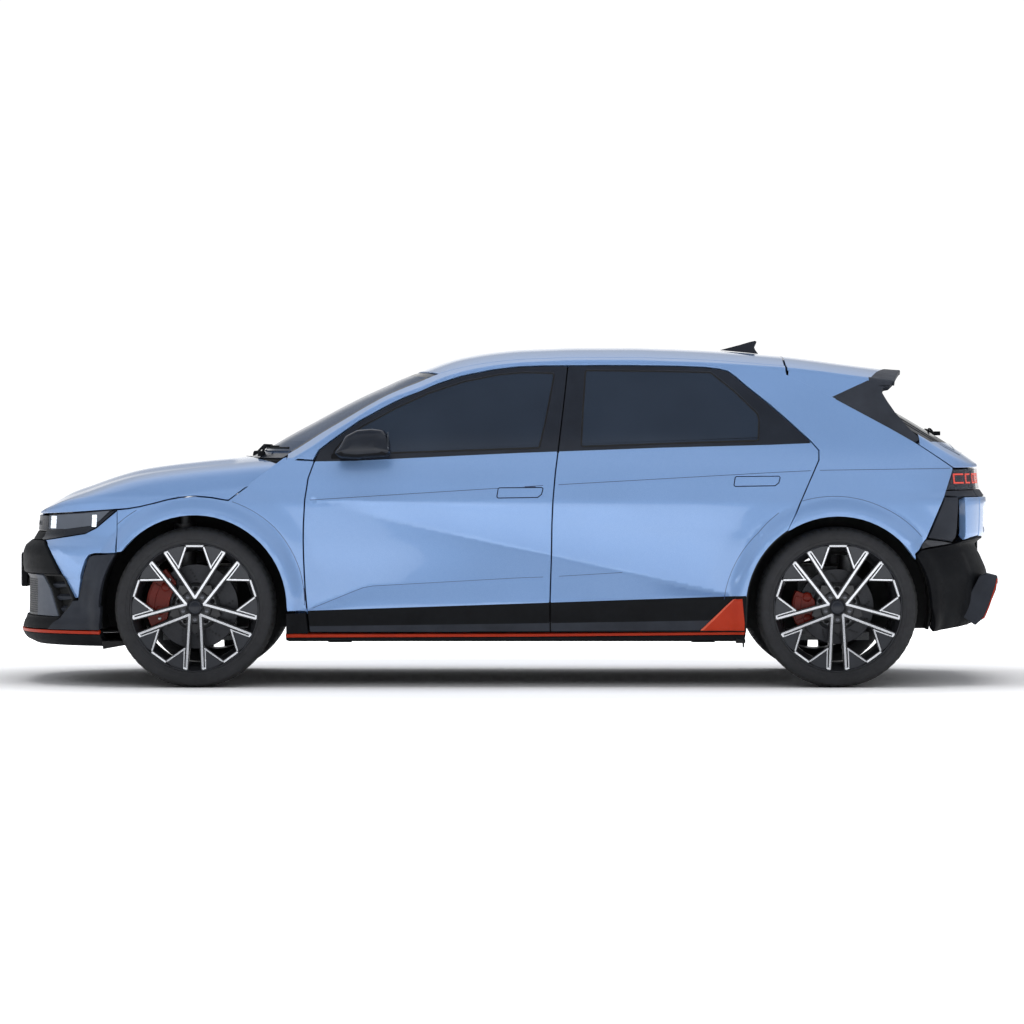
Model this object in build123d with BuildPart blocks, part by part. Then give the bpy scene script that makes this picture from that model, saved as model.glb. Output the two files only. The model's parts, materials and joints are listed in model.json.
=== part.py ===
from build123d import *
import os
from math import *

os.makedirs("parts", exist_ok=True)

# ---------------------------------------------------------------- driving dimensions (mm)
# Front is -X, the left side is -Y, +Z is up; the origin is on the ground under the middle.
AXLE_F = -1475.0          # front axle station
AXLE_R = 1525.0           # rear axle station (3000 wheelbase)
TYRE_R = 375.0            # tyre outside radius
TYRE_W = 275.0            # tyre section width
RIM_R = 292.0             # rim outside radius
WHEEL_Y = 820.0           # wheel centre plane from the centre line
HUB_Z = 375.0             # wheel centre height
KINGPIN_Y = 760.0         # steering axis from the centre line
ARCH_R = 426.0            # wheel arch opening
FLARE_R = 519.0           # outer crease of the wheel arch flare
WELL_R = 452.0            # inner wheel well
NOSE_XC = -1475.0         # station where the nose starts to draw in
NOSE_N = 2.9              # roundness of the nose in plan
TAIL_XC = 1600.0          # station where the tail starts to draw in
TAIL_N = 3.3              # roundness of the tail in plan
GATE_Y = 640.0           # half width of the tailgate between the tail lamps
FLOOR_Z = 318.0          # top of the cabin floor
JACK_Z = 212.0           # underside of the sills
GAP = 7.0                 # shut line between panels
SKIN = 9.0                # outer skin layer of a door
DOOR_D = 108.0            # full door depth
FRAME_D = 46.0            # window frame depth of a door
POST_D = 62.0             # depth at which the body's door frame starts
SILL_D = 112.0            # depth at which it ends
PLATE_PITCH_Y = 178.0     # number plate holes, across
PLATE_PITCH_Z = 121.0     # number plate holes, up


def curve(xs, ys):
    """A smooth monotone curve through the given points."""
    n = len(xs)
    h = [xs[i + 1] - xs[i] for i in range(n - 1)]
    d = [(ys[i + 1] - ys[i]) / h[i] for i in range(n - 1)]
    m = [d[0]] + [0.0] * (n - 2) + [d[-1]]
    for i in range(1, n - 1):
        if d[i - 1] * d[i] > 0:
            w1, w2 = 2 * h[i] + h[i - 1], h[i] + 2 * h[i - 1]
            m[i] = (w1 + w2) / (w1 / d[i - 1] + w2 / d[i])

    def at(x):
        if x <= xs[0]:
            return ys[0] + m[0] * (x - xs[0])
        if x >= xs[-1]:
            return ys[-1] + m[-1] * (x - xs[-1])
        i = 0
        while x > xs[i + 1]:
            i += 1
        t = (x - xs[i]) / h[i]
        a, b = (1 + 2 * t) * (1 - t) ** 2, t * (1 - t) ** 2
        c, e = t * t * (3 - 2 * t), t * t * (t - 1)
        return a * ys[i] + b * h[i] * m[i] + c * ys[i + 1] + e * h[i] * m[i + 1]

    return at


def smooth(t):
    t = min(1.0, max(0.0, t))
    return t * t * (3 - 2 * t)


# ---------------------------------------------------------------- body surfaces
width_at = curve([-1475, -900, -300, 300, 900, 1525, 1900, 2260],
                 [925, 935, 943, 945, 942, 925, 915, 905])
tuck_at = curve([185, 220, 260, 300, 350, 400, 550, 700, 850, 925],
                [-66, -56, -42, -30, -20, -13, -8, -2, 0, -8])
nose_at = curve([185, 217, 250, 294, 315, 500, 517, 550, 607, 650, 680, 705, 760, 800, 860, 1100],
                [2280, 2340, 2355, 2345, 2333, 2330, 2340, 2351, 2352, 2341, 2307, 2281, 2273, 2270, 2267, 2260])
tail_at = curve([185, 219, 255, 300, 400, 515, 600, 668, 693, 720, 877, 915, 1032, 1120, 1600],
                [2021, 2100, 2190, 2240, 2280, 2286, 2256, 2226, 2268, 2276, 2279, 2253, 2240, 2231, 2211])
roof_at = curve([-760, -600, -439, -306, -189, -72, 44, 161, 336, 569, 725, 861, 977, 1211, 1308, 1444, 1555, 1677, 1823, 1886],
                [1385, 1440, 1490, 1537, 1564, 1582, 1593, 1598, 1603, 1603, 1599, 1594, 1588, 1570, 1562, 1546, 1531, 1515, 1498, 1494])
screen_at = curve([-1480, -1239, -1180, -1064, -947, -831, -714, -597, -539, -439, -300],
                  [960, 1086, 1117, 1185, 1248, 1311, 1370, 1423, 1450, 1492, 1545])
hood_at = curve([-2400, -2274, -2230, -2172, -2114, -1997, -1880, -1764, -1647, -1530, -1414, -1297, -1239, -1000],
                [700, 800, 836, 871, 902, 945, 987, 1019, 1039, 1054, 1067, 1078, 1084, 1100])
hood_drop = curve([0, 300, 600, 780, 860, 905, 935, 985], [0, 6, 28, 54, 88, 128, 172, 260])
glass_at = curve([1300, 1500, 1886, 2007, 2100, 2259, 2400], [1578, 1480, 1272, 1200, 1144, 1034, 935])


def flare(x, z, soft=1.0):
    """Bulge of the wheel arches, out of the plain body side."""
    out = 0.0
    for cx in (AXLE_F, AXLE_R):
        r = hypot(x - cx, z - HUB_Z)
        if r < 640:
            rise = 36.0 * (1 - smooth((r - 446) / (FLARE_R - 446))) + 5.0 * (1 - smooth((r - FLARE_R) / 110))
            out = max(out, rise)
    return out * smooth((z - 150) / 130)


def side(x, z, bulge=True):
    """Half width of the body at station x and height z."""
    w = width_at(min(max(x, NOSE_XC), TAIL_XC))
    if z <= 925:
        w += tuck_at(max(z, 185))
    else:
        a = min(z, 1000) - 925
        w += -8 - (0.06 * a + (0.18 - 0.06) * a * a / 150)
        if z > 1000:
            b = min(z, 1200) - 1000
            w += -(0.18 * b + (0.58 - 0.18) * b * b / 400)
        if z > 1200:
            w += -0.58 * (z - 1200)
        k = smooth((z - 1000) / 420)
        w += -k * (34 * smooth((-250 - x) / 900) + 62 * smooth((x - 700) / 1200))
    f = 1.0
    if x < NOSE_XC:
        t = min(0.985, (NOSE_XC - x) / (nose_at(z) + NOSE_XC))
        f = (1 - t ** NOSE_N) ** (1 / NOSE_N)
    if x > TAIL_XC:
        t = min(0.985, (x - TAIL_XC) / (tail_at(z) - TAIL_XC))
        f = (1 - t ** TAIL_N) ** (1 / TAIL_N)
    return w * f + (flare(x, z) if bulge else 0.0)


def net(fn, us, vs):
    """A smooth face through fn(u, v) on a net of u and v."""
    return Face.make_surface_from_array_of_points([[Vector(*fn(u, v)) for v in vs] for u in us], tol=2.0, min_deg=3, max_deg=3)


def steps(a, b, n):
    return [a + (b - a) * i / (n - 1) for i in range(n)]


def side_slab(x0, x1, z0, z1, d0, d1, bulge=True, step=55.0):
    """The left body side between two depths under its surface."""
    us = steps(x0, x1, max(6, int((x1 - x0) / step) + 2))
    vs = steps(z0, z1, max(6, int((z1 - z0) / 42.0) + 2))
    face = net(lambda x, z: (x, -side(x, z, bulge) + d0, z), us, vs)
    return Solid.extrude(face, Vector(0, d1 - d0, 0))


def top_slab(fn, x0, x1, y1, d0, d1, y2=60.0, step=70.0):
    """A top surface between two depths under it, its left half by default (a little past the centre line)."""
    us = steps(x0, x1, max(8, int((x1 - x0) / step) + 2))
    vs = steps(-y1, y2, 20 if y2 < 100 else 39)
    face = net(lambda x, y: (x, y, fn(x, y) - d0), us, vs)
    return Solid.extrude(face, Vector(0, 0, d0 - d1))


def roof(x, y):
    return roof_at(x) - 62.0 * (abs(y) / 620.0) ** 2.5


def screen(x, y):
    return screen_at(x - 200.0 * (y / 800.0) ** 2)


def hood_top(x, y):
    return hood_at(x) - hood_drop(abs(y))


def back(x, y):
    return glass_at(x + 120.0 * (abs(y) / 760.0) ** 2.6)


def prism(points, y0=-1100.0, y1=0.0):
    """A side-view polygon (x, z) swept across the car."""
    return Solid.extrude(Face(Wire.make_polygon([Vector(x, y0, z) for x, z in points], close=True)), Vector(0, y1 - y0, 0))


def ring(cx, r, y0=-1100.0, y1=-400.0):
    """A cylinder about a wheel axle."""
    return Solid.make_cylinder(r, y1 - y0, Plane(origin=(cx, y0, HUB_Z), x_dir=(1, 0, 0), z_dir=(0, 1, 0)))


def box(x0, x1, y0, y1, z0, z1):
    return Solid.make_box(x1 - x0, y1 - y0, z1 - z0, Plane(origin=(x0, y0, z0)))


def plan_loft(end_at, xc, n, sign, levels, depth, x_back, bulge=True, na=23, nb=9):
    """The left half of the nose or tail: plan outlines stacked up, drawn in by depth."""
    wires = []
    params = None
    for z in levels:
        a = end_at(z) + xc if sign < 0 else end_at(z) - xc
        b = side(xc, z, False)
        line = []
        for t in steps(0, pi / 2, na):
            c, s = max(cos(t), 0.0) ** (2 / n), max(sin(t), 0.0) ** (2 / n)
            x, y = xc + sign * a * c, -b * s
            nx, ny = sign * c ** (n - 1) / a, -s ** (n - 1) / b
            m = hypot(nx, ny)
            f = flare(x, z) * smooth((-y - 500) / 250) if bulge else 0.0
            line.append((x + nx / m * (f - depth), y + ny / m * (f - depth)))
        for x in steps(xc, x_back, nb)[1:]:
            line.append((x, -side(x, z, bulge) + depth))
        line[0] = (line[0][0], 0.0)
        if params is None:
            run = [0.0]
            for (p, q), (r, s) in zip(line, line[1:]):
                run.append(run[-1] + hypot(r - p, s - q))
            params = [v / run[-1] for v in run]
        edge = Edge.make_spline([Vector(x, y, z) for x, y in line], tangents=[Vector(0, -1, 0), Vector(-sign, 0, 0)], parameters=params)
        p, q, r = Vector(line[0][0], 0, z), Vector(line[-1][0], line[-1][1], z), Vector(line[-1][0], 0, z)
        wires.append(Wire([edge, Edge.make_line(q, r), Edge.make_line(r, p)]))
    return Solid.make_loft(wires)


def circle_run(cx, r, a0, a1, n):
    """Points on a circle about a wheel axle in side view, angles in degrees."""
    return [(cx + r * cos(radians(a)), HUB_Z + r * sin(radians(a))) for a in steps(a0, a1, n)]


# ---------------------------------------------------------------- side-view outlines (x, z)
B_CUT = [(184, 256), (182, 400), (186, 520), (189, 600), (191, 760), (196, 876), (207, 1000), (221, 1109), (240, 1260), (269, 1507)]
DOOR_FRONT_EDGE = [(-918, 1056), (-946, 979), (-962, 876), (-968, 760), (-969, 690), (-967, 600), (-964, 526), (-959, 440), (-953, 372), (-945, 300), (-940, 256)]
RAIL_FRONT = [(160, 1506), (43, 1502), (-70, 1490), (-237, 1457), (-404, 1400), (-558, 1330), (-712, 1245), (-842, 1151), (-897, 1109)]
RAIL_REAR = [(410, 1508), (552, 1508), (774, 1505), (900, 1500), (975, 1493), (1024, 1481), (1062, 1452), (1107, 1412), (1217, 1323), (1312, 1237), (1403, 1151)]
FRONT_DOOR = DOOR_FRONT_EDGE + B_CUT + RAIL_FRONT
REAR_DOOR = (B_CUT[::-1] + [(1093, 256), (1096, 300)] + circle_run(AXLE_R, ARCH_R + 3.5, 180, 123, 9)
             + [(1330, 818), (1390, 953), (1439, 1063), (1440, 1108)] + RAIL_REAR[::-1])
FRONT_WINDOW = [(-860, 1080), (-700, 1092), (-300, 1108), (135, 1124), (150, 1200), (205, 1465), (60, 1466), (-60, 1455), (-215, 1424), (-380, 1372), (-530, 1303), (-690, 1213), (-800, 1138)]
REAR_WINDOW = [(325, 1128), (700, 1140), (1160, 1156), (1163, 1245), (1145, 1283), (1050, 1380), (947, 1462), (700, 1470), (345, 1472), (330, 1300)]
HOOD_CUT = [(-2420, 797), (-2274, 801), (-2060, 815), (-1845, 831), (-1790, 835), (-1731, 845), (-1660, 862), (-1600, 878), (-1540, 889), (-1475, 894), (-1400, 888),
            (-1340, 878), (-1300, 884), (-1250, 916), (-1190, 968), (-1125, 1025), (-1057, 1069)]
BEZEL_LOW = [(-2420, 688), (-2239, 687), (-2200, 686), (-2091, 704), (-1995, 719), (-1937, 748), (-1843, 829)]
FENDER = ([(-1840, 629), (-1840, 828)] + HOOD_CUT[4:] + [(-1040, 1066), (-925, 1060)] + DOOR_FRONT_EDGE[:-2]
          + [(-951, 357), (-1045, 354)] + circle_run(AXLE_F, ARCH_R + 1, 0, 145, 17))
QUARTER = ([(1440, 1108), (1439, 1063), (1390, 953), (1330, 818)] + circle_run(AXLE_R, ARCH_R + 1, 123, 32, 12)
           + [(1882, 625), (1902, 644), (1939, 698), (2028, 896), (2071, 1014), (2071, 1024), (1897, 1139), (1887, 1145), (1779, 1208),
              (1640, 1285), (1505, 1359), (1400, 1412), (1309, 1458)])

# ---------------------------------------------------------------- shared half solids
NOSE_Z = [185, 217, 250, 294, 330, 420, 500, 550, 607, 650, 680, 705, 760, 800, 860, 925, 1000, 1100]
TAIL_Z = [185, 219, 255, 300, 350, 430, 515, 600, 640, 668, 693, 720, 800, 877, 915, 970, 1032, 1090, 1160]
nose_outer = plan_loft(nose_at, NOSE_XC, NOSE_N, -1, NOSE_Z, 0.0, -1000.0)
nose_inner = plan_loft(nose_at, NOSE_XC, NOSE_N, -1, NOSE_Z, 28.0, -1000.0, False, 17, 6)
tail_outer = plan_loft(tail_at, TAIL_XC, TAIL_N, 1, TAIL_Z, 0.0, 1400.0)
tail_inner = plan_loft(tail_at, TAIL_XC, TAIL_N, 1, TAIL_Z, 32.0, 1400.0, False, 17, 5)
under_hood = top_slab(hood_top, -2420, -980, 1000, 0, 700)
under_hood_in = top_slab(hood_top, -2420, -980, 1000, 26, 700)
rear_well = ring(AXLE_R, WELL_R - 3, -1000, -639)


def inset(points, d):
    """A side-view polygon drawn in by d all round."""
    n = len(points)
    area = sum(points[i][0] * points[(i + 1) % n][1] - points[(i + 1) % n][0] * points[i][1] for i in range(n))
    d = d if area > 0 else -d
    out = []
    for i in range(n):
        (ax, az), (bx, bz), (cx, cz) = points[i - 1], points[i], points[(i + 1) % n]
        u, v = hypot(bx - ax, bz - az), hypot(cx - bx, cz - bz)
        ux, uz, vx, vz = (bx - ax) / u, (bz - az) / u, (cx - bx) / v, (cz - bz) / v
        nx, nz = -(uz + vz), ux + vx
        k = max(0.5, (nx * -uz + nz * ux))
        out.append((bx + nx * d / k, bz + nz * d / k))
    return out


def door_part(outline, window, x0, x1, keep_out=None):
    """One left-hand door: outer skin, window frame and door body, with its window cut."""
    skin = side_slab(x0, x1, 215, 1545, 0, SKIN)
    frame = side_slab(x0, x1, 215, 1545, SKIN - 1, FRAME_D)
    body = side_slab(x0, x1, 215, 1545, SKIN - 1, DOOR_D)
    with BuildPart() as door:
        with BuildSketch(Plane.XZ):
            with BuildLine():
                Polyline(*outline, close=True)
            make_face()
            offset(amount=-GAP / 2, kind=Kind.INTERSECTION)
        extrude(amount=1100)
        add(skin, mode=Mode.INTERSECT)
    with BuildPart() as inner:
        with BuildSketch(Plane.XZ):
            with BuildLine():
                Polyline(*outline, close=True)
            make_face()
            offset(amount=-27, kind=Kind.INTERSECTION)
        extrude(amount=1100)
        add(frame, mode=Mode.INTERSECT)
    with BuildPart() as lower:
        with BuildSketch(Plane.XZ):
            with BuildLine():
                Polyline(*outline, close=True)
            make_face()
            offset(amount=-44, kind=Kind.INTERSECTION)
        extrude(amount=1100)
        add(body, mode=Mode.INTERSECT)
        with BuildSketch(Plane.XY):
            with Locations(((x0 + x1) / 2, -900)):
                Rectangle(x1 - x0, 800)
        extrude(amount=1065, mode=Mode.INTERSECT)
    with BuildPart() as whole:
        add(door.part)
        add(inner.part)
        add(lower.part)
        if keep_out is not None:
            add(keep_out, mode=Mode.SUBTRACT)
        with BuildSketch(Plane.XZ):
            with BuildLine():
                Polyline(*window, close=True)
            make_face()
        extrude(amount=1100, mode=Mode.SUBTRACT)
    return whole.part


def glass_part(window, x0, x1, depth):
    """The pane of a door window, let into the frame."""
    pane = side_slab(x0, x1, 1040, 1530, depth, depth + 5)
    with BuildPart() as glass:
        with BuildSketch(Plane.XZ):
            with BuildLine():
                Polyline(*window, close=True)
            make_face()
            offset(amount=-0.5, kind=Kind.INTERSECTION)
        extrude(amount=1100)
        add(pane, mode=Mode.INTERSECT)
    return glass.part


def save(piece, name):
    piece.label = name
    export_step(piece, "parts/" + name + ".step")


# ---------------------------------------------------------------- doors
front_door = door_part(FRONT_DOOR, FRONT_WINDOW, -1010, 320)
rear_door = door_part(REAR_DOOR, REAR_WINDOW, 150, 1480, keep_out=ring(AXLE_R, WELL_R + 10, -925, -600))
front_glass = glass_part(FRONT_WINDOW, -1010, 320, 12)
rear_glass = glass_part(REAR_WINDOW, 150, 1480, 12)

with BuildPart() as front_left_door:
    add(front_door)
save(front_left_door.part, "front_left_door")

with BuildPart() as front_right_door:
    add(front_door)
    mirror(about=Plane.XZ, mode=Mode.REPLACE)
save(front_right_door.part, "front_right_door")

with BuildPart() as rear_left_door:
    add(rear_door)
save(rear_left_door.part, "rear_left_door")

with BuildPart() as rear_right_door:
    add(rear_door)
    mirror(about=Plane.XZ, mode=Mode.REPLACE)
save(rear_right_door.part, "rear_right_door")

with BuildPart() as front_left_door_glass:
    add(front_glass)
save(front_left_door_glass.part, "front_left_door_glass")

with BuildPart() as front_right_door_glass:
    add(front_glass)
    mirror(about=Plane.XZ, mode=Mode.REPLACE)
save(front_right_door_glass.part, "front_right_door_glass")

with BuildPart() as rear_left_door_glass:
    add(rear_glass)
save(rear_left_door_glass.part, "rear_left_door_glass")

with BuildPart() as rear_right_door_glass:
    add(rear_glass)
    mirror(about=Plane.XZ, mode=Mode.REPLACE)
save(rear_right_door_glass.part, "rear_right_door_glass")

# ---------------------------------------------------------------- door mirrors
with BuildPart() as front_left_mirror:
    with BuildSketch(Plane.XZ.offset(955)):
        with Locations((-690, 1128)):
            Ellipse(112, 58)
    with BuildSketch(Plane.XZ.offset(1020)):
        with Locations((-692, 1132)):
            Ellipse(132, 72)
    with BuildSketch(Plane.XZ.offset(1072)):
        with Locations((-700, 1130)):
            Ellipse(96, 52)
    loft()
    with BuildSketch(Plane.XZ.offset(912)):
        with Locations((-745, 1082)):
            SlotOverall(150, 34)
    extrude(amount=60)
    with BuildSketch(Plane.XZ.offset(893)):
        with Locations((-752, 1076)):
            SlotOverall(120, 24)
    extrude(amount=40)
    add(side_slab(-1010, 320, 980, 1300, -3, 60), mode=Mode.SUBTRACT)
    with BuildSketch(Plane.YZ.offset(-560)):
        with Locations((-1018, 1130)):
            Rectangle(400, 400)
    extrude(amount=80, mode=Mode.SUBTRACT)
save(front_left_mirror.part, "front_left_mirror")

with BuildPart() as front_right_mirror:
    add(front_left_mirror.part)
    mirror(about=Plane.XZ, mode=Mode.REPLACE)
save(front_right_mirror.part, "front_right_mirror")

# ---------------------------------------------------------------- hood and fenders
hood_zone = prism([(x, z + GAP / 2) for x, z in HOOD_CUT] + [(-1054, 1150), (-1054, 1300), (-2420, 1300)], -1150, 0)
hood_rear = Solid.extrude(Face(Wire.make_polygon(
    [Vector(x, y, 700) for x, y in [(-2500, 5), (-1282, 5)] + [(-1282 + 200 * (y / 800) ** 2, -y) for y in steps(60, 860, 12)] + [(-1052, -1150), (-2500, -1150)]],
    close=True)), Vector(0, 0, 700))
hood_half = ((nose_outer & hood_zone) & under_hood) & hood_rear
hood_core = (nose_inner & under_hood_in) & prism([(x, z - 40) for x, z in HOOD_CUT] + [(-1000, 1300), (-2420, 1300)], -1150, 5)
with BuildPart() as hood:
    add(hood_half)
    add(hood_core, mode=Mode.SUBTRACT)
    mirror(about=Plane.XZ)
save(hood.part, "hood")

with BuildPart() as fender:
    with BuildSketch(Plane.XZ):
        with BuildLine():
            Polyline(*inset(FENDER, GAP / 2), close=True)
        make_face()
    extrude(amount=1100)
    add(side_slab(-1900, -900, 300, 1100, 0, 5), mode=Mode.INTERSECT)
    add(under_hood, mode=Mode.INTERSECT)
with BuildPart() as front_fenders:
    add(fender.part)
    mirror(about=Plane.XZ)
save(front_fenders.part, "front_fenders")

# ---------------------------------------------------------------- front end
LAMP_ZONE = [(x, z - GAP / 2) for x, z in HOOD_CUT[:4]] + [(x, z + 3) for x, z in BEZEL_LOW[:-1][::-1]]
with BuildPart() as lamp:
    add(nose_outer & prism(LAMP_ZONE, -1100, -600))
    add(nose_inner, mode=Mode.SUBTRACT)
with BuildPart() as headlamps:
    add(lamp.part)
    mirror(about=Plane.XZ)
save(headlamps.part, "headlamps")

bumper_zone = prism([(-2450, 262), (-1915, 262), (-1901, 375)] + circle_run(AXLE_F, ARCH_R + 3, 180, 146, 6)
                    + [(-1843, 629), (-1843, 823)] + BEZEL_LOW[::-1][1:], -1150, 0)
mask_zone = prism([(x, z - GAP / 2) for x, z in HOOD_CUT[:3]] + [(-2060, 690), (-2450, 680)], -597, 0)
intake = Solid.extrude(Face(Wire.make_polygon([Vector(-2500, y, z) for y, z in
                       [(0, 515), (-560, 520), (-690, 515), (-650, 330), (-600, 312), (0, 312)]], close=True)), Vector(350, 0, 0))
with BuildPart() as bumper:
    add(nose_outer & bumper_zone)
    add(nose_outer & mask_zone)
    add(nose_inner, mode=Mode.SUBTRACT)
    add(intake, mode=Mode.SUBTRACT)
with BuildPart() as front_bumper:
    add(bumper.part)
    mirror(about=Plane.XZ)
    with Locations((-2349, 0, 531)):
        Box(26, 316, 158)
    with BuildSketch(Plane.YZ.offset(-2362)):
        with GridLocations(PLATE_PITCH_Y, PLATE_PITCH_Z, 2, 2):
            with Locations((0, 531)):
                Circle(3.5)
    extrude(amount=60, mode=Mode.SUBTRACT)
save(front_bumper.part, "front_bumper")

nose_mid = plan_loft(nose_at, NOSE_XC, NOSE_N, -1, NOSE_Z, 12.0, -1600.0, False, 17, 4)
with BuildPart() as grille:
    add(nose_mid & intake)
    add(nose_inner, mode=Mode.SUBTRACT)
with BuildPart() as front_grille:
    add(grille.part)
    mirror(about=Plane.XZ)
save(front_grille.part, "front_grille")

with BuildPart() as splitter:
    add(nose_outer & prism([(-2450, 186), (-1935, 186), (-1915, 259), (-2450, 259)], -1150, 0))
    add(box(-2240, -1800, -1100, 10, 206, 300), mode=Mode.SUBTRACT)
with BuildPart() as front_splitter:
    add(splitter.part)
    mirror(about=Plane.XZ)
save(front_splitter.part, "front_splitter")

# ---------------------------------------------------------------- roof, screens and body sides
roof_under = top_slab(roof, -800, 1950, 760, 0, 700)
roof_in = top_slab(roof, -800, 1950, 760, 55, 700)
screen_under = top_slab(screen, -1500, -250, 960, 0, 900)
screen_in = top_slab(screen, -1500, -250, 960, 62, 900)
back_under = top_slab(back, 1250, 2450, 900, 0, 900)
back_in = top_slab(back, 1250, 2450, 900, 50, 900)

roof_edge = [(-455, 0)] + [(-455 + 200 * (y / 800) ** 2, -y) for y in steps(60, 599, 9)] + [(1296, -599)]
with BuildPart() as roof_panel:
    add(top_slab(roof, -800, 1950, 760, 0, 28, 760))
    with BuildSketch(Plane.XY.offset(1200)):
        with BuildLine():
            Polyline(*(roof_edge + [(x, -y) for x, y in roof_edge[:0:-1]]), close=True)
        make_face()
    extrude(amount=500, mode=Mode.INTERSECT)
save(roof_panel.part, "roof_panel")

screen_low = [(-1262 + 200 * (y / 800) ** 2, -y) for y in [0] + steps(60, 775, 10)]
screen_high = [(-462 + 200 * (y / 800) ** 2, -y) for y in steps(590, 0, 8)]
screen_edge = screen_low + [(-345, -592)] + screen_high
with BuildPart() as windshield:
    add(top_slab(screen, -1500, -250, 960, 4, 10, 960))
    with BuildSketch(Plane.XY.offset(900)):
        with BuildLine():
            Polyline(*(screen_edge + [(x, -y) for x, y in screen_edge[-2:0:-1]]), close=True)
        make_face()
    extrude(amount=800, mode=Mode.INTERSECT)
save(windshield.part, "windshield")

RAIL_ZONE = ([(-1050, 1072)] + [(-925, 1058), (-897, 1109)] + RAIL_FRONT[::-1][1:] + [(269, 1507)] + RAIL_REAR
             + [(1440, 1108)] + QUARTER[1:] + [(1300, 1462), (1293, 1640), (-600, 1640), (-1150, 1200)])
side_skin = side_slab(-1100, 2085, 560, 1600, 0, 64) & prism(inset(RAIL_ZONE, GAP / 2), -1100, 0)
side_skin = (side_skin & roof_under) & screen_under
rail_top = (top_slab(roof, -800, 1400, 760, 0.2, 52) & Solid.extrude(Face(Wire.make_polygon(
    [Vector(x, y, 1200) for x, y in [(-345, -602), (-345, -760), (1296, -760), (1296, -602)]], close=True)), Vector(0, 0, 500))) & side_slab(-500, 1400, 1300, 1640, 20, 500)
screen_hole = Solid.extrude(Face(Wire.make_polygon(
    [Vector(x, y, 900) for x, y in [(-1400, 10), (-1400, -779), (-1075, -779), (-345, -597), (-345, 10)]], close=True)), Vector(0, 0, 900))
frame_ring = side_slab(-1008, 1500, 190, 1540, POST_D, SILL_D, False) & prism(
    [(-1008, 262), (-1008, 1040), (-925, 1090), (-842, 1170), (-712, 1262), (-558, 1346), (-404, 1414), (-237, 1470), (-70, 1502), (43, 1512), (552, 1516), (975, 1504),
     (1500, 1180), (1500, 800)] + circle_run(AXLE_R, WELL_R - 4, 92, 180, 8) + [(1066, 262)], -1100, 0)
with BuildPart() as front_opening:
    with BuildSketch(Plane.XZ):
        with BuildLine():
            Polyline(*FRONT_DOOR, close=True)
        make_face()
        offset(amount=-26, kind=Kind.INTERSECTION)
    extrude(amount=1100)
with BuildPart() as rear_opening:
    with BuildSketch(Plane.XZ):
        with BuildLine():
            Polyline(*REAR_DOOR, close=True)
        make_face()
        offset(amount=-26, kind=Kind.INTERSECTION)
    extrude(amount=1100)
with BuildPart() as side_half:
    add(side_skin)
    add(rail_top)
    add(screen_hole, mode=Mode.SUBTRACT)
    add(box(-460, 1300, -602, 10, 1300, 1700), mode=Mode.SUBTRACT)
    add(frame_ring)
    add(front_opening.part, mode=Mode.SUBTRACT)
    add(rear_opening.part, mode=Mode.SUBTRACT)
    add(box(-460, 1300, -602, 10, 1300, 1700), mode=Mode.SUBTRACT)
with BuildPart() as body_sides:
    add(side_half.part)
    mirror(about=Plane.XZ)
save(body_sides.part, "body_sides")

# ---------------------------------------------------------------- tail end
LAMP_SIDE = [(2078, 1016), (2040, 923), (2330, 926), (2330, 1020), (2090, 1020)]
TAIL_PANEL = [(2034, 890), (1943, 692), (1905, 642), (1884, 625)] + circle_run(AXLE_R, ARCH_R + 4, 35, 0, 6) + [(1957, 252), (2180, 284), (2450, 300), (2450, 919), (2044, 919)]
with BuildPart() as tail_lamp_half:
    add(tail_outer & prism(LAMP_SIDE, -1100, -(GATE_Y + 7)))
    add(tail_inner, mode=Mode.SUBTRACT)
with BuildPart() as tail_lamps:
    add(tail_lamp_half.part)
    mirror(about=Plane.XZ)
save(tail_lamps.part, "tail_lamps")

gate_gap = box(2100, 2500, -(GATE_Y + 4), 5, 693, 1300)
diffuser_gap = box(1970, 2500, -644, 5, 100, 504)
with BuildPart() as rear_bumper_half:
    add(tail_outer & prism(TAIL_PANEL, -1150, 0))
    add(tail_inner, mode=Mode.SUBTRACT)
    add(gate_gap, mode=Mode.SUBTRACT)
    add(diffuser_gap, mode=Mode.SUBTRACT)
with BuildPart() as rear_bumper:
    add(rear_bumper_half.part)
    mirror(about=Plane.XZ)
    with Locations((2300, 0, 600)):
        Box(104, 340, 176, mode=Mode.SUBTRACT)
    with Locations((2229, 0, 600)):
        Box(42, 342, 178)
    with BuildSketch(Plane.YZ.offset(2180)):
        with GridLocations(PLATE_PITCH_Y, PLATE_PITCH_Z, 2, 2):
            with Locations((0, 600)):
                Circle(3.5)
    extrude(amount=80, mode=Mode.SUBTRACT)
save(rear_bumper.part, "rear_bumper")

with BuildPart() as rear_diffuser:
    with BuildSketch(Plane.XZ.offset(-640)):
        with BuildLine():
            Polyline((1990, 262), (2185, 286), (2222, 312), (2300, 450), (2362, 476), (2362, 500), (2296, 500), (2270, 440), (2206, 336), (2180, 314), (1990, 290), close=True)
        make_face()
    extrude(amount=1280)
    with BuildSketch(Plane.XY.offset(200)):
        with BuildLine():
            Polyline(*([(1900, 700), (1900, -700)] + [(2362 - 61 * (abs(y) / 640) ** 1.15, y) for y in steps(-700, 700, 29)]), close=True)
        make_face()
    extrude(amount=400, mode=Mode.INTERSECT)
    for fin_y in (-420, -140, 140, 420):
        with Locations((2212, fin_y, 334)):
            Box(90, 12, 88)
save(rear_diffuser.part, "rear_diffuser")

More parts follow.
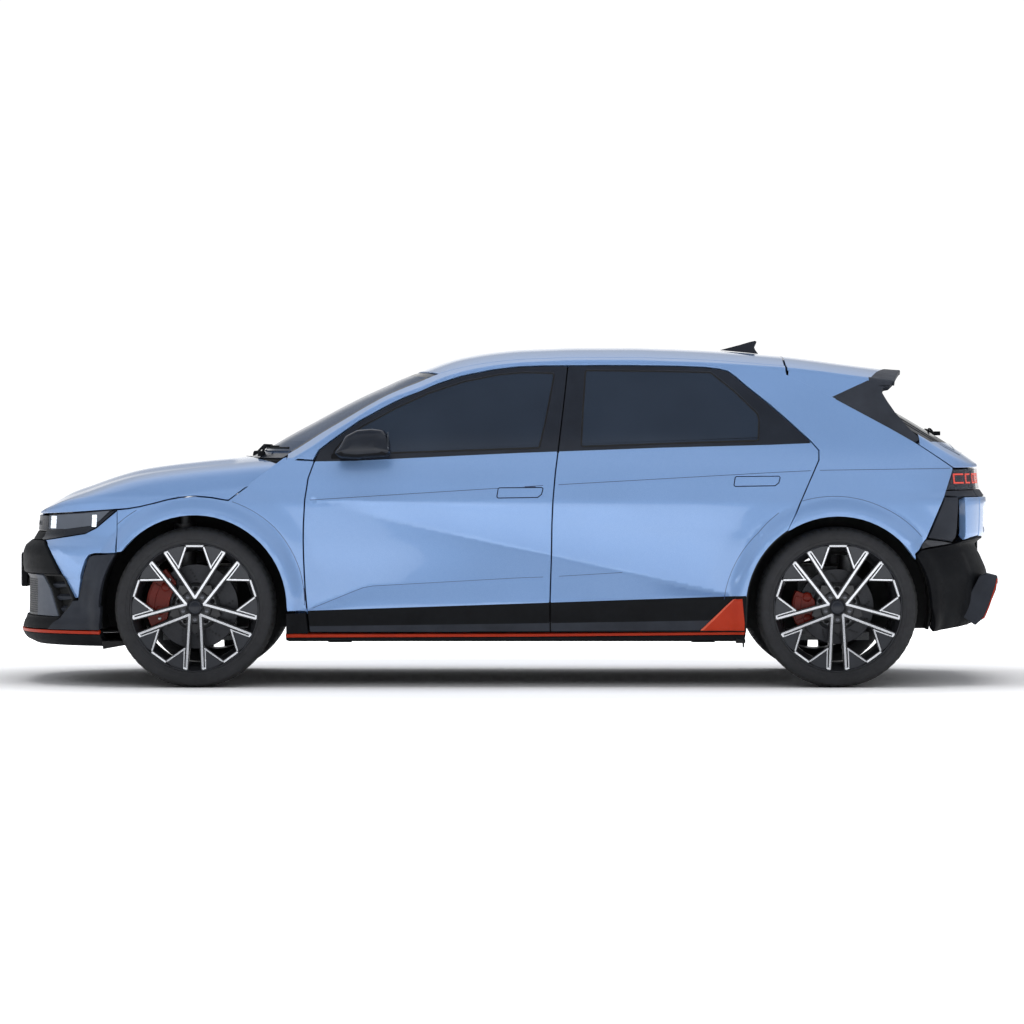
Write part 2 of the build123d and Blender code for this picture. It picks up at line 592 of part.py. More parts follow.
GATE_SIDE = [(1312, 1467), (1400, 1420), (1505, 1367), (1640, 1293), (1779, 1216), (1893, 1152), (2071, 1032), (2090, 1027), (2450, 1027), (2450, 1300), (1309, 1640)]
gate_top = (side_slab(1250, 2180, 940, 1600, 0, 980) & prism(GATE_SIDE, -1100, 0)) & back_under
gate_end = (tail_outer & box(2170, 2450, 1 - GATE_Y, 5, 1027.5, 1159.5)) & back_under
gate_core = (side_slab(1250, 2150, 900, 1600, 50, 980, False) & box(1200, 2400, -1100, 8, 900, 1600)) & back_in
gate_low = tail_outer & box(1900, 2500, -GATE_Y, 0, 697, 1034)
gate_hole = Solid.extrude(Face(Wire.make_polygon(
    [Vector(x, y, 900) for x, y in [(1470, 15), (1470, -500), (1850, -590), (2060, -620), (2110, -560), (2110, 15)]], close=True)), Vector(0, 0, 900))
glass_seat = top_slab(back, 1250, 2450, 900, -5, 6.5) & Solid.extrude(Face(Wire.make_polygon(
    [Vector(x, y, 900) for x, y in [(1436, 8), (1436, -534), (1849, -655), (2076, -695), (2135, -643), (2140, 8)]], close=True)), Vector(0, 0, 900))
with BuildPart() as gate_half:
    add(gate_top)
    add(box(1200, 1309, -1100, 10, 1000, 1700), mode=Mode.SUBTRACT)
    add(gate_core, mode=Mode.SUBTRACT)
    add(gate_end - gate_core)
    add(gate_low - tail_inner)
    add(gate_hole, mode=Mode.SUBTRACT)
    add(glass_seat, mode=Mode.SUBTRACT)
with BuildPart() as tailgate:
    add(gate_half.part)
    mirror(about=Plane.XZ)
save(tailgate.part, "tailgate")

glass_edge = [(1440, -530), (1850, -650), (2075, -690), (2130, -640)]
with BuildPart() as tailgate_glass:
    add(top_slab(back, 1250, 2450, 900, 0, 5.5, 900))
    with BuildSketch(Plane.XY.offset(900)):
        with BuildLine():
            Polyline(*(glass_edge + [(x, -y) for x, y in glass_edge[::-1]]), close=True)
        make_face()
    extrude(amount=900, mode=Mode.INTERSECT)
save(tailgate_glass.part, "tailgate_glass")

SPOILER = [(1309, 1475), (1303, 1500), (1303, 1640), (1920, 1640), (1920, 1380), (1806, 1280), (1790, 1217), (1640, 1300), (1505, 1374), (1400, 1427)]
wing_out = (side_slab(1200, 2085, 900, 1640, 0, 980) & prism(SPOILER, -1100, 0)) & roof_under
with BuildPart() as spoiler_half:
    add(wing_out)
    add(top_slab(back, 1250, 2450, 900, -4, 900), mode=Mode.SUBTRACT)
    add(Solid.extrude(Face(Wire.make_polygon([Vector(x, y, 1200) for x, y in
        [(1887, 20), (1856, -420), (1844, -560), (1830, -760), (2100, -760), (2100, 20)]], close=True)), Vector(0, 0, 500)), mode=Mode.SUBTRACT)
with BuildPart() as rear_spoiler:
    add(spoiler_half.part)
    mirror(about=Plane.XZ)
save(rear_spoiler.part, "rear_spoiler")

with BuildPart() as antenna:
    with BuildSketch(Plane.XZ.offset(-13)):
        with BuildLine():
            Polyline((1015, 1592), (1070, 1605), (1188, 1637), (1194, 1630), (1182, 1604), (1200, 1573), close=True)
        make_face()
    extrude(amount=26)
    add(top_slab(roof, -800, 1950, 760, -3, 200), mode=Mode.SUBTRACT)
    add(mirror(top_slab(roof, -800, 1950, 760, -3, 200), about=Plane.XZ), mode=Mode.SUBTRACT)
save(antenna.part, "antenna")

# ---------------------------------------------------------------- sills
with BuildPart() as skirt:
    add(side_slab(-1100, 1150, 190, 420, 0, 46) & prism([(-1049, 216), (-1049, 344), (-961, 349), (-952, 300), (-947, 248), (1089, 248), (1089, 216)], -1100, 0))
    add(box(-1030, 1085, -905, -800, JACK_Z, JACK_Z + 10))
    add(box(-1030, 1085, -880, -840, JACK_Z, 240))
with BuildPart() as side_skirts:
    add(skirt.part)
    mirror(about=Plane.XZ)
save(side_skirts.part, "side_skirts")

# ---------------------------------------------------------------- floor, bulkhead and bays
with BuildPart() as floor_pan:
    with BuildSketch(Plane.XZ.offset(-780)):
        with BuildLine():
            Polyline((-1040, FLOOR_Z), (1030, FLOOR_Z), (1110, 345), (1165, 560), (1200, 640), (2120, 640), (2120, 614), (1224, 614),
                     (1195, 560), (1140, 330), (1060, FLOOR_Z - 26), (-1040, FLOOR_Z - 26), close=True)
        make_face()
    extrude(amount=1560)
    with Locations((20, -735, 262), (20, 735, 262)):
        Box(2070, 80, 74)
    with Locations((2050, -740, 630), (2050, 740, 630)):
        Box(340, 200, 100, mode=Mode.SUBTRACT)
    add(mirror(rear_well, about=Plane.XZ), mode=Mode.SUBTRACT)
    add(rear_well, mode=Mode.SUBTRACT)
    add(ring(AXLE_F, WELL_R + 10, -1000, -446), mode=Mode.SUBTRACT)
    add(ring(AXLE_F, WELL_R + 10, 446, 1000), mode=Mode.SUBTRACT)
save(floor_pan.part, "floor_pan")

with BuildPart() as firewall:
    with BuildSketch(Plane.XZ.offset(-710)):
        with BuildLine():
            Polyline((-1046, FLOOR_Z + 4), (-1010, FLOOR_Z + 4), (-1010, 900), (-990, 1010), (-1060, 1052), (-1120, 1040), (-1046, 890), close=True)
        make_face()
    extrude(amount=1420)
    add(ring(AXLE_F, WELL_R + 10, -1000, -446), mode=Mode.SUBTRACT)
    add(ring(AXLE_F, WELL_R + 10, 446, 1000), mode=Mode.SUBTRACT)
cowl_top = [(-1266 + 200 * (y / 800) ** 2, -y) for y in steps(0, 770, 10)]
with BuildPart() as cowl_half:
    add(top_slab(screen, -1500, -900, 960, 14, 34) & Solid.extrude(Face(Wire.make_polygon(
        [Vector(x, y, 700) for x, y in cowl_top + [(x + 170, y) for x, y in cowl_top[::-1]]], close=True)), Vector(0, 0, 700)))
with BuildPart() as firewall_cowl:
    add(firewall.part)
    add(cowl_half.part)
    add(mirror(cowl_half.part, about=Plane.XZ))
save(firewall_cowl.part, "firewall_cowl")

with BuildPart() as frunk_tub:
    with Locations((-1660, 0, 745)):
        Box(740, 860, 250)
    with Locations((-1660, 0, 866)):
        Box(780, 900, 10)
    with Locations((-1660, 0, 770)):
        Box(700, 820, 270, mode=Mode.SUBTRACT)
save(frunk_tub.part, "frunk_tub")

with BuildPart() as liner:
    add(ring(AXLE_F, WELL_R + 8, -960, -447))
    add(ring(AXLE_F, WELL_R, -1000, -455), mode=Mode.SUBTRACT)
    add(box(-1950, -1000, -1000, -400, -120, 266), mode=Mode.SUBTRACT)
    add(side_slab(-1990, -980, 150, 900, 18, 600), mode=Mode.INTERSECT)
    add(box(-2010, -1836, -1000, -780, 100, 900), mode=Mode.SUBTRACT)
    add(box(-1060, -1000, -1000, -868, 200, 352), mode=Mode.SUBTRACT)
    add(box(AXLE_F - 170, AXLE_F + 170, -460, -400, 200, 640), mode=Mode.SUBTRACT)
with BuildPart() as liner_rear:
    add(ring(AXLE_R, WELL_R - 4, -798, -640))
    add(ring(AXLE_R, WELL_R - 12, -1000, -648), mode=Mode.SUBTRACT)
    add(box(1000, 2050, -1000, -400, -120, 266), mode=Mode.SUBTRACT)
    add(box(AXLE_R - 170, AXLE_R + 170, -660, -600, 200, 640), mode=Mode.SUBTRACT)
with BuildPart() as wheel_arch_liners:
    add(liner.part)
    add(liner_rear.part)
    mirror(about=Plane.XZ)
save(wheel_arch_liners.part, "wheel_arch_liners")

with BuildPart() as battery_pack:
    with Locations((20, 0, (JACK_Z + FLOOR_Z - 30) / 2)):
        Box(1960, 1376, FLOOR_Z - 30 - JACK_Z)
save(battery_pack.part, "battery_pack")

with BuildPart() as drive_motors:
    with Locations((AXLE_F + 60, 0, 400), (AXLE_R - 40, 0, 400)):
        Box(330, 520, 300)
save(drive_motors.part, "drive_motors")

# ---------------------------------------------------------------- cabin
with BuildPart() as dashboard:
    with BuildSketch(Plane.XZ.offset(-715)):
        with BuildLine():
            Polyline((-985, 620), (-985, 930), (-960, 985), (-860, 992), (-640, 975), (-560, 930), (-548, 880), (-600, 800), (-700, 640), close=True)
        make_face()
    extrude(amount=1430)
    with Locations((-600, -170, 985)):
        Box(30, 640, 130)
save(dashboard.part, "dashboard")

with BuildPart() as centre_console:
    with BuildSketch(Plane.XZ.offset(-110)):
        with BuildLine():
            Polyline((-650, FLOOR_Z + 4), (-650, 560), (-420, 600), (-250, 640), (260, 640), (290, 560), (290, FLOOR_Z + 4), close=True)
        make_face()
    extrude(amount=220)
save(centre_console.part, "centre_console")

with BuildPart() as seat:
    with BuildSketch(Plane.XZ.offset(140)):
        with BuildLine():
            Polyline((-330, FLOOR_Z + 4), (-300, 520), (-280, 580), (80, 540), (150, 560), (300, 1080), (330, 1110), (352, 1180), (372, 1330), (400, 1340),
                     (452, 1330), (440, 1180), (410, 1090), (300, 560), (250, 430), (200, FLOOR_Z + 4), close=True)
        make_face()
    extrude(amount=500)
with BuildPart() as front_seats:
    add(seat.part)
    mirror(about=Plane.XZ)
save(front_seats.part, "front_seats")

with BuildPart() as rear_bench:
    with BuildSketch(Plane.XZ.offset(-630)):
        with BuildLine():
            Polyline((640, FLOOR_Z + 4), (620, 560), (650, 610), (1060, 560), (1110, 580), (1290, 1080), (1320, 1200), (1380, 1195), (1370, 1080), (1215, 645),
                     (1150, 640), (1110, 560), (1065, 350), (1010, FLOOR_Z + 4), close=True)
        make_face()
    extrude(amount=1260)
save(rear_bench.part, "rear_bench")

with BuildPart() as steering_wheel:
    wheel_plane = Plane(origin=(-420, -390, 905), x_dir=(0, 1, 0), z_dir=(cos(radians(24)), 0, sin(radians(24))))
    with BuildSketch(wheel_plane.offset(-14)):
        Ellipse(186, 172)
        Ellipse(156, 142, mode=Mode.SUBTRACT)
        Rectangle(320, 46)
        with Locations((0, -75)):
            Rectangle(44, 150)
        Circle(58)
    extrude(amount=28)
    with BuildSketch(wheel_plane.offset(-110)):
        Circle(32)
    extrude(amount=100)
save(steering_wheel.part, "steering_wheel")

# ---------------------------------------------------------------- wheels
SECTION = [(RIM_R - 34, 88), (RIM_R + 1.5, 90), (RIM_R + 1.5, 128), (RIM_R + 5, 133), (RIM_R + 24, 137), (340, 134), (358, 124), (369, 106), (TYRE_R - 1, 80), (TYRE_R, 0)]


def tyre_part(cx, y):
    """A tyre about its axle."""
    with BuildPart() as tyre:
        with BuildSketch(Plane.XY):
            with BuildLine():
                Polyline(*([(w, r) for r, w in SECTION] + [(-w, r) for r, w in SECTION[:-1][::-1]]), close=True)
            make_face()
        revolve(axis=Axis.X)
    return tyre.part.rotate(Axis.Z, 90).moved(Location((cx, y, HUB_Z)))


def rim_part(cx, y, disc_r):
    """A five-pair spoke rim with its hub and brake disc, outside face towards -Y."""
    with BuildPart() as rim:
        with BuildSketch(Plane.XZ):
            Circle(RIM_R - 36)
            Circle(RIM_R - 46, mode=Mode.SUBTRACT)
        extrude(amount=-226)
        with BuildSketch(Plane.XZ.offset(-8)):
            Circle(RIM_R)
            Circle(RIM_R - 46, mode=Mode.SUBTRACT)
        extrude(amount=26)
        with BuildSketch(Plane.XZ):
            Circle(74)
            for k in range(5):
                mid = 90 + 72 * k
                for s in (-1, 1):
                    a = radians(mid)
                    b = radians(mid + s * 28.5)
                    p, q = Vector(40 * cos(a), 40 * sin(a)), Vector((RIM_R - 10) * cos(b), (RIM_R - 10) * sin(b))
                    d = (q - p).normalized()
                    n = Vector(-d.Y, d.X) * 17
                    with BuildLine():
                        Polyline((p.X + n.X, p.Y + n.Y), (q.X + n.X, q.Y + n.Y), (q.X - n.X, q.Y - n.Y), (p.X - n.X, p.Y - n.Y), close=True)
                    make_face()
        extrude(amount=24)
        with BuildSketch(Plane.XZ.offset(-100)):
            Circle(72)
        extrude(amount=104)
        with BuildSketch(Plane.XZ.offset(-96)):
            Circle(disc_r)
        extrude(amount=32)
    part = rim.part
    return part.moved(Location((cx, y - 100, HUB_Z)))


with BuildPart() as front_left_tyre:
    add(tyre_part(AXLE_F, -WHEEL_Y))
save(front_left_tyre.part, "front_left_tyre")

with BuildPart() as front_right_tyre:
    add(tyre_part(AXLE_F, WHEEL_Y))
save(front_right_tyre.part, "front_right_tyre")

with BuildPart() as rear_left_tyre:
    add(tyre_part(AXLE_R, -WHEEL_Y))
save(rear_left_tyre.part, "rear_left_tyre")

with BuildPart() as rear_right_tyre:
    add(tyre_part(AXLE_R, WHEEL_Y))
save(rear_right_tyre.part, "rear_right_tyre")

front_rim = rim_part(AXLE_F, -WHEEL_Y, 198)
rear_rim = rim_part(AXLE_R, -WHEEL_Y, 176)
with BuildPart() as front_left_wheel:
    add(front_rim)
save(front_left_wheel.part, "front_left_wheel")

with BuildPart() as front_right_wheel:
    add(front_rim)
    mirror(about=Plane.XZ, mode=Mode.REPLACE)
save(front_right_wheel.part, "front_right_wheel")

with BuildPart() as rear_left_wheel:
    add(rear_rim)
save(rear_left_wheel.part, "rear_left_wheel")

with BuildPart() as rear_right_wheel:
    add(rear_rim)
    mirror(about=Plane.XZ, mode=Mode.REPLACE)
save(rear_right_wheel.part, "rear_right_wheel")

# ---------------------------------------------------------------- running gear
def knuckle_part(cx):
    """The left-hand wheel carrier at a station, with its brake bracket and steering arm."""
    with BuildPart() as carrier:
        with Locations((cx, -764, 364)):
            Box(72, 56, 216)
        with BuildSketch(Plane.XZ.offset(736)):
            with Locations((cx, HUB_Z)):
                Circle(60)
        extrude(amount=78)
        with Locations((cx + 85, -744, 312)):
            Box(110, 24, 26)
        with Locations((cx - 115, -784, HUB_Z)):
            Box(160, 20, 76)
    return carrier.part


def caliper_part(cx, disc_r, a0, a1):
    """A caliper straddling the disc, ahead of the hub."""
    with BuildPart() as caliper:
        with BuildSketch(Plane.XZ.offset(796)):
            with BuildLine():
                outer = CenterArc((0, 0), disc_r + 34, a0, a1 - a0)
                inner = CenterArc((0, 0), disc_r - 72, a0, a1 - a0)
                Line(outer @ 0, inner @ 0)
                Line(outer @ 1, inner @ 1)
            make_face()
        extrude(amount=88)
        with BuildSketch(Plane.XZ.offset(817)):
            Circle(disc_r + 7)
        extrude(amount=46, mode=Mode.SUBTRACT)
    return caliper.part.moved(Location((cx, 0, HUB_Z)))


front_knuckle = knuckle_part(AXLE_F)
front_caliper = caliper_part(AXLE_F, 198, 150, 214)
rear_knuckle = knuckle_part(AXLE_R)
rear_caliper = caliper_part(AXLE_R, 176, 156, 208)

with BuildPart() as front_left_knuckle:
    add(front_knuckle)
save(front_left_knuckle.part, "front_left_knuckle")

with BuildPart() as front_right_knuckle:
    add(front_knuckle)
    mirror(about=Plane.XZ, mode=Mode.REPLACE)
save(front_right_knuckle.part, "front_right_knuckle")

with BuildPart() as front_left_caliper:
    add(front_caliper)
save(front_left_caliper.part, "front_left_caliper")

with BuildPart() as front_right_caliper:
    add(front_caliper)
    mirror(about=Plane.XZ, mode=Mode.REPLACE)
save(front_right_caliper.part, "front_right_caliper")

with BuildPart() as rear_knuckles:
    add(rear_knuckle)
    mirror(about=Plane.XZ)
save(rear_knuckles.part, "rear_knuckles")

with BuildPart() as rear_calipers:
    add(rear_caliper)
    mirror(about=Plane.XZ)
save(rear_calipers.part, "rear_calipers")

with BuildPart() as front_suspension:
    with Locations((AXLE_F, 0, 216)):
        Box(380, 700, 36)
    with BuildSketch(Plane.XY.offset(226)):
        for s in (-1, 1):
            with BuildLine():
                Polyline((AXLE_F - 150, s * 330), (AXLE_F + 150, s * 330), (AXLE_F + 22, s * 776), (AXLE_F - 22, s * 776), close=True)
            make_face()
    extrude(amount=24)
    with BuildSketch(Plane.XY.offset(478)):
        for s in (-1, 1):
            with BuildLine():
                Polyline((AXLE_F - 100, s * 510), (AXLE_F - 40, s * 510), (AXLE_F + 18, s * 776), (AXLE_F - 18, s * 776), close=True)
            make_face()
    extrude(amount=22)
    with BuildSketch(Plane.XY.offset(240)):
        with Locations((AXLE_F - 70, 532), (AXLE_F - 70, -532)):
            Circle(26)
    extrude(amount=560)
    with BuildSketch(Plane.XY.offset(520)):
        with Locations((AXLE_F - 70, 532), (AXLE_F - 70, -532)):
            Circle(52)
    extrude(amount=240)
save(front_suspension.part, "front_suspension")

with BuildPart() as rear_suspension:
    with Locations((AXLE_R, 0, 216)):
        Box(380, 700, 36)
    with BuildSketch(Plane.XY.offset(226)):
        for s in (-1, 1):
            with BuildLine():
                Polyline((AXLE_R - 150, s * 330), (AXLE_R + 150, s * 330), (AXLE_R + 40, s * 776), (AXLE_R - 40, s * 776), close=True)
            make_face()
    extrude(amount=30)
    with BuildSketch(Plane.XY.offset(472)):
        for s in (-1, 1):
            with BuildLine():
                Polyline((AXLE_R - 20, s * 320), (AXLE_R + 20, s * 320), (AXLE_R + 18, s * 776), (AXLE_R - 18, s * 776), close=True)
            make_face()
    extrude(amount=22)
    with BuildSketch(Plane.XY.offset(240)):
        with Locations((AXLE_R + 70, 560), (AXLE_R + 70, -560)):
            Circle(44)
    extrude(amount=370)
    with Locations((AXLE_R + 70, 0, 606)):
        Box(60, 1180, 8)
save(rear_suspension.part, "rear_suspension")
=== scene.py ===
import json
import bpy
import bmesh
import numpy as np
from math import *
from mathutils import Vector, Matrix
from mathutils.geometry import delaunay_2d_cdt


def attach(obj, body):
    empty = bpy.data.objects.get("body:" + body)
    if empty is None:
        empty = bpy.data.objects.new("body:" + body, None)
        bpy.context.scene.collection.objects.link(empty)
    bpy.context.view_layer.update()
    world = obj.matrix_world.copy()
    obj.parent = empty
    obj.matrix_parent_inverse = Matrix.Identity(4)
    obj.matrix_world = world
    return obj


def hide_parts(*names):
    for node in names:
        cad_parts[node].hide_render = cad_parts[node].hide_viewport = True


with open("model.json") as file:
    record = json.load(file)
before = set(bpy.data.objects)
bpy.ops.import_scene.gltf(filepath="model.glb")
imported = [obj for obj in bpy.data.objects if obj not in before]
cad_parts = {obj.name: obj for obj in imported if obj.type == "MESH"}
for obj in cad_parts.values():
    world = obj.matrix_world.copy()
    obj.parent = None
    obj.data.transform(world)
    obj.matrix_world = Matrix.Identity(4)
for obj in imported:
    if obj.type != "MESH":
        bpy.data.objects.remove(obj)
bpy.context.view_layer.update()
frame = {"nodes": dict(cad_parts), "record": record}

# ================================================================ dimensions and surfaces (mm)
AXLE_F, AXLE_R, HUB_Z, WHEEL_Y = -1475.0, 1525.0, 375.0, 820.0
TYRE_R, RIM_R, ARCH_R, FLARE_R = 375.0, 292.0, 426.0, 519.0
NOSE_XC, NOSE_N, TAIL_XC, TAIL_N = -1475.0, 2.9, 1600.0, 3.3
GATE_Y = 640.0


def curve(xs, ys):
    n = len(xs)
    h = [xs[i + 1] - xs[i] for i in range(n - 1)]
    d = [(ys[i + 1] - ys[i]) / h[i] for i in range(n - 1)]
    m = [d[0]] + [0.0] * (n - 2) + [d[-1]]
    for i in range(1, n - 1):
        if d[i - 1] * d[i] > 0:
            w1, w2 = 2 * h[i] + h[i - 1], h[i] + 2 * h[i - 1]
            m[i] = (w1 + w2) / (w1 / d[i - 1] + w2 / d[i])

    def at(x):
        if x <= xs[0]:
            return ys[0] + m[0] * (x - xs[0])
        if x >= xs[-1]:
            return ys[-1] + m[-1] * (x - xs[-1])
        i = 0
        while x > xs[i + 1]:
            i += 1
        t = (x - xs[i]) / h[i]
        a, b = (1 + 2 * t) * (1 - t) ** 2, t * (1 - t) ** 2
        c, e = t * t * (3 - 2 * t), t * t * (t - 1)
        return a * ys[i] + b * h[i] * m[i] + c * ys[i + 1] + e * h[i] * m[i + 1]

    return at


def smooth(t):
    t = min(1.0, max(0.0, t))
    return t * t * (3 - 2 * t)


def line(xs, ys):
    """A broken line through the points."""
    return lambda x: float(np.interp(x, xs, ys))


width_at = curve([-1475, -900, -300, 300, 900, 1525, 1900, 2260], [925, 935, 943, 945, 942, 925, 915, 905])
tuck_at = curve([185, 220, 260, 300, 350, 400, 550, 700, 850, 925], [-66, -56, -42, -30, -20, -13, -8, -2, 0, -8])
nose_at = curve([185, 217, 250, 294, 315, 500, 517, 550, 607, 650, 680, 705, 760, 800, 860, 1100],
                [2280, 2340, 2355, 2345, 2333, 2330, 2340, 2351, 2352, 2341, 2307, 2281, 2273, 2270, 2267, 2260])
tail_at = curve([185, 219, 255, 300, 400, 515, 600, 668, 693, 720, 877, 915, 1032, 1120, 1600],
                [2021, 2100, 2190, 2240, 2280, 2286, 2256, 2226, 2268, 2276, 2279, 2253, 2240, 2231, 2211])
roof_at = curve([-760, -600, -439, -306, -189, -72, 44, 161, 336, 569, 725, 861, 977, 1211, 1308, 1444, 1555, 1677, 1823, 1886],
                [1385, 1440, 1490, 1537, 1564, 1582, 1593, 1598, 1603, 1603, 1599, 1594, 1588, 1570, 1562, 1546, 1531, 1515, 1498, 1494])
screen_at = curve([-1480, -1239, -1180, -1064, -947, -831, -714, -597, -539, -439, -300],
                  [960, 1086, 1117, 1185, 1248, 1311, 1370, 1423, 1450, 1492, 1545])
hood_at = curve([-2400, -2274, -2230, -2172, -2114, -1997, -1880, -1764, -1647, -1530, -1414, -1297, -1239, -1000],
                [700, 800, 836, 871, 902, 945, 987, 1019, 1039, 1054, 1067, 1078, 1084, 1100])
hood_drop = curve([0, 300, 600, 780, 860, 905, 935, 985], [0, 6, 28, 54, 88, 128, 172, 260])
glass_at = curve([1300, 1500, 1886, 2007, 2100, 2259, 2400], [1578, 1480, 1272, 1200, 1144, 1034, 935])


def flare(x, z):
    out = 0.0
    for cx in (AXLE_F, AXLE_R):
        r = hypot(x - cx, z - HUB_Z)
        if r < 640:
            out = max(out, 36.0 * (1 - smooth((r - 446) / (FLARE_R - 446))) + 5.0 * (1 - smooth((r - FLARE_R) / 110)))
    return out * smooth((z - 150) / 130)


def plain(x, z):
    """Half width before the nose and tail draw in."""
    w = width_at(min(max(x, NOSE_XC), TAIL_XC))
    if z <= 925:
        w += tuck_at(max(z, 185))
    else:
        a = min(z, 1000) - 925
        w += -8 - (0.06 * a + 0.12 * a * a / 150)
        if z > 1000:
            b = min(z, 1200) - 1000
            w += -(0.18 * b + 0.40 * b * b / 400)
        if z > 1200:
            w += -0.58 * (z - 1200)
        k = smooth((z - 1000) / 420)
        w += -k * (34 * smooth((-250 - x) / 900) + 62 * smooth((x - 700) / 1200))
    return w


def side(x, z, bulge=True):
    f = 1.0
    if x < NOSE_XC:
        t = min(0.985, (NOSE_XC - x) / (nose_at(z) + NOSE_XC))
        f = (1 - t ** NOSE_N) ** (1 / NOSE_N)
    if x > TAIL_XC:
        t = min(0.985, (x - TAIL_XC) / (tail_at(z) - TAIL_XC))
        f = (1 - t ** TAIL_N) ** (1 / TAIL_N)
    return plain(x, z) * f + (flare(x, z) if bulge else 0.0)


def roof(x, y):
    return roof_at(x) - 62.0 * (abs(y) / 620.0) ** 2.5


def screen(x, y):
    return screen_at(x - 200.0 * (y / 800.0) ** 2)


def hood_top(x, y):
    return hood_at(x) - hood_drop(abs(y))


def back(x, y):
    return glass_at(x + 120.0 * (abs(y) / 760.0) ** 2.6)


def steps(a, b, n):
    return [a + (b - a) * i / (n - 1) for i in range(n)]


class End:
    """The nose or tail as a surface of u, the way round it from its middle, and height z."""

    def __init__(self, at, xc, n, sign):
        self.at, self.xc, self.n, self.sign = at, xc, n, sign
        ts, run, last = steps(0, pi / 2, 241), [0.0], None
        a, b = (at(600) + xc) if sign < 0 else (at(600) - xc), plain(xc, 600)
        pts = [(a * max(cos(t), 0) ** (2 / n), b * max(sin(t), 0) ** (2 / n)) for t in ts]
        for p, q in zip(pts, pts[1:]):
            run.append(run[-1] + hypot(q[0] - p[0], q[1] - p[1]))
        self.ts, self.run, self.end = ts, run, run[-1]

    def reach(self, z):
        return self.at(z) + self.xc if self.sign < 0 else self.at(z) - self.xc

    def __call__(self, u, z, out=0.0):
        au = abs(u)
        if au >= self.end:
            x = self.xc - self.sign * (au - self.end)
            return (x, -copysign(side(x, z) + out, u), z)
        t = float(np.interp(au, self.run, self.ts))
        a, b = self.reach(z), plain(self.xc, z)
        c, s = max(cos(t), 0.0) ** (2 / self.n), max(sin(t), 0.0) ** (2 / self.n)
        x, y = self.xc + self.sign * a * c, -b * s
        f = flare(x, z) * smooth((-y - 500) / 250) + out
        nx, ny = self.sign * c ** (self.n - 1) / a, -s ** (self.n - 1) / b
        m = hypot(nx, ny)
        return (x + nx / m * f, copysign(y + ny / m * f, -u) if u else 0.0, z)

    def u_of(self, x, z):
        """u of the left-hand point at station x and height z."""
        c = (x - self.xc) * self.sign / self.reach(z)
        if c <= 0:
            return self.end - (x - self.xc) * self.sign
        t = acos(min(1.0, c) ** (self.n / 2))
        return float(np.interp(t, self.ts, self.run))

    def u_at_y(self, y, z):
        s = min(1.0, abs(y) / plain(self.xc, z))
        return float(np.interp(asin(s ** (self.n / 2)), self.ts, self.run))


nose = End(nose_at, NOSE_XC, NOSE_N, -1)
tail = End(tail_at, TAIL_XC, TAIL_N, 1)

# ================================================================ polygons in two dimensions


def area2(p):
    return sum(p[i][0] * p[(i + 1) % len(p)][1] - p[(i + 1) % len(p)][0] * p[i][1] for i in range(len(p)))


def ccw(p):
    return list(p) if area2(p) > 0 else list(p)[::-1]


def dense(p, step, closed=True):
    out = []
    for i in range(len(p) if closed else len(p) - 1):
        a, b = p[i], p[(i + 1) % len(p)]
        n = max(1, int(ceil(hypot(b[0] - a[0], b[1] - a[1]) / step)))
        out += [(a[0] + (b[0] - a[0]) * k / n, a[1] + (b[1] - a[1]) * k / n) for k in range(n)]
    return out if closed else out + [tuple(p[-1])]


def rounded(p, r, n=5, sharpest=12.0):
    """The polygon with its corners rounded."""
    out, m = [], len(p)
    for i in range(m):
        a, b, c = Vector(p[i - 1]), Vector(p[i]), Vector(p[(i + 1) % m])
        u, v = (a - b), (c - b)
        if u.length < 1e-6 or v.length < 1e-6:
            continue
        turn = degrees(pi - u.angle(v))
        if turn < sharpest:
            out.append(tuple(b))
            continue
        k = min(r * tan(radians(turn / 2)), u.length * 0.45, v.length * 0.45)
        s, e = b + u.normalized() * k, b + v.normalized() * k
        for j in range(n + 1):
            t = j / n
            out.append(tuple(s * (1 - t) ** 2 + b * 2 * t * (1 - t) + e * t * t))
    return out


def outward(p):
    """Outward direction at each corner of a counterclockwise polygon, longer at sharp corners."""
    out, m = [], len(p)
    for i in range(m):
        a, b, c = p[i - 1], p[i], p[(i + 1) % m]
        e, f = Vector((b[0] - a[0], b[1] - a[1])), Vector((c[0] - b[0], c[1] - b[1]))
        e = e.normalized() if e.length > 1e-9 else f.normalized()
        f = f.normalized() if f.length > 1e-9 else e
        n1, n2 = Vector((e.y, -e.x)), Vector((f.y, -f.x))
        n = n1 + n2
        n = n.normalized() if n.length > 1e-6 else n1
        out.append(n / max(0.45, n.dot(n1)))
    return out


def grow(p, d):
    """The counterclockwise polygon pushed outwards by d."""
    return [(q[0] + n.x * d, q[1] + n.y * d) for q, n in zip(p, outward(p))]


def inside(P, poly):
    P, poly = np.asarray(P, float), np.asarray(poly, float)
    res = np.zeros(len(P), bool)
    x, y = P[:, 0], P[:, 1]
    for (x0, y0), (x1, y1) in zip(poly, np.roll(poly, -1, axis=0)):
        if y0 == y1:
            continue
        hit = ((y0 > y) != (y1 > y)) & (x < (x1 - x0) * (y - y0) / (y1 - y0) + x0)
        res ^= hit
    return res


def seg_dist(P, A, B):
    P, A, B = (np.asarray(v, float) for v in (P, A, B))
    best = np.full(len(P), 1e9)
    for a, b in zip(A, B):
        d = b - a
        L = max(1e-12, float(d @ d))
        t = np.clip(((P - a) @ d) / L, 0, 1)
        q = a + t[:, None] * d
        best = np.minimum(best, np.hypot(*(P - q).T))
    return best


def arc(cx, r, a0, a1, n):
    return [(cx + r * cos(radians(a)), HUB_Z + r * sin(radians(a))) for a in steps(a0, a1, n)]


# ================================================================ meshes
RAW = {}


